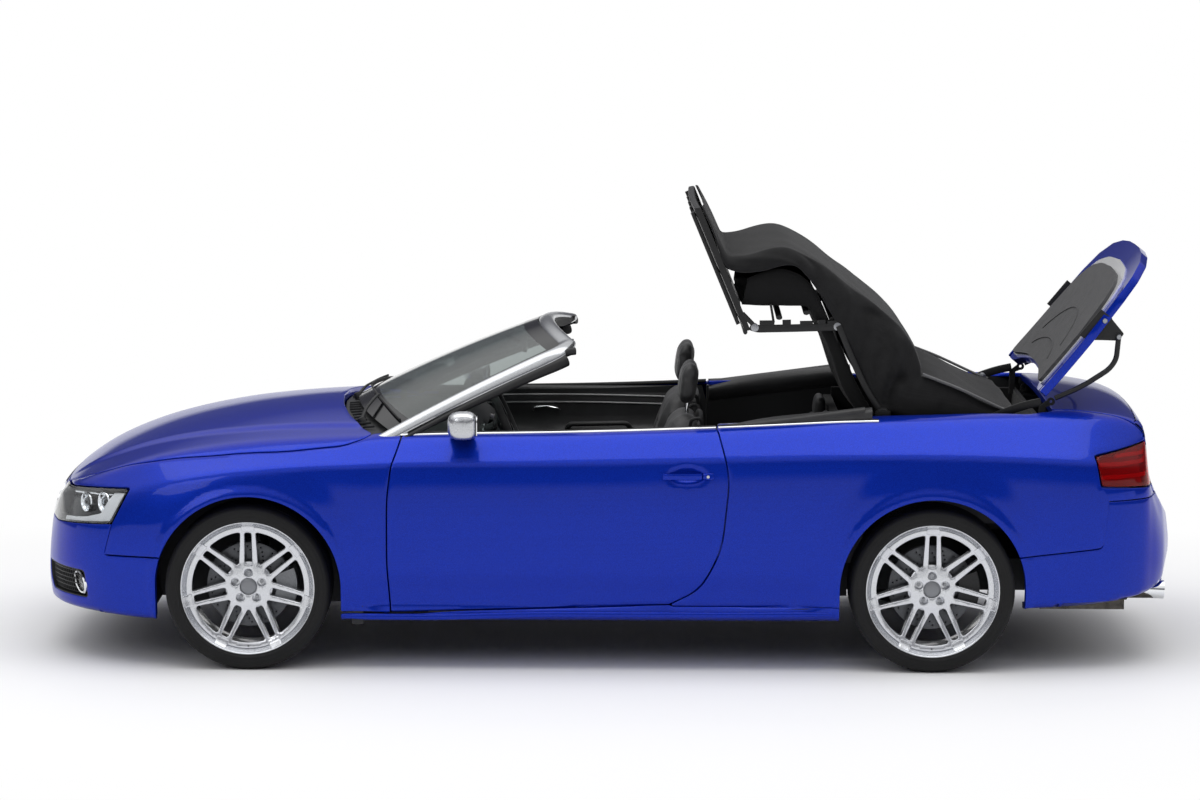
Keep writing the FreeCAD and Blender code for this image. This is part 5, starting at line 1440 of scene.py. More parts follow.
MIRROR_SHELL = [
    # y, middle x, middle z, half length, half height
    (0.858, -0.575, 0.990, 0.020, 0.024), (0.866, -0.576, 0.992, 0.042, 0.042),
    (0.880, -0.577, 0.994, 0.055, 0.052), (0.905, -0.578, 0.996, 0.063, 0.058),
    (0.935, -0.579, 0.998, 0.066, 0.060), (0.965, -0.579, 0.999, 0.064, 0.058),
    (0.984, -0.578, 1.000, 0.056, 0.052), (0.994, -0.576, 1.000, 0.040, 0.040),
    (0.998, -0.574, 1.000, 0.016, 0.018)]


def mirror():
    """A rounded shell whose rear face is flat for the glass, on a black foot over the waist."""
    points, faces, n = [], [], 28
    for y, x, z, a, b in MIRROR_SHELL:
        for k in range(n):
            t = 2 * math.pi * k / n
            c, s = math.cos(t), math.sin(t)
            out = (abs(c) ** 3 + abs(s) ** 3) ** (-1 / 3)
            px = x + a * c * out * (1.0 if c < 0 else 0.86)
            points.append(Vector((min(px, x + a * 0.80), y, z + b * s * out * (1.0 if s > 0 else 0.92))))
    rings = len(MIRROR_SHELL)
    for r in range(rings - 1):
        faces += [(r * n + k, r * n + (k + 1) % n, (r + 1) * n + (k + 1) % n, (r + 1) * n + k)
                  for k in range(n)]
    faces += [tuple(range(n)), tuple(range((rings - 1) * n, rings * n))]
    shell = made_loose("shell", points, faces, SATIN, 60)
    back = -0.579 + 0.066 * 0.80
    glass = rounded([(back + 0.0015, 0.876, 0.956), (back + 0.0015, 0.876, 1.040),
                     (back + 0.0015, 0.984, 1.040), (back + 0.0015, 0.984, 0.960)], 0.022)
    n = len(glass)
    glass_points = list(glass) + [p - Vector((0.004, 0, 0)) for p in glass]
    glass_faces = [tuple(range(n)), tuple(range(n, 2 * n))] + [(k, (k + 1) % n, n + (k + 1) % n, n + k)
                                                               for k in range(n)]
    pieces = [shell, made_loose("glass", glass_points, glass_faces, MIRROR_SILVER),
              carried("foot", BLACK_TRIM, [(-0.590, 0.806, 0.949), (-0.588, 0.832, 0.957),
                                           (-0.580, 0.872, 0.962)], slab(0.100, 0.020, 0.008), (0, 0, 1))]
    return joined("mirror_unit_right", pieces, "door_right", ("mirror_right",))


other_side(door_handle(), "door_handle_left", "door_left")
other_side(mirror(), "mirror_unit_left", "door_left", ("mirror_left",))

# ------------------------------------------------------------------ windscreen
# Laminated glass with a fired black border, in a satin aluminium surround that runs up both posts
# and over the header, with rubber seals for the soft top along its rear side.

SCREEN_LOW = (-1.048, 1.004, -0.862, 0.938, 0.742)     # x, z at the middle, x, z, half width at the corner
SCREEN_HIGH = (-0.300, 1.330, -0.186, 1.276, 0.566)
SCREEN_CROWN = 0.014
BORDER_SHARE = 0.075
CLEAR_GLASS = material("laminated_windscreen_glass", Base_Color=linear("8C9694"), Roughness=0.015, IOR=1.38,
                       Transmission_Weight=0.95, Coat_Weight=0.3)
FIRED_BLACK = speckled("fired_black_glass_border", "08090A", "101113", 0.10, 900.0, 0.00005, spread=0.03)
SEAL_RUBBER = speckled("black_sealing_rubber", "101011", "1C1C1D", 0.60, 420.0, 0.0003)
SCREEN_SILVER = speckled("brushed_satin_aluminium", "ABADB0", "C2C4C7", 0.20, 700.0, 0.00008, metallic=0.85,
                         spread=0.04)


def screen_edge(edge, share):
    x0, z0, x1, z1, y1 = edge
    return Vector((x0 + (x1 - x0) * share * share, y1 * share, z0 + (z1 - z0) * share * share))


def screen_place(share, height):
    """A point of the glass's outer face and its normal, from the cowl at height 0 to the header at 1."""
    low, high = screen_edge(SCREEN_LOW, share), screen_edge(SCREEN_HIGH, share)
    along = (high - low).normalized()
    normal = along.cross(Vector((0, -1, 0))).normalized()
    if normal.z < 0:
        normal = -normal
    bow = SCREEN_CROWN * 4 * height * (1 - height) * (1 - 0.3 * share * share)
    return low.lerp(high, height) + normal * bow, normal


def screen_glass():
    across, up = 56, 26
    shares, heights = np.linspace(-1, 1, across + 1), np.linspace(0, 1, up + 1)
    outer_face, inner_face = [], []
    for height in heights:
        for share in shares:
            place, normal = screen_place(share, height)
            outer_face.append(place)
            inner_face.append(place - normal * 0.005)
    row, count = across + 1, len(outer_face)
    faces, rim = [], []
    for j in range(up):
        for i in range(across):
            a = j * row + i
            faces.append((a, a + 1, a + row + 1, a + row))
            faces.append((count + a, count + a + row, count + a + row + 1, count + a + 1))
            beside = min(shares[i] + 1, 1 - shares[i + 1]) < BORDER_SHARE - 0.01
            border = beside or heights[j + 1] > 0.93 or heights[j] < 0.09
            rim += [border, border]
    ring = list(range(row)) + [j * row + across for j in range(1, up + 1)]
    ring += [up * row + i for i in range(across - 1, -1, -1)] + [j * row for j in range(up - 1, 0, -1)]
    faces += [(ring[k], ring[(k + 1) % len(ring)], count + ring[(k + 1) % len(ring)], count + ring[k])
              for k in range(len(ring))]
    made = made_loose("windscreen", outer_face + inner_face, faces, CLEAR_GLASS, 60)
    made.data.materials.append(FIRED_BLACK)
    for k, edge in enumerate(rim):
        if edge:
            made.data.polygons[k].material_index = 1
    dress(made, "body", ("windscreen_glass",))
    return made


# outlines of the surround: (towards the glass, outwards)
POST_SECTION = [(0.030, 0.014), (0.014, 0.024), (-0.006, 0.023), (-0.024, 0.002), (-0.031, -0.022),
                (-0.026, -0.036), (-0.008, -0.034), (0.020, -0.012)]
FOOT_SECTION = [(0.026, 0.010), (0.012, 0.018), (-0.006, 0.017), (-0.022, -0.001), (-0.028, -0.018),
                (-0.024, -0.026), (-0.008, -0.026), (0.018, -0.012)]
HEADER_SECTION = [(0.034, 0.009), (0.016, 0.020), (-0.012, 0.018), (-0.032, 0.006), (-0.038, -0.010),
                  (-0.030, -0.024), (-0.004, -0.026), (0.026, -0.014)]


def surround_path():
    """The surround's middle line, from the right post's foot to the left one's, and its sections."""
    foot, high = Vector((-0.930, 0.778, 0.917)), Vector((-0.196, 0.600, 1.262))
    post = [foot.lerp(high, t) + Vector((0, 0.006, 0.012)) * 4 * t * (1 - t)
            for t in np.linspace(0, 0.90, 26)]
    header = [screen_edge(SCREEN_HIGH, s) + Vector((0.034, 0, -0.006)) for s in np.linspace(0.90, 0, 26)]
    a, c = post[-1], header[0]
    b = high + Vector((0.010, 0.010, 0.006))
    bend = [a * (1 - t) ** 2 + b * 2 * t * (1 - t) + c * t * t for t in np.linspace(0, 1, 14)[1:-1]]
    half = post + bend + header
    weights = [(0, 1 - t / 0.9) for t in np.linspace(0, 0.90, 26)]
    weights += [(t, 0) for t in np.linspace(0, 1, 14)[1:-1]] + [(1, 0)] * 26
    path = half + [Vector((p.x, -p.y, p.z)) for p in reversed(half[:-1])]
    weights += list(reversed(weights[:-1]))
    sections = []
    for over, low in weights:
        body = [(p[0] * (1 - over) + h[0] * over, p[1] * (1 - over) + h[1] * over)
                for p, h in zip(POST_SECTION, HEADER_SECTION)]
        sections.append([(p[0] * (1 - low) + f[0] * low, p[1] * (1 - low) + f[1] * low)
                         for p, f in zip(body, FOOT_SECTION)])
    return path, sections


def smooth_section(section, rounds=2):
    """A section with its corners cut round."""
    for _ in range(rounds):
        cut = []
        for a, b in zip(section, section[1:] + section[:1]):
            cut += [(a[0] * 0.75 + b[0] * 0.25, a[1] * 0.75 + b[1] * 0.25),
                    (a[0] * 0.25 + b[0] * 0.75, a[1] * 0.25 + b[1] * 0.75)]
        section = cut
    return section


SCREEN_UP = (-0.42, 0, 0.908)


def swept_varying(path, sections, up):
    """As swept, with a section for each point of an open path."""
    path, m = [Vector(p) for p in path], len(sections[0])
    points, faces = [], []
    for k, (p, section) in enumerate(zip(path, sections)):
        along = (path[min(k + 1, len(path) - 1)] - path[max(k - 1, 0)]).normalized()
        side = along.cross(Vector(up)).normalized()
        top = side.cross(along)
        points += [p + side * a + top * b for a, b in section]
    for k in range(len(path) - 1):
        a, b = k * m, (k + 1) * m
        faces += [(a + i, a + (i + 1) % m, b + (i + 1) % m, b + i) for i in range(m)]
    faces += [tuple(range(m)), tuple(range((len(path) - 1) * m, len(path) * m))]
    return points, faces


def screen_surround():
    path, sections = surround_path()
    pieces = [made_loose("surround", *swept_varying(path, [smooth_section(s) for s in sections], SCREEN_UP),
                         SCREEN_SILVER, 60)]
    posts = (1, 32)
    for first, last in (posts, (len(path) - 32, len(path) - 1)):
        count = last - first
        widths = np.linspace(0.35, 1.0, count) if first == 1 else np.linspace(1.0, 0.35, count)
        seal = [[(a * 0.030 - 0.014, b * 0.026 * w - 0.036 - 0.008 * w) for a,
                 b in ((1, 0.6), (-0.5, 1), (-1, 0.3), (-0.7, -1), (0.4, -1), (1, -0.3))] for w in widths]
        pieces.append(made_loose("post_seal",
                                 *swept_varying(path[first:last], [smooth_section(s) for s in seal],
                                                SCREEN_UP), SEAL_RUBBER))
    over = path[40:-40]
    pieces.append(carried("header_trim", SEAL_RUBBER, over,
                          smooth_section([(0.034, -0.020), (-0.036, -0.014), (-0.038, -0.030),
                                          (0.030, -0.036)]), SCREEN_UP))
    for s in (1, -1):
        corner = Vector((-0.160, 0.590 * s, 1.262))
        pieces.append(carried("corner_seal", SEAL_RUBBER, [corner + Vector((-0.030, 0, -0.012)), corner,
                                                           corner + Vector((0.020, -0.006 * s, 0.002))],
                              smooth_section([(0.024, 0.016), (-0.024, 0.010), (-0.020, -0.018),
                                              (0.020, -0.018)])))
        latch = Vector((-0.180, 0.470 * s, 1.290))
        pieces.append(carried("latch_cup", SEAL_RUBBER, [latch, latch + Vector((0.034, 0, -0.004))],
                              slab(0.050, 0.020, 0.006)))
        edge = [screen_place(s * 0.985, h)[0] + screen_place(s, h)[1] * 0.003
                for h in np.linspace(0.01, 0.97, 30)]
        pieces.append(carried("glass_moulding", CHROME, edge,
                              smooth_section([(0.006, 0.004), (-0.006, 0.004), (-0.006, -0.006),
                                              (0.006, -0.006)]), SCREEN_UP))
        gutter = [screen_place(s * 1.035, h)[0] - screen_place(s, h)[1] * 0.012
                  for h in np.linspace(0.0, 0.97, 30)]
        pieces.append(carried("glass_channel", SEAL_RUBBER, gutter,
                              smooth_section([(0.022, 0.008), (-0.022, 0.008), (-0.022, -0.014),
                                              (0.022, -0.014)]), SCREEN_UP))
    return joined("windscreen_surround", pieces, "body", ("windscreen_frame",))


screen_glass()
screen_surround()

# ------------------------------------------------------------------ inside mirror
# A silvered glass in a black moulded shell, on a stalk that is stuck to the windscreen below the
# header.


def inside_mirror():
    foot, normal = screen_place(0, 0.82)
    head = foot + Vector((0.085, 0, -0.055))
    shell = [(0.0, -0.016), (0.030, -0.014), (0.034, -0.004), (0.034, 0.006), (0.028, 0.010), (0.0, 0.010)]
    points, faces = turned(shell, 40, closed=False)
    turn = Matrix.Rotation(math.radians(-90), 3, "Z")
    points = [turn @ Vector((p.x * 3.4, p.y, p.z)) + head for p in points]
    glass, glass_faces = turned([(0.0, 0.0112), (0.027, 0.0108), (0.027, 0.0095), (0.0, 0.0095)], 40,
                                closed=False)
    glass = [turn @ Vector((p.x * 3.4, p.y, p.z)) + head for p in glass]
    pieces = [made_loose("shell", points, faces, SEAL_RUBBER),
              made_loose("glass", glass, glass_faces, MIRROR_SILVER),
              carried("stalk", SEAL_RUBBER, [foot - normal * 0.004, foot - normal * 0.02,
                                             head + Vector((-0.012, 0, 0))], oval(0.016, 0.016), (0, 1, 0))]
    return joined("inside_mirror", pieces, "body")


inside_mirror()

# ------------------------------------------------------------------ cowl and wipers
# A grained black plastic scuttle between the bonnet and the glass, with two wipers parked on it.


def cowl():
    front = [(-1.106, 0.0), (-1.094, 0.25), (-1.056, 0.48), (-1.004, 0.64), (-0.950, 0.742)]
    right = line("top", front, radius=0.05) + line("top", [(-0.850, 0.742), (-0.900, 0.50), (-0.965, 0.25),
                                                           (-0.985, 0.0)], radius=0.05)
    ring = right + mirror_points(right)
    pieces = [panel("scuttle", ALONG, ring, BLACK_TRIM, spacing=0.018, depth=0.005, lift=-0.030, body=None)]
    for s in (1, -1):
        for k in range(10):
            y = s * (0.10 + 0.055 * k)
            x = float(np.interp(abs(y), [0, 0.25, 0.48, 0.64, 0.75],
                                [-1.095, -1.083, -1.045, -0.993, -0.945]))
            place = seen_from("top", x + 0.024, y) - Vector((0, 0, 0.024))
            pieces.append(carried("vent_rib", BLACK_TRIM,
                                  [place - Vector((0.018, 0, 0)), place + Vector((0.030, 0, 0.004))],
                                  slab(0.006, 0.010, 0.002)))
    return joined("cowl_panel", pieces, "body")


def wiper(name, pivot, start, end, height):
    """An arm from its spindle to a blade lying on the glass between two shares of its width."""
    blade = [screen_place(s, height + 0.02 * math.sin(math.pi * t))
             for t, s in ((t, start + (end - start) * t) for t in np.linspace(0, 1, 24))]
    line_of = [p + n * 0.013 for p, n in blade]
    pieces = [carried("blade", SEAL_RUBBER, line_of,
                      smooth_section([(0.005, 0.006), (-0.005, 0.006), (-0.003, -0.010), (0.003, -0.010)]),
                      [n for _, n in blade])]
    middle, normal = screen_place((start + end) / 2, height + 0.02)
    arm = [Vector(pivot), Vector(pivot).lerp(middle, 0.3) + normal * 0.022, Vector(pivot).lerp(middle, 0.8)
           + normal * 0.026, middle + normal * 0.024]
    pieces.append(carried("arm", BLACK_TRIM, rounded(arm, 0.04, closed=False), slab(0.016, 0.009, 0.003),
                          SCREEN_UP))
    cap = turned([(0, 0.014), (0.014, 0.012), (0.017, 0.0), (0.017, -0.012), (0, -0.012)], 24, False)
    pieces.append(spun("spindle", BLACK_TRIM, cap, pivot, normal))
    return joined(name, pieces, "body")


cowl()
wiper("wiper_left", (-1.010, -0.520, 0.965), -0.92, 0.02, 0.075)
wiper("wiper_right", (-1.060, 0.060, 0.995), 0.06, 0.90, 0.070)

# ------------------------------------------------------------------ waist strips and sill ridges
# A bright anodised strip on each door and quarter where the side glass sinks, over a rubber lip, and
# the pressed ridge along each sill.


def waist_strip(name, runs, body):
    places = [seen_from("top", x, y) for x, y in runs]
    ups = [Vector((0, 0.35, 0.94))] * len(places)
    strip = smooth_section([(0.008, 0.005), (-0.008, 0.007), (-0.009, -0.004), (0.008, -0.006)])
    lip = smooth_section([(0.018, 0.003), (0.006, 0.005), (0.006, -0.012), (0.018, -0.012)])
    pieces = [carried("strip", CHROME, places, strip, ups), carried("lip", SEAL_RUBBER, places, lip, ups)]
    return joined(name, pieces, body)


other_side(waist_strip("waist_strip_door_right", [(x, 0.782) for x in np.linspace(-0.838, 0.430, 60)],
                       "door_right"), "waist_strip_door_left", "door_left")
other_side(waist_strip("waist_strip_quarter_right",
                       [(x, 0.782 - 0.02 * max(0, x - 0.8)) for x in np.linspace(0.440, 1.085, 40)],
                       "body"), "waist_strip_quarter_left", "body")


def sill_ridge():
    """The pressed ridge low on the side, fading out at both ends."""
    path, sections = [], []
    for x in np.linspace(-1.060, 0.900, 150):
        fade = min(1.0, (x + 1.075) / 0.10, (0.925 - x) / 0.14)
        rise = 0.014 * eased(x, -0.76, -0.20) + 0.003 * eased(x, 0.4, 0.9)
        path.append(seen_from("side", x, 0.217 + rise))
        sections.append(oval(0.018 * (0.3 + 0.7 * fade), 0.026 * (0.35 + 0.65 * fade), 16))
    return joined("sill_ridge_right", [made_loose("ridge", *swept_varying(path, sections, (0, 0, 1)),
                                                  PAINT)], "body")


other_side(sill_ridge(), "sill_ridge_left", "body")

# ------------------------------------------------------------------ front seats
# Foam pads in grained leather over a plastic-backed frame: a cushion and a back with raised
# bolsters, a separate head restraint and cross-sewn channels, on steel rails.


def leather(name, dark, light):
    """Full-grain leather: pebbled relief in cells 3 mm wide, soft sheen and slight colour drift."""
    hide = material(name, Roughness=0.52, Coat_Weight=0.08, Coat_Roughness=0.35, Sheen_Weight=0.12)
    pebble = pattern(hide, "Voronoi", "Distance", Scale=330.0, feature="DISTANCE_TO_EDGE")
    drift = pattern(hide, "Noise", Scale=9.0, Detail=5.0)
    crease = add(hide.node_tree, "ShaderNodeMapRange", {"From Max": 0.12}, {"Value": pebble})
    tinted(hide, drift, dark, light, 0.3, 0.7)
    roughened(hide, drift, 0.42, 0.62)
    embossed(hide, crease.outputs[0], 0.35, 0.0006)
    return hide


LEATHER = leather("black_grained_leather", "1B1B1C", "2A2A2C")
PIPING = leather("pale_grey_leather_piping", "8F8F90", "B4B4B4")
SHELL_PLASTIC = speckled("grained_charcoal_plastic", "1A1A1B", "252527", 0.55, 380.0, 0.0004)
PAD_VOXEL = 0.014
PAD_STEPS = 20
PAD_PRESSURE = 4.0
PAD_CAP = 0.014
SEAT_MIDDLE = 0.370


def lofted(rings):
    """Points and faces of a closed skin over rings of equal count."""
    m = len(rings[0])
    points = [Vector(p) for ring in rings for p in ring]
    faces = []
    for k in range(len(rings) - 1):
        a, b = k * m, (k + 1) * m
        faces += [(a + i, a + (i + 1) % m, b + (i + 1) % m, b + i) for i in range(m)]
    return points, faces + [tuple(range(m)), tuple(range((len(rings) - 1) * m, len(rings) * m))]


def cushion_form(outline, half, middle, stations=17, waist=None):
    """Rings of a pad: a side outline (x, z) repeated across its width, drawn in towards both ends."""
    centre = Vector((sum(p[0] for p in outline) / len(outline), 0, sum(p[1] for p in outline) / len(outline)))
    path = rounded([Vector((x, 0, z)) for x, z in outline], 0.045, steps=5)
    rings = []
    for t in np.linspace(-1, 1, stations):
        shrink = 1 - 0.30 * abs(t) ** 10
        ring = []
        for p in path:
            q = centre + (p - centre) * shrink
            q.y = middle + t * half * (waist(q) if waist else 1.0)
            ring.append(q)
        rings.append(ring)
    return rings


def bolstered(rings, middle, half, face, up, rise, inner=0.56):
    """Lifts the sides of a pad's face into bolsters: face picks the points, up is the way they rise."""
    out = []
    for ring in rings:
        new = []
        for p in ring:
            side = abs(p.y - middle) / half
            amount = max(0.0, min(1.0, (side - inner) / 0.22)) * max(0.0, min(1.0, (1.03 - side) / 0.18))
            new.append(p + Vector(up) * rise * amount * face(p))
        out.append(new)
    return out


def stuffed(name, rings, finish, cap=PAD_CAP, voxel=PAD_VOXEL, channels=()):
    """A foam pad: its skin is blown out by the foam, then drawn in along the sewn channels."""
    made = made_loose(name, *lofted(rings), finish, 180)
    remesh = made.modifiers.new("even_skin", "REMESH")
    remesh.mode, remesh.voxel_size = "VOXEL", voxel
    bake(made)
    skin = made.data
    before = np.array([v.co for v in skin.vertices])
    cloth = made.modifiers.new("foam", "CLOTH")
    settings = cloth.settings
    settings.use_pressure, settings.uniform_pressure_force = True, PAD_PRESSURE
    settings.effector_weights.gravity = 0
    settings.tension_stiffness = settings.compression_stiffness = 20
    cloth.point_cache.frame_start, cloth.point_cache.frame_end = 1, PAD_STEPS
    for step in range(1, PAD_STEPS + 1):
        bpy.context.scene.frame_set(step)
    swollen = made.evaluated_get(bpy.context.evaluated_depsgraph_get()).to_mesh()
    after = np.array([v.co for v in swollen.vertices])
    made.modifiers.clear()
    bpy.context.scene.frame_set(1)
    move = after - before
    far = np.linalg.norm(move, axis=1)
    move *= np.minimum(1, cap / np.maximum(far, 1e-9))[:, None]
    before = before + move
    for channel in channels:
        before = channel(before)
    skin.vertices.foreach_set("co", before.astype(np.float32).ravel())
    for face in skin.polygons:
        face.use_smooth = True
    skin.materials.clear()
    skin.materials.append(finish)
    finer = made.modifiers.new("finer", "SUBSURF")
    finer.levels = finer.render_levels = 1
    bake(made)
    return made


def groove(along, across, where, depth, width, start, end, push):
    """A sewn channel: points near a line are drawn in. along and across are axis numbers."""
    def draw(points):
        near = np.exp(-((points[:, across] - where) / width) ** 2)
        span = (points[:, along] > start) & (points[:, along] < end)
        return points + np.outer(near * span * depth, np.array(push))
    return draw


CUSHION = [(-0.330, 0.365), (-0.332, 0.480), (-0.282, 0.530), (0.112, 0.498), (0.190, 0.365)]
BACK = [(0.165, 0.395), (0.135, 0.520), (0.268, 0.985), (0.318, 1.012), (0.368, 0.985), (0.288, 0.560),
        (0.245, 0.395)]
HEAD = [(0.284, 1.030), (0.300, 1.160), (0.320, 1.198), (0.350, 1.200), (0.364, 1.172), (0.346, 1.032)]


def seat_parts():
    """The right-hand seat's pads and frame."""
    cushion = bolstered(cushion_form(CUSHION, 0.240, SEAT_MIDDLE), SEAT_MIDDLE, 0.240,
                        lambda p: 1.0 if p.z > 0.46 else 0.0, (0, 0, 1), 0.034)
    seams = [groove(0, 1, SEAT_MIDDLE + s * 0.140, 0.010, 0.006, -0.26, 0.14, (0, 0, -1)) for s in (1, -1)]
    seams += [groove(1, 0, x, 0.006, 0.006, SEAT_MIDDLE - 0.14, SEAT_MIDDLE + 0.14, (0, 0, -1))
              for x in (-0.20, -0.12, -0.04, 0.04)]
    cushion = stuffed("seat_cushion_right", cushion, LEATHER, channels=seams)
    lean = (-0.935, 0, 0.355)

    def waist(p):
        return 1.0 - 0.16 * max(0.0, (p.z - 0.78) / 0.25) ** 2

    back = bolstered(cushion_form(BACK, 0.238, SEAT_MIDDLE, waist=waist), SEAT_MIDDLE, 0.238, lambda p: 1.0
                     if p.x < 0.135 + (p.z - 0.50) * 0.32 + 0.045 and p.z < 0.93 else 0.0, lean, 0.040)
    seams = [groove(2, 1, SEAT_MIDDLE + s * 0.130, 0.010, 0.006, 0.50, 0.95, (0.9, 0, -0.3)) for s in (1, -1)]
    seams += [groove(1, 2, z, 0.006, 0.006, SEAT_MIDDLE - 0.13, SEAT_MIDDLE + 0.13, (0.9, 0, -0.3))
              for z in (0.60, 0.68, 0.76, 0.84)]
    back = stuffed("seat_back_right", back, LEATHER, channels=seams)
    head = stuffed("head_restraint_right", cushion_form(HEAD, 0.118, SEAT_MIDDLE, stations=13), LEATHER,
                   cap=0.008, voxel=0.009,
                   channels=[groove(2, 1, SEAT_MIDDLE + s * 0.080, 0.004, 0.005, 1.0, 1.3, (1, 0, -0.2))
                             for s in (1, -1)])
    shell = [Vector((x, 0, z)) for x, z in ((0.292, 0.440), (0.318, 0.560), (0.392, 0.930), (0.388, 0.985),
                                            (0.372, 0.988), (0.300, 0.600), (0.268, 0.440))]
    rings = []
    for t in np.linspace(-1, 1, 15):
        scale = 1 - 0.10 * abs(t) ** 6
        rings.append([Vector((p.x - 0.012 * abs(t) ** 3,
                              SEAT_MIDDLE + t * 0.212 * (1 - 0.14 * max(0, (p.z - 0.78) / 0.2)),
                              0.70 + (p.z - 0.70) * scale)) for p in rounded(shell, 0.012)])
    pieces = [made_loose("back_shell", *lofted(rings), SHELL_PLASTIC, 50)]
    for s in (1, -1):
        post = [(0.318, SEAT_MIDDLE + s * 0.055, 0.960), (0.326, SEAT_MIDDLE + s * 0.055, 1.060)]
        pieces.append(carried("restraint_post", CHROME, post, oval(0.012, 0.012), (0, 1, 0)))
        rail = [(-0.330, SEAT_MIDDLE + s * 0.190, 0.288), (0.210, SEAT_MIDDLE + s * 0.190, 0.288)]
        pieces.append(carried("rail", BOLT_STEEL, rail, slab(0.034, 0.048, 0.004)))
        frame_run = [(-0.300, SEAT_MIDDLE + s * 0.205, 0.345), (0.190, SEAT_MIDDLE + s * 0.205, 0.345),
                     (0.250, SEAT_MIDDLE + s * 0.215, 0.470)]
        pieces.append(carried("side_cover", SHELL_PLASTIC, rounded(frame_run, 0.05, closed=False),
                              slab(0.030, 0.075, 0.012)))
    for s in (1, -1):
        guide = rounded([(0.330, SEAT_MIDDLE + s * 0.200, 0.935), (0.335, SEAT_MIDDLE + s * 0.215, 0.985),
                         (0.375, SEAT_MIDDLE + s * 0.215, 0.990), (0.385, SEAT_MIDDLE + s * 0.200, 0.930)],
                        0.02, closed=False)
        pieces.append(carried("belt_guide", SHELL_PLASTIC, guide, oval(0.014, 0.006), (0, 1, 0)))
    structure = joined("seat_frame_right", pieces, "body", ("seat_right",))
    for pad in (cushion, back, head):
        dress(pad, "body")
    for pad, name in ((cushion, "seat_cushion_left"), (back, "seat_back_left"),
                      (head, "head_restraint_left")):
        other_side(pad, name, "body")
    other_side(structure, "seat_frame_left", "body", ("seat_left",))


seat_parts()

# ------------------------------------------------------------------ rear seat
# A bench for two in the same leather: two dished cushions and backs either side of a middle
# armrest, each with a low head restraint, on one moulded base.

REAR_CUSHION = [(0.535, 0.425), (0.535, 0.495), (0.572, 0.520), (0.790, 0.490), (0.815, 0.425)]
REAR_BACK = [(0.800, 0.440), (0.795, 0.505), (0.876, 0.880), (0.925, 0.900), (0.925, 0.440)]
REAR_HEAD = [(0.872, 0.884), (0.884, 0.968), (0.905, 0.982), (0.924, 0.968), (0.930, 0.884)]
REAR_MIDDLE = 0.320


def rear_bench():
    cushion = bolstered(cushion_form(REAR_CUSHION, 0.215, REAR_MIDDLE), REAR_MIDDLE, 0.215,
                        lambda p: 1.0 if p.z > 0.46 else 0.0, (0, 0, 1), 0.020)
    cushion = stuffed("rear_cushion_right", cushion, LEATHER, voxel=0.016,
                      channels=[groove(0, 1, REAR_MIDDLE + s * 0.120, 0.009, 0.006, 0.56, 0.80, (0, 0, -1))
                                for s in (1, -1)])
    back = bolstered(cushion_form(REAR_BACK, 0.215, REAR_MIDDLE), REAR_MIDDLE, 0.215, lambda p: 1.0
                     if p.x < 0.80 + (p.z - 0.50) * 0.22 + 0.03 else 0.0, (-0.97, 0, 0.2), 0.022)
    back = stuffed("rear_back_right", back, LEATHER, voxel=0.016,
                   channels=[groove(2, 1, REAR_MIDDLE + s * 0.120, 0.009, 0.006, 0.52, 0.86, (1, 0, 0))
                             for s in (1, -1)])
    head = stuffed("rear_head_restraint_right", cushion_form(REAR_HEAD, 0.100, 0.290, stations=13), LEATHER,
                   cap=0.006, voxel=0.009)
    for pad, name in ((cushion, "rear_cushion_left"), (back, "rear_back_left"),
                      (head, "rear_head_restraint_left")):
        dress(pad, "body")
        other_side(pad, name, "body")
    base = rounded([(0.522, 0, 0.412), (0.522, 0, 0.470), (0.790, 0, 0.455), (0.862, 0, 0.860),
                    (0.938, 0, 0.895), (0.938, 0, 0.412)], 0.02)
    rings = [[Vector((p.x, y, p.z)) for p in base] for y in (-0.555, -0.550, 0.550, 0.555)]
    arm = rounded([(0.540, 0, 0.430), (0.545, 0, 0.535), (0.790, 0, 0.530), (0.865, 0, 0.860),
                   (0.925, 0, 0.880), (0.925, 0, 0.430)], 0.03)
    arm_rings = [[Vector((p.x, y, p.z)) for p in arm] for y in (-0.085, -0.078, 0.078, 0.085)]
    joined("rear_seat_base", [made_loose("base", *lofted(rings), SHELL_PLASTIC),
                              made_loose("armrest", *lofted(arm_rings), LEATHER)], "body",
           ("rear_seat",))


rear_bench()

# ------------------------------------------------------------------ cabin trim
# Door and quarter linings: a padded roll along the waist, a leather panel with two rows of pale
# piping, an armrest and a map pocket, moulded over a board; and the padded lids by the rear seats.

DOOR_LINING = [(0.786, 0.950), (0.768, 0.958), (0.752, 0.948), (0.744, 0.925), (0.737, 0.890),
               (0.736, 0.820), (0.728, 0.780), (0.694, 0.752), (0.690, 0.722), (0.706, 0.700),
               (0.734, 0.684), (0.740, 0.600), (0.738, 0.470), (0.712, 0.440), (0.708, 0.350),
               (0.728, 0.318), (0.752, 0.318), (0.752, 0.700), (0.756, 0.900)]
QUARTER_LINING = [(0.780, 0.972), (0.762, 0.985), (0.738, 0.975), (0.728, 0.945), (0.722, 0.900),
                  (0.722, 0.780), (0.700, 0.752), (0.640, 0.738), (0.636, 0.700), (0.700, 0.690),
                  (0.720, 0.600), (0.722, 0.420), (0.738, 0.420), (0.742, 0.900)]


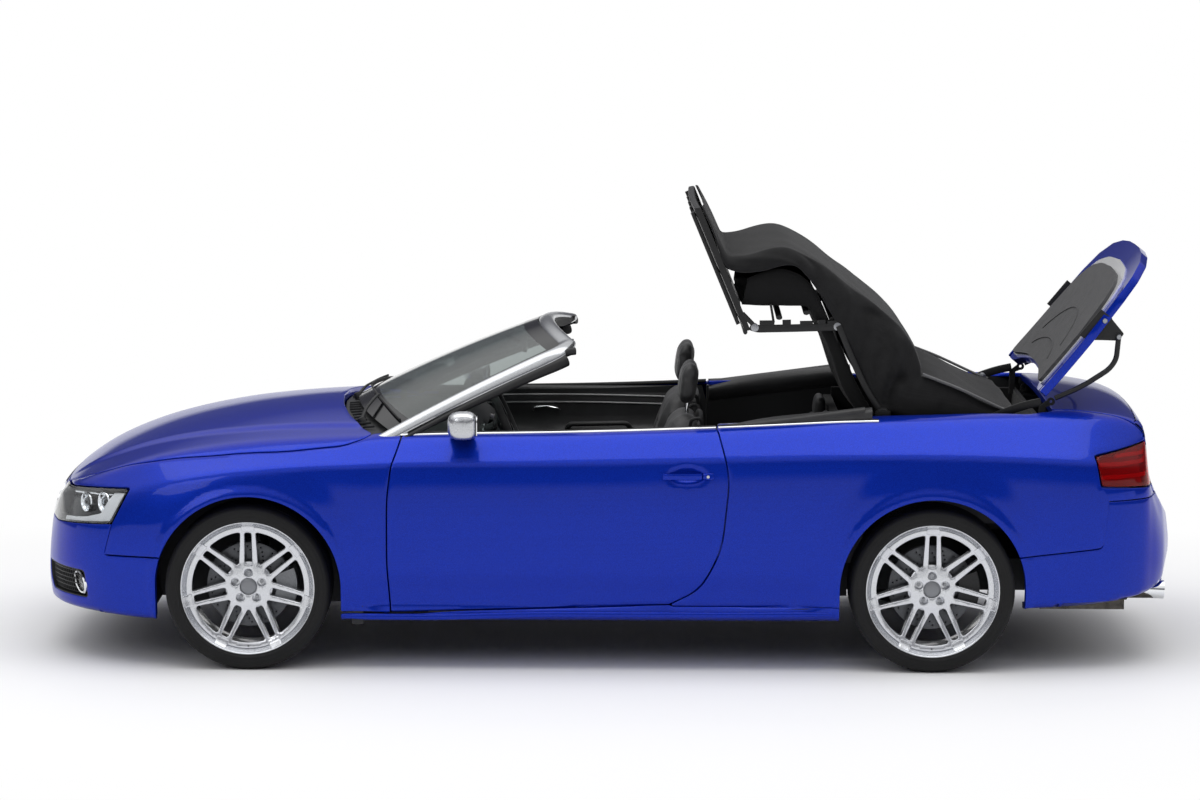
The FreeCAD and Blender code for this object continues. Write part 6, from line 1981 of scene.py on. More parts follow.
def lining(section, start, end, rise=0.0, piping_move=(0.0, 0.0)):
    """A moulded lining swept along the car, rounded off at both ends."""
    outline = rounded([Vector((0, y, z)) for y, z in section], 0.012, steps=4)
    rings = []
    for t in np.linspace(0, 1, 28):
        x = start + (end - start) * t
        round_off = 1 - 0.10 * max(0, 1 - min(t, 1 - t) / 0.05) ** 2
        rings.append([Vector((x, 0.756 + (p.y - 0.756) * round_off,
                              p.z + rise * t * (1 if p.z > 0.85 else 0))) for p in outline])
    pieces = [made_loose("board", *lofted(rings), LEATHER, 50)]
    for z, y in ((0.905 + piping_move[1], 0.736 + piping_move[0]),
                 (0.872 + piping_move[1], 0.734 + piping_move[0])):
        run = [(start + (end - start) * t, y, z + rise * t + 0.012 * math.sin(math.pi * t))
               for t in np.linspace(0.06, 0.94, 30)]
        pieces.append(carried("piping", PIPING, run, oval(0.007, 0.007, 8)))
    return pieces


def door_lining():
    pieces = lining(DOOR_LINING, -0.800, 0.405)
    handle = rounded([(-0.330, 0.736, 0.846), (-0.322, 0.722, 0.862), (-0.270, 0.718, 0.868),
                      (-0.225, 0.722, 0.858), (-0.215, 0.736, 0.850)], 0.02, closed=False)
    pieces.append(carried("handle", CHROME, handle, oval(0.016, 0.009)))
    grip = rounded([(-0.180, 0.716, 0.764), (-0.170, 0.700, 0.790), (0.080, 0.698, 0.796),
                    (0.100, 0.716, 0.770)], 0.03, closed=False)
    pieces.append(carried("grip", LEATHER, grip, oval(0.026, 0.022)))
    speaker = turned([(0, 0.004), (0.060, 0.003), (0.072, 0.0), (0.076, -0.006), (0, -0.006)], 48, False)
    pieces.append(spun("speaker_grille", SHELL_PLASTIC, speaker, (-0.600, 0.712, 0.540), (0, -1, 0)))
    return joined("door_lining_right", pieces, "door_right")


def quarter_lining():
    pieces = lining(QUARTER_LINING, 0.446, 1.030, rise=0.078, piping_move=(-0.014, 0.015))
    rings = []
    for t in np.linspace(0, 1, 24):
        x, low = 0.440 + 0.620 * t, 0.970 + 0.074 * t
        top = low + 0.026 * math.sin(min(1, t * 2.2) * math.pi / 2) * (1 - 0.5 * t)
        section = [(0.775, low - 0.030), (0.775, low + 0.004), (0.742, top), (0.698, top - 0.006),
                   (0.672, low - 0.018), (0.690, low - 0.080), (0.724, low - 0.086)]
        rings.append([Vector((x, y, z)) for y, z in smooth_section(section)])
    pieces.append(made_loose("shoulder_pad", *lofted(rings), LEATHER, 60))
    return joined("quarter_lining_right", pieces, "body")


other_side(door_lining(), "door_lining_left", "door_left")
other_side(quarter_lining(), "quarter_lining_left", "body")

# ------------------------------------------------------------------ dashboard and steering wheel
# A soft-skinned dashboard with a hooded instrument pod, a blank screen and round air vents, over
# satin trim; the wheel is a leather rim on a die-cast frame with a padded hub.

DASH = [(-0.930, 0.720), (-0.930, 0.895), (-0.880, 0.918), (-0.800, 0.926), (-0.600, 0.918),
        (-0.530, 0.895), (-0.478, 0.845), (-0.480, 0.705), (-0.620, 0.645), (-0.700, 0.562),
        (-0.925, 0.562)]


def dashboard():
    outline = rounded([Vector((x, 0, z)) for x, z in DASH], 0.03, steps=5)
    rings = []
    for t in np.linspace(-1, 1, 49):
        y = t * 0.636
        pod = math.exp(-(((y + SEAT_MIDDLE) / 0.155) ** 4))
        middle = math.exp(-((y / 0.16) ** 4))
        ring = []
        for p in outline:
            q = Vector((p.x, y, p.z))
            if p.x > -0.72 and p.z > 0.80:
                q.z += 0.018 * pod + 0.006 * middle
                q.x += 0.012 * pod
            ring.append(q)
        rings.append(ring)
    pieces = [made_loose("skin", *lofted(rings), SHELL_PLASTIC, 50)]
    trim = [(-0.470, y, 0.752) for y in np.linspace(-0.615, 0.615, 40)]
    pieces.append(carried("trim_strip", SATIN, trim, slab(0.010, 0.046, 0.004)))
    for y in (-0.585, -0.150, 0.150, 0.585):
        vent = turned([(0.026, 0.004), (0.032, 0.012), (0.038, 0.004), (0.038, -0.010), (0.026, -0.010)], 36)
        pieces.append(spun("vent_ring", SATIN, vent, (-0.482, y, 0.812), (0.9, 0, 0.3)))
        for k in range(-2, 3):
            pieces.append(carried("vent_slat", HOUSING_BLACK,
                                  [(-0.480, y - 0.024, 0.812 + k * 0.010),
                                   (-0.480, y + 0.024, 0.812 + k * 0.010)], slab(0.012, 0.002, 0.0005)))
    for s in (-1, 1):
        dial = turned([(0, -0.004), (0.052, -0.004), (0.054, 0.004), (0.058, 0.004), (0.058, -0.010),
                       (0, -0.010)], 48, False)
        place = (-0.500, -SEAT_MIDDLE + s * 0.066, 0.868)
        pieces.append(spun("dial", HOUSING_BLACK, dial, place, (0.95, 0, 0.3)))
        ring = turned([(0.054, 0.002), (0.058, 0.005), (0.060, 0.002), (0.058, -0.002)], 48)
        pieces.append(spun("dial_ring", SATIN, ring, place, (0.95, 0, 0.3)))
    screen = rounded([(-0.500, -0.095, 0.858), (-0.482, -0.095, 0.916), (-0.482, 0.095, 0.916),
                      (-0.500, 0.095, 0.858)], 0.008)
    back = [p - Vector((0.016, 0, -0.004)) for p in screen]
    pieces.append(made_loose("blank_screen", *lofted([screen, back]), FIRED_BLACK))
    joined("dashboard_skin", pieces, "body", ("dashboard",))


WHEEL_CENTRE = Vector((-0.415, -SEAT_MIDDLE, 0.935))
COLUMN_TILT = math.radians(24)


def steering_wheel():
    """The wheel is modelled about the Y axis facing +Y, then set on its column."""
    turn = Matrix.Rotation(-COLUMN_TILT, 4, "Y") @ Matrix.Rotation(math.radians(-90), 4, "Z")
    rim_section = [(0.168 + 0.0145 * math.cos(a), 0.0165 * math.sin(a))
                   for a in np.linspace(0, 2 * math.pi, 16, endpoint=False)]
    pieces = [made_loose("rim", *turned(rim_section, 96), LEATHER, 180)]
    for angle in (0, 180, 250, 290):
        a = math.radians(angle)
        way = Vector((math.cos(a), 0, math.sin(a)))
        run = [way * r + Vector((0, y, 0)) for r, y in ((0.045, -0.022), (0.090, -0.024), (0.130, -0.014),
                                                        (0.158, -0.002))]
        width = 0.040 if angle in (0, 180) else 0.024
        pieces.append(carried("spoke", SATIN if angle > 180 else SHELL_PLASTIC, run,
                              slab(width, 0.012, 0.004), (0, 1, 0)))
    hub = [(0, 0.006), (0.030, 0.004), (0.052, -0.003), (0.060, -0.016), (0.058, -0.030), (0.040, -0.040),
           (0, -0.040)]
    pieces.append(made_loose("hub_pad", *turned(hub, 48, False), LEATHER, 60))
    ring = [(0.058, -0.012), (0.061, -0.010), (0.063, -0.014), (0.061, -0.020)]
    pieces.append(made_loose("hub_ring", *turned(ring, 48), SATIN))
    stitches = turned([(0.1545, 0.0), (0.1535, 0.001), (0.1530, 0.0), (0.1535, -0.001)], 120)
    pieces.append(made_loose("stitch_line", *stitches, PIPING))
    joined("steering_wheel_assembly", pieces, "steering_wheel", ("steering_wheel",),
           place=Matrix.Translation(WHEEL_CENTRE) @ turn)
    column = [WHEEL_CENTRE + Vector((-math.cos(COLUMN_TILT), 0, -math.sin(COLUMN_TILT))) * r
              for r in (0.055, 0.19)]
    pieces = [carried("shroud", SHELL_PLASTIC, column,
                      smooth_section([(0.042, 0.03), (-0.042, 0.03), (-0.036, -0.04), (0.036, -0.04)]),
                      (0, 0, 1))]
    for s in (-1, 1):
        start = column[0] + Vector((-0.01, s * 0.035, 0.0))
        pieces.append(carried("stalk", SHELL_PLASTIC, [start, start + Vector((0.012, s * 0.075, 0.018))],
                              oval(0.012, 0.010), (0, 0, 1)))
    joined("column_shroud", pieces, "body")


dashboard()
steering_wheel()


def console_fittings():
    """Gear lever in its gaiter, the rims of two cup wells and an armrest pad on the middle console."""
    boot = turned([(0.0, 0.070), (0.012, 0.068), (0.018, 0.045), (0.034, 0.020), (0.048, 0.004),
                   (0.050, 0.0), (0, 0)], 24, False)
    knob = turned([(0, 0.150), (0.016, 0.146), (0.023, 0.128), (0.020, 0.104), (0.011, 0.092),
                   (0.010, 0.060), (0, 0.060)], 28, False)
    pieces = [spun("gaiter", LEATHER, boot, (-0.300, 0, 0.546), (-0.12, 0, 1)),
              spun("knob", SATIN, knob, (-0.300, 0, 0.546), (-0.12, 0, 1))]
    for x in (-0.040, 0.050):
        cup = turned([(0.034, 0.004), (0.040, 0.005), (0.042, 0.0), (0.038, -0.002), (0.034, -0.002)], 32)
        pieces.append(spun("cup_ring", SATIN, cup, (x, 0, 0.602), (0, 0, 1)))
    pad = rounded([(0.110, -0.095, 0.604), (0.110, 0.095, 0.604), (0.285, 0.095, 0.602),
                   (0.285, -0.095, 0.602)], 0.02)
    pieces.append(made_loose("armrest", *lofted([pad, [p + Vector((0, 0, 0.022)) for p in pad]]), LEATHER))
    joined("console_fittings", pieces, "body")


console_fittings()

# ------------------------------------------------------------------ folding roof
# A woven acrylic hood, part folded: it hangs in soft folds from the stiff front panel over two bows
# to a lobe behind the main links, then runs back over the stowage box; a black lining hangs inside.


def canvas(name, dark, light, threads):
    """Twill-woven hood cloth: raised threads both ways, matt with a little lint and sheen."""
    cloth = material(name, Roughness=0.9, Sheen_Weight=0.10, Sheen_Roughness=0.5, Specular_IOR_Level=0.3)
    warp, weft = (pattern(cloth, "Wave", bands_direction=way, Scale=threads, Distortion=0.6, Detail=1.0)
                  for way in ("Y", "DIAGONAL"))
    lint = pattern(cloth, "Noise", Scale=22.0, Detail=6.0)
    weave = add(cloth.node_tree, "ShaderNodeMath", {"operation": "MAXIMUM"}, {0: warp, 1: weft}).outputs[0]
    mixed = add(cloth.node_tree, "ShaderNodeMath", {"operation": "MULTIPLY_ADD", 1: 0.45},
                {0: weave, 2: lint})
    tinted(cloth, mixed.outputs[0], dark, light, 0.35, 1.0)
    embossed(cloth, weave, 0.4, 0.0006)
    return cloth


# the threads are 0.7 mm apart, drawn here at 2 mm so that they show
HOOD_CLOTH = canvas("black_woven_acrylic_hood", "0C0C0D", "1C1C1D", 157.0)
LINING_FELT = canvas("black_felt_lining", "050506", "0C0C0D", 210.0)
HOOD_HALF = 0.575
HOOD_TOP = [(0.374, 1.853), (0.430, 1.738), (0.472, 1.660), (0.500, 1.644), (0.560, 1.648), (0.640, 1.684),
            (0.712, 1.690), (0.780, 1.660), (0.870, 1.618), (0.968, 1.530), (1.010, 1.500), (1.070, 1.462),
            (1.130, 1.412), (1.190, 1.350), (1.248, 1.272), (1.268, 1.205), (1.262, 1.160), (1.285, 1.158),
            (1.330, 1.150), (1.420, 1.108), (1.520, 1.060), (1.600, 1.024), (1.660, 1.006)]
HOOD_EDGE = [(0.374, 1.850), (0.424, 1.730), (0.452, 1.640), (0.470, 1.600), (0.540, 1.578), (0.620, 1.596),
             (0.700, 1.618), (0.760, 1.616), (0.806, 1.570), (0.850, 1.502), (0.868, 1.470), (0.900, 1.420),
             (0.930, 1.365), (0.962, 1.300), (1.000, 1.215), (1.040, 1.110), (1.090, 1.012), (1.180, 0.998),
             (1.260, 1.000), (1.400, 0.998), (1.500, 0.992), (1.590, 0.986), (1.652, 0.984)]
LINING_TOP = [(0.560, 1.560), (0.640, 1.590), (0.710, 1.600), (0.770, 1.580), (0.830, 1.520),
              (0.875, 1.440), (0.915, 1.345), (0.960, 1.240), (1.005, 1.140), (1.050, 1.050),
              (1.085, 1.000)]
LINING_LOW = [(0.540, 1.455), (0.620, 1.448), (0.700, 1.452), (0.770, 1.450), (0.815, 1.442),
              (0.850, 1.385), (0.885, 1.300), (0.920, 1.205), (0.955, 1.120), (0.990, 1.045),
              (1.040, 0.985)]
# folds that run down the sides: place along the hood, place down the side at each end, height, width
SIDE_FOLDS = [(13.2, 16.2, 0.20, 0.85, 0.026, 0.45), (9.0, 12.5, 0.10, 0.95, 0.014, 0.5),
              (15.2, 16.8, 0.50, 1.00, -0.030, 0.35), (4.0, 6.8, 0.20, 0.90, 0.010, 0.5),
              (7.2, 8.6, 0.10, 0.80, -0.012, 0.4), (11.6, 14.4, 0.35, 1.00, -0.014, 0.4)]
CLOTH_THICKNESS = 0.003
# how far round a quarter turn the top's spacing goes, and how far the cloth stands out at the shoulder
CLOTH_SPAN = 0.94 * math.pi / 2
SHOULDER_BULGE = 0.022


def smoothed_row(points, count):
    """A path through points, evenly stepped and smoothed, with each point's place in the list."""
    at = np.linspace(0, len(points) - 1, count)
    path = np.stack([np.interp(at, range(len(points)), [p[k] for p in points]) for k in (0, 1)], axis=1)
    for _ in range(6):
        path[1:-1] = (path[:-2] + 2 * path[1:-1] + path[2:]) / 4
    return path, at


def hung_cloth(name, top, edge, half, finish, crown, folds, sag, shoulder=0.66, count=120, across=74):
    """A sheet over the roof: flat across its width, turned down at both shoulders to its lower edges."""
    upper, at = smoothed_row(top, count)
    lower, _ = smoothed_row(edge, count)
    rows = []
    for k in range(count):
        row = []
        tangent = upper[min(k + 1, count - 1)] - upper[max(k - 1, 0)]
        tangent /= np.hypot(*tangent)
        out = np.array([-tangent[1], tangent[0]])
        for s in np.linspace(-1, 1, across + 1):
            a = abs(s)
            down = max(0.0, (a - shoulder) / (1 - shoulder))
            soft = down * down * (3 - 2 * down) * 0.35 + down * 0.65
            x, z = upper[k] * (1 - soft) + lower[k] * soft
            if a < shoulder:
                y = half * math.sin(a / shoulder * CLOTH_SPAN) / math.sin(CLOTH_SPAN)
            else:
                y = half + SHOULDER_BULGE * math.sin(math.pi * down * 0.8)
            middle = 1 - min(1, a / shoulder) ** 2
            lift = crown * middle + sag * math.sin(at[k] * 2.1) * (0.4 + 0.6 * middle)
            lift += 0.0022 * math.sin(17 * s + 1.7 * at[k]) * math.sin(0.9 * at[k] + 3 * s)
            bulge = 0.0
            for start, end, high, low, rise, width in folds:
                if high - 0.2 < down < low + 0.15:
                    share = min(1.0, max(0.0, (down - high) / (low - high)))
                    line_at = start + (end - start) * share + (0.25 if s > 0 else 0.0)
                    bulge += rise * math.exp(-((at[k] - line_at) / width) ** 2) * min(1,
                                                                                      down * 4) * (1
                                                                                                   if s < 0
                                                                                                   else 0.8)
            x, z = x + out[0] * lift, z + out[1] * lift
            row.append(Vector((x, math.copysign(y + bulge, s), z)))
        rows.append(row)
    n = across + 1
    skin = [p for row in rows for p in row]
    faces = [(k * n + i, k * n + i + 1, (k + 1) * n + i + 1, (k + 1) * n + i) for k in range(count - 1)
             for i in range(across)]
    made = made_loose(name, skin, faces, finish, 180)
    wall_mod = made.modifiers.new("thickness", "SOLIDIFY")
    wall_mod.thickness, wall_mod.offset = CLOTH_THICKNESS, 0
    bake(made)
    return made, sum(f.area for f in made.data.polygons) / 2


hood, hood_area = hung_cloth("hood_cloth", HOOD_TOP, HOOD_EDGE, HOOD_HALF, HOOD_CLOTH, 0.010, SIDE_FOLDS,
                             0.004)
dress(hood, "body", ("roof_fabric",))
lining_cloth, lining_area = hung_cloth("hood_lining", LINING_LOW, LINING_TOP, 0.548, LINING_FELT, -0.012,
                                       [], 0.004, shoulder=0.74, count=70, across=60)
dress(lining_cloth, "body")

# die-cast and pressed frame in black: front panel, side rails with their gas-strut lugs, main links,
# pivots, bows, and the edge strips that carry the cloth over the stowage box
FRAME_BLACK = speckled("black_coated_cast_aluminium", "111112", "1B1B1C", 0.48, 260.0, 0.0004, metallic=0.2)
EDGE_GREY = speckled("grey_moulded_edge_strip", "4A4A4B", "5E5E60", 0.50, 420.0, 0.0003)
RAIL_Y = 0.586
PIVOT = (1.112, 1.012)


def roof_frame():
    panel_side = rounded([(0.541, 0, 1.346), (0.563, 0, 1.350), (0.357, 0, 1.851), (0.330, 0, 1.846)], 0.008)
    rings = []
    for t in np.linspace(-1, 1, 33):
        tuck = 1 - 0.006 * abs(t) ** 8
        rings.append([Vector((p.x + 0.010 * t * t, 0.596 * t, 1.6 + (p.z - 1.6) * tuck)) for p in panel_side])
    pieces = [made_loose("front_panel", *lofted(rings), FRAME_BLACK, 50)]
    down, out_way = Vector((0.205, 0, -0.49)).normalized(), Vector((-0.92, 0, -0.39))
    for y in (-0.565, -0.28, 0.0, 0.28, 0.565):
        start = Vector((0.338, y, 1.828)) + out_way * 0.004
        pieces.append(carried("panel_rib", FRAME_BLACK, [start, start + down * 0.49],
                              slab(0.040 if abs(y) > 0.5 else 0.018, 0.016, 0.004), out_way))
    for share in (0.05, 0.55, 0.96):
        place = Vector((0.338, 0, 1.828)) + down * 0.50 * share + out_way * 0.003
        pieces.append(carried("panel_cross_rib", FRAME_BLACK,
                              [place + Vector((0, -0.56, 0)), place + Vector((0, 0.56, 0))],
                              slab(0.022, 0.012, 0.004), out_way))
    lip = [(0.552, y, 1.344) for y in np.linspace(-0.594, 0.594, 30)]
    pieces.append(carried("front_seal", SEAL_RUBBER, lip, oval(0.018, 0.022)))
    for s in (1, -1):
        y = s * RAIL_Y
        rail = rounded([(0.572, y, 1.366), (0.600, y, 1.356), (0.760, y, 1.360), (0.930, y, 1.366)], 0.04,
                       closed=False)
        pieces.append(carried("rail", FRAME_BLACK, rail, slab(0.026, 0.030, 0.006)))
        for x, w, h in ((0.640, 0.060, 0.016), (0.720, 0.034, 0.022), (0.800, 0.052, 0.014),
                        (0.862, 0.030, 0.024), (0.905, 0.040, 0.018)):
            pieces.append(carried("rail_lug", FRAME_BLACK, [(x - w / 2, y, 1.376), (x + w / 2, y, 1.377)],
                                  slab(0.018, h + 0.012, 0.005)))
        hinge = turned([(0, 0.018), (0.014, 0.018), (0.016, 0.014), (0.016, -0.014), (0, -0.018)], 24, False)
        for x, z in ((0.590, 1.362), (0.926, 1.368)):
            pieces.append(spun("rail_pin", BOLT_STEEL, hinge, (x, y, z)))
        link = rounded([(0.930, y, 1.372), (0.975, y, 1.262), (1.045, y, 1.110), (PIVOT[0], y, PIVOT[1])],
                       0.10, closed=False)
        pieces.append(carried("main_link", FRAME_BLACK, link, slab(0.026, 0.046, 0.008), (0, 1, 0)))
        second = rounded([(0.905, y - s * 0.030, 1.380), (0.935, y - s * 0.030, 1.262),
                          (1.000, y - s * 0.030, 1.100), (1.062, y - s * 0.030, 1.000)], 0.08, closed=False)
        pieces.append(carried("control_link", FRAME_BLACK, second, slab(0.014, 0.026, 0.005), (0, 1, 0)))
        strut = [(0.540, y, 1.418), (0.585, y, 1.372)]
        pieces.append(carried("panel_link", FRAME_BLACK, strut, slab(0.018, 0.026, 0.004), (0, 1, 0)))
        thin = [(0.655, y - s * 0.02, 1.455), (0.668, y - s * 0.02, 1.380)]
        pieces.append(carried("bow_hanger", FRAME_BLACK, thin, slab(0.010, 0.010, 0.002), (0, 1, 0)))
        pivot = turned([(0, 0.034), (0.024, 0.034), (0.028, 0.028), (0.028, -0.026), (0, -0.026)], 32, False)
        pieces.append(made_loose("main_pivot",
                                 [Vector((p.x + PIVOT[0], p.y * s + y + s * 0.024, p.z + PIVOT[1]))
                                  for p in pivot[0]], pivot[1], FRAME_BLACK))
        pieces.append(carried("pivot_foot", FRAME_BLACK,
                              [(PIVOT[0], s * 0.641, 0.888), (PIVOT[0], s * 0.641, 1.030)],
                              slab(0.060, 0.015, 0.004), (0, 1, 0)))
        strip = rounded([(1.276, s * 0.578, 1.172), (1.420, s * 0.588, 1.118), (1.600, s * 0.590, 1.034),
                         (1.652, s * 0.588, 1.016)], 0.05, closed=False)
        pieces.append(carried("edge_strip", EDGE_GREY, strip, slab(0.032, 0.010, 0.004)))
    for x, z in ((0.690, 1.400), (0.800, 1.420), (0.905, 1.395)):
        bow = [(x, y, z + 0.018 * (1 - (y / 0.57) ** 2)) for y in np.linspace(-0.57, 0.57, 30)]
        pieces.append(carried("bow", FRAME_BLACK, bow, oval(0.026, 0.018), (0, 0, 1)))
    joined("roof_frame_assembly", pieces, "body", ("roof_frame",))


roof_frame()

# ------------------------------------------------------------------ raised stowage cover
# The painted cover is lined with grey pressed felt inside a bright rim; it stands on bent round bars
# behind and jointed black arms in front.

LINER_HALF = [(1.722, 0.0), (1.726, 0.22), (1.744, 0.36), (1.766, 0.50), (1.762, 0.542), (1.500, 0.532),
              (1.340, 0.484), (1.262, 0.395), (1.226, 0.240), (1.216, 0.0)]
RIM_HALF = [(1.724, 0.0), (1.728, 0.22), (1.746, 0.36), (1.772, 0.50), (1.768, 0.568), (1.500, 0.562),
            (1.318, 0.516), (1.226, 0.424), (1.184, 0.260), (1.170, 0.0)]
GREY_FELT = canvas("grey_pressed_felt", "2F2F30", "464648", 240.0)
RIM_WHITE = speckled("bright_silver_painted_rim", "D4D5D6", "E8E9EA", 0.22, 600.0, 0.00008, metallic=0.35)


def cover_inside():
    rim = line("top", RIM_HALF, radius=0.05)
    felt = line("top", LINER_HALF, radius=0.05)
    joined("cover_rim", [panel("rim", ALONG, rim + mirror_points(rim), RIM_WHITE, spacing=0.022,
                               depth=0.012, lift=-0.030, edge=0.005, body=None, turn=RAISED)], "roof_cover")
    pieces = [panel("liner", ALONG, felt + mirror_points(felt), GREY_FELT, spacing=0.020, depth=0.016,
                    lift=-0.040, edge=0.006, body=None, turn=RAISED)]
    for reach in (0.10, 0.235):
        press = []
        for a in np.linspace(-1.1, 1.1, 30):
            place = seen_from("top", 1.735 - reach * 1.25 * math.cos(a), 0.30 * math.sin(a) * (1 + reach))
            press.append(RAISED @ (place - Vector((0, 0, 0.0575))))
        pieces.append(carried("press_line", GREY_FELT, press, oval(0.006, 0.005, 8),
                              RAISED.to_3x3() @ Vector((0, 0, 1))))
    joined("cover_liner_pad", pieces, "roof_cover", ("cover_liner",))


def bent_bar(points, radius, finish, bend=0.05):
    return carried("bar", finish, rounded(points, bend, closed=False, steps=7),
                   oval(2 * radius, 2 * radius, 16), (0, 1, 0))


# the arms stand in the cover's hinge notch, so that it can close past them
ARM_Y = 0.602


def cover_supports():
    pieces, arms = [], []
    for s in (1, -1):
        y = 0.606 * s
        pieces.append(bent_bar([(1.812, y, 1.080), (1.920, y, 1.128), (2.030, y, 1.200), (2.058, y, 1.240),
                                (2.066, y, 1.334)], 0.011, FRAME_BLACK))
        plate = rounded([(1.928, 1.322, 0), (1.936, 1.318, 0), (1.999, 1.318, 0), (2.066, 1.316, 0),
                         (2.089, 1.344, 0), (2.022, 1.424, 0), (2.014, 1.428, 0)], 0.008)
        rings = [[Vector((p.x, y + side * s, p.y)) for p in plate] for side in (-0.022, -0.006)]
        pieces.append(made_loose("bracket", *lofted(rings), FRAME_BLACK))
        spine = [Vector((1.930, y, 1.322)), Vector((1.972, y, 1.373)), Vector((2.016, y, 1.426))]
        pieces.append(carried("bracket_foot", FRAME_BLACK, spine, slab(0.060, 0.008, 0.003), (0, 1, 0)))
        for x, z in ((2.066, 1.333), (1.962, 1.345), (2.008, 1.398)):
            pin = turned([(0, 0.026), (0.009, 0.026), (0.011, 0.022), (0.011, -0.012), (0, -0.012)], 20,
                         False)
            spot = [Vector((p.x + x, y - 0.010 * s + p.y * s, p.z + z)) for p in pin[0]]
            pieces.append(made_loose("bracket_pin", spot, pin[1], BOLT_STEEL))
        y = ARM_Y * s
        arm = rounded([(1.756, y, 1.064), (1.690, y, 1.050), (1.620, y, 1.026), (1.552, y, 0.996),
                       (1.540, y, 0.972)], 0.03, closed=False)
        arms.append(carried("upper_arm", FRAME_BLACK, arm, slab(0.034, 0.012, 0.004), (0, 1, 0)))
        y -= 0.016 * s
        low = rounded([(1.540, y, 0.984), (1.560, y, 0.930), (1.640, y, 0.830)], 0.03, closed=False)
        arms.append(carried("lower_arm", FRAME_BLACK, low, slab(0.030, 0.012, 0.004), (0, 1, 0)))
        for x, z in ((1.540, 0.982), (1.628, 1.026)):
            pin = turned([(0, 0.018), (0.012, 0.018), (0.015, 0.012), (0.015, -0.012), (0, -0.018)], 24,
                         False)
            arms.append(spun("arm_pin", BOLT_STEEL, pin, (x, y, z)))
        ram = [(1.626, y, 1.026), (1.604, y, 0.950), (1.592, y, 0.860)]
        arms.append(carried("ram", SEAL_RUBBER, ram, oval(0.020, 0.020, 14), (0, 1, 0)))
    joined("cover_bars_bent", pieces, "roof_cover", ("cover_bars",))
    joined("cover_arms", arms, "body")


cover_inside()
cover_supports()

# ------------------------------------------------------------------ underbody and running gear
# Pressed and welded steel under sealer and paint, with carpet inside; cast and pressed suspension
# arms, an alloy engine block and a stainless exhaust.

SEALER = speckled("sealed_and_painted_body_steel", "131417", "202226", 0.62, 60.0, 0.0006)
CARPET = canvas("black_tufted_carpet", "101011", "1F1F20", 300.0)
CAST_ALLOY = speckled("sand_cast_aluminium", "6E7073", "8C8E91", 0.50, 240.0, 0.0006, metallic=0.9)
CHASSIS_BLACK = speckled("black_stove_enamelled_steel", "141415", "202022", 0.40, 180.0, 0.0004, metallic=0.3)
STAINLESS = speckled("heat_stained_stainless_steel", "3A3835", "5A5752", 0.30, 34.0, 0.0001, metallic=1.0)
core("tub_floor", "floor_tub", "body", SEALER, inset=0.007, trim=CARPET, trim_inside=0.76,
     trim_above=0.235, replaces=("tub_floor",))
for node, finish in (("tub_front", SEALER), ("tub_rear_floor", SEALER), ("tub_roof_box", CARPET),
                     ("tub_boot", SEALER), ("console", SHELL_PLASTIC), ("engine", CAST_ALLOY),
                     ("exhaust", STAINLESS), ("front_suspension", CHASSIS_BLACK),
                     ("rear_axle", CHASSIS_BLACK), ("knuckle_left", CAST_ALLOY),
                     ("knuckle_right", CAST_ALLOY)):
    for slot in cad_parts[node].material_slots:
        slot.material = finish


# ------------------------------------------------------------------ rear valance and plate
# Grained black plastic below the rear bumper, let in round four chromed exhaust tips, and a blank
# pressed plate in its holder on the boot lid.

PLATE_WHITE = speckled("pressed_white_plate", "D8D8D4", "E4E4E0", 0.35, 300.0, 0.0001, metallic=0.1)
PLATE_Z = 0.800
# near black in the tips: soot, and painted shade for the pipes' dark insides
SOOT_AND_SHADE = speckled("soot_and_painted_shade_in_the_tips", "050505", "0B0B0B", 0.9, 900.0, 0.0002)
VALANCE_HALF = 0.74


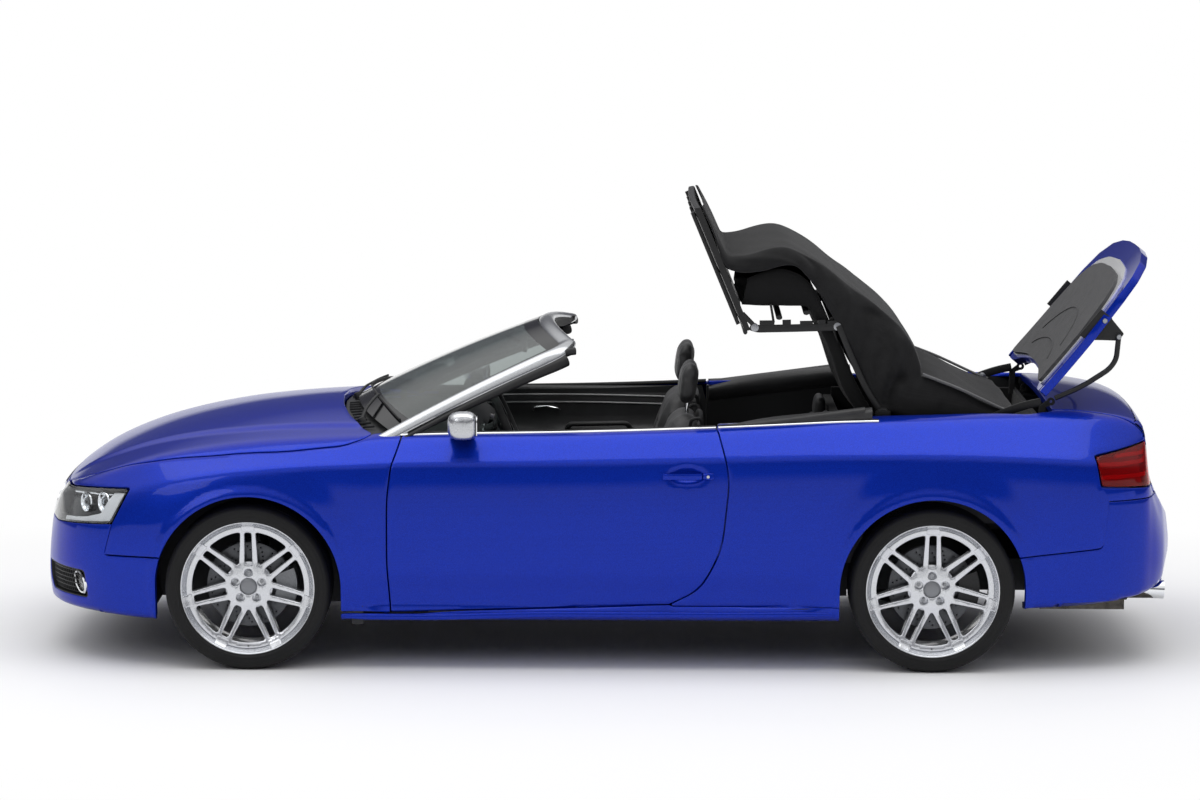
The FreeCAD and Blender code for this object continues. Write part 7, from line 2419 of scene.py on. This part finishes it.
def rear_valance():
    """Grained black plastic under the rear bumper, let in around the exhaust tips, with upright fins."""
    rings = []
    for y in np.linspace(-VALANCE_HALF, VALANCE_HALF, 149):
        bumper = seen_from("back", float(np.clip(y, -0.70, 0.70)), 0.392)
        near_tips = max(0.0, 1 - abs(abs(y) - 0.485) / 0.135)
        low = 0.275 + 0.055 * eased(near_tips, 0.0, 0.45)
        high = bumper.z + 0.004
        depth = 0.022 + (0.050 if abs(y) > 0.70 else 0.0)
        lean = 0.045 * (high - low) / 0.11
        face = [(bumper.x - 0.026, high), (bumper.x - 0.028 - 0.3 * lean, high - 0.35 * (high - low)),
                (bumper.x - 0.032 - lean, low)]
        rings.append([Vector((x - 0.02, y, z)) for x, z in face] + [Vector((x - 0.02 - depth, y, z)) for x,
                                                                    z in face[::-1]])
    pieces = [made_loose("valance", *lofted(rings), GRILLE_BLACK)]
    for y in (-0.27, -0.18, -0.09, 0.0, 0.09, 0.18, 0.27):
        bumper = seen_from("back", y, 0.392)
        fin = [Vector((bumper.x - 0.044, y, 0.376)), Vector((bumper.x - 0.058, y, 0.335)),
               Vector((bumper.x - 0.092, y, 0.281))]
        pieces.append(carried("fin", GRILLE_BLACK, fin, slab(0.006, 0.036, 0.002), (1, 0, 0)))
    return joined("rear_valance", pieces, "body")


def exhaust_tips():
    pieces = []
    for y in (-0.530, -0.440, 0.440, 0.530):
        place, aim = (2.262, y, 0.282), (1, 0, -0.04)
        profile = [(0.0365, -0.085), (0.0370, 0.0), (0.0385, 0.014), (0.0385, 0.019), (0.0345, 0.020),
                   (0.0325, 0.016), (0.0325, -0.020)]
        ring = turned(profile, 48)
        pieces.append(spun("tip", CHROME, ring, place, aim))
        # a black plug a centimetre inside each tip stands for the pipe beyond it: soot and painted shade
        plug = turned([(0, 0.0105), (0.0335, 0.0105), (0.0335, -0.020), (0, -0.020)], 32, False)
        pieces.append(spun("soot", SOOT_AND_SHADE, plug, place, aim))
    joined("exhaust_tips", pieces, "body")


def number_plate():
    """A blank plate in its holder, held by two screws."""
    face = seen_from("back", 0.0, PLATE_Z).x + 0.006
    outline = rounded([(face, -0.260, 0.745), (face, 0.260, 0.745), (face, 0.260, 0.855),
                       (face, -0.260, 0.855)], 0.010)
    inner = [Vector((face + 0.001, p.y * 0.985, 0.8 + (p.z - 0.8) * 0.93)) for p in outline]
    back = [p - Vector((0.016, 0, 0)) for p in outline]
    pieces = [made_loose("holder", *lofted([outline, back]), GRILLE_BLACK),
              made_loose("plate", *lofted([inner, [p + Vector((0.0015, 0, 0)) for p in inner]]), PLATE_WHITE)]
    head = made_loose("head", *turned([(0, 0.003), (0.004, 0.0028), (0.0058, 0.0), (0.0058, -0.004),
                                       (0, -0.004)], 20, False), BOLT_STEEL)
    spots = [((face + 0.0025, y, PLATE_Z), (0, 0, math.radians(-90))) for y in (-0.170, 0.170)]
    pieces.append(copies("plate_screws", head, spots, BOLT_STEEL))
    joined("blank_number_plate", pieces, "boot_lid")


rear_valance()
exhaust_tips()
number_plate()
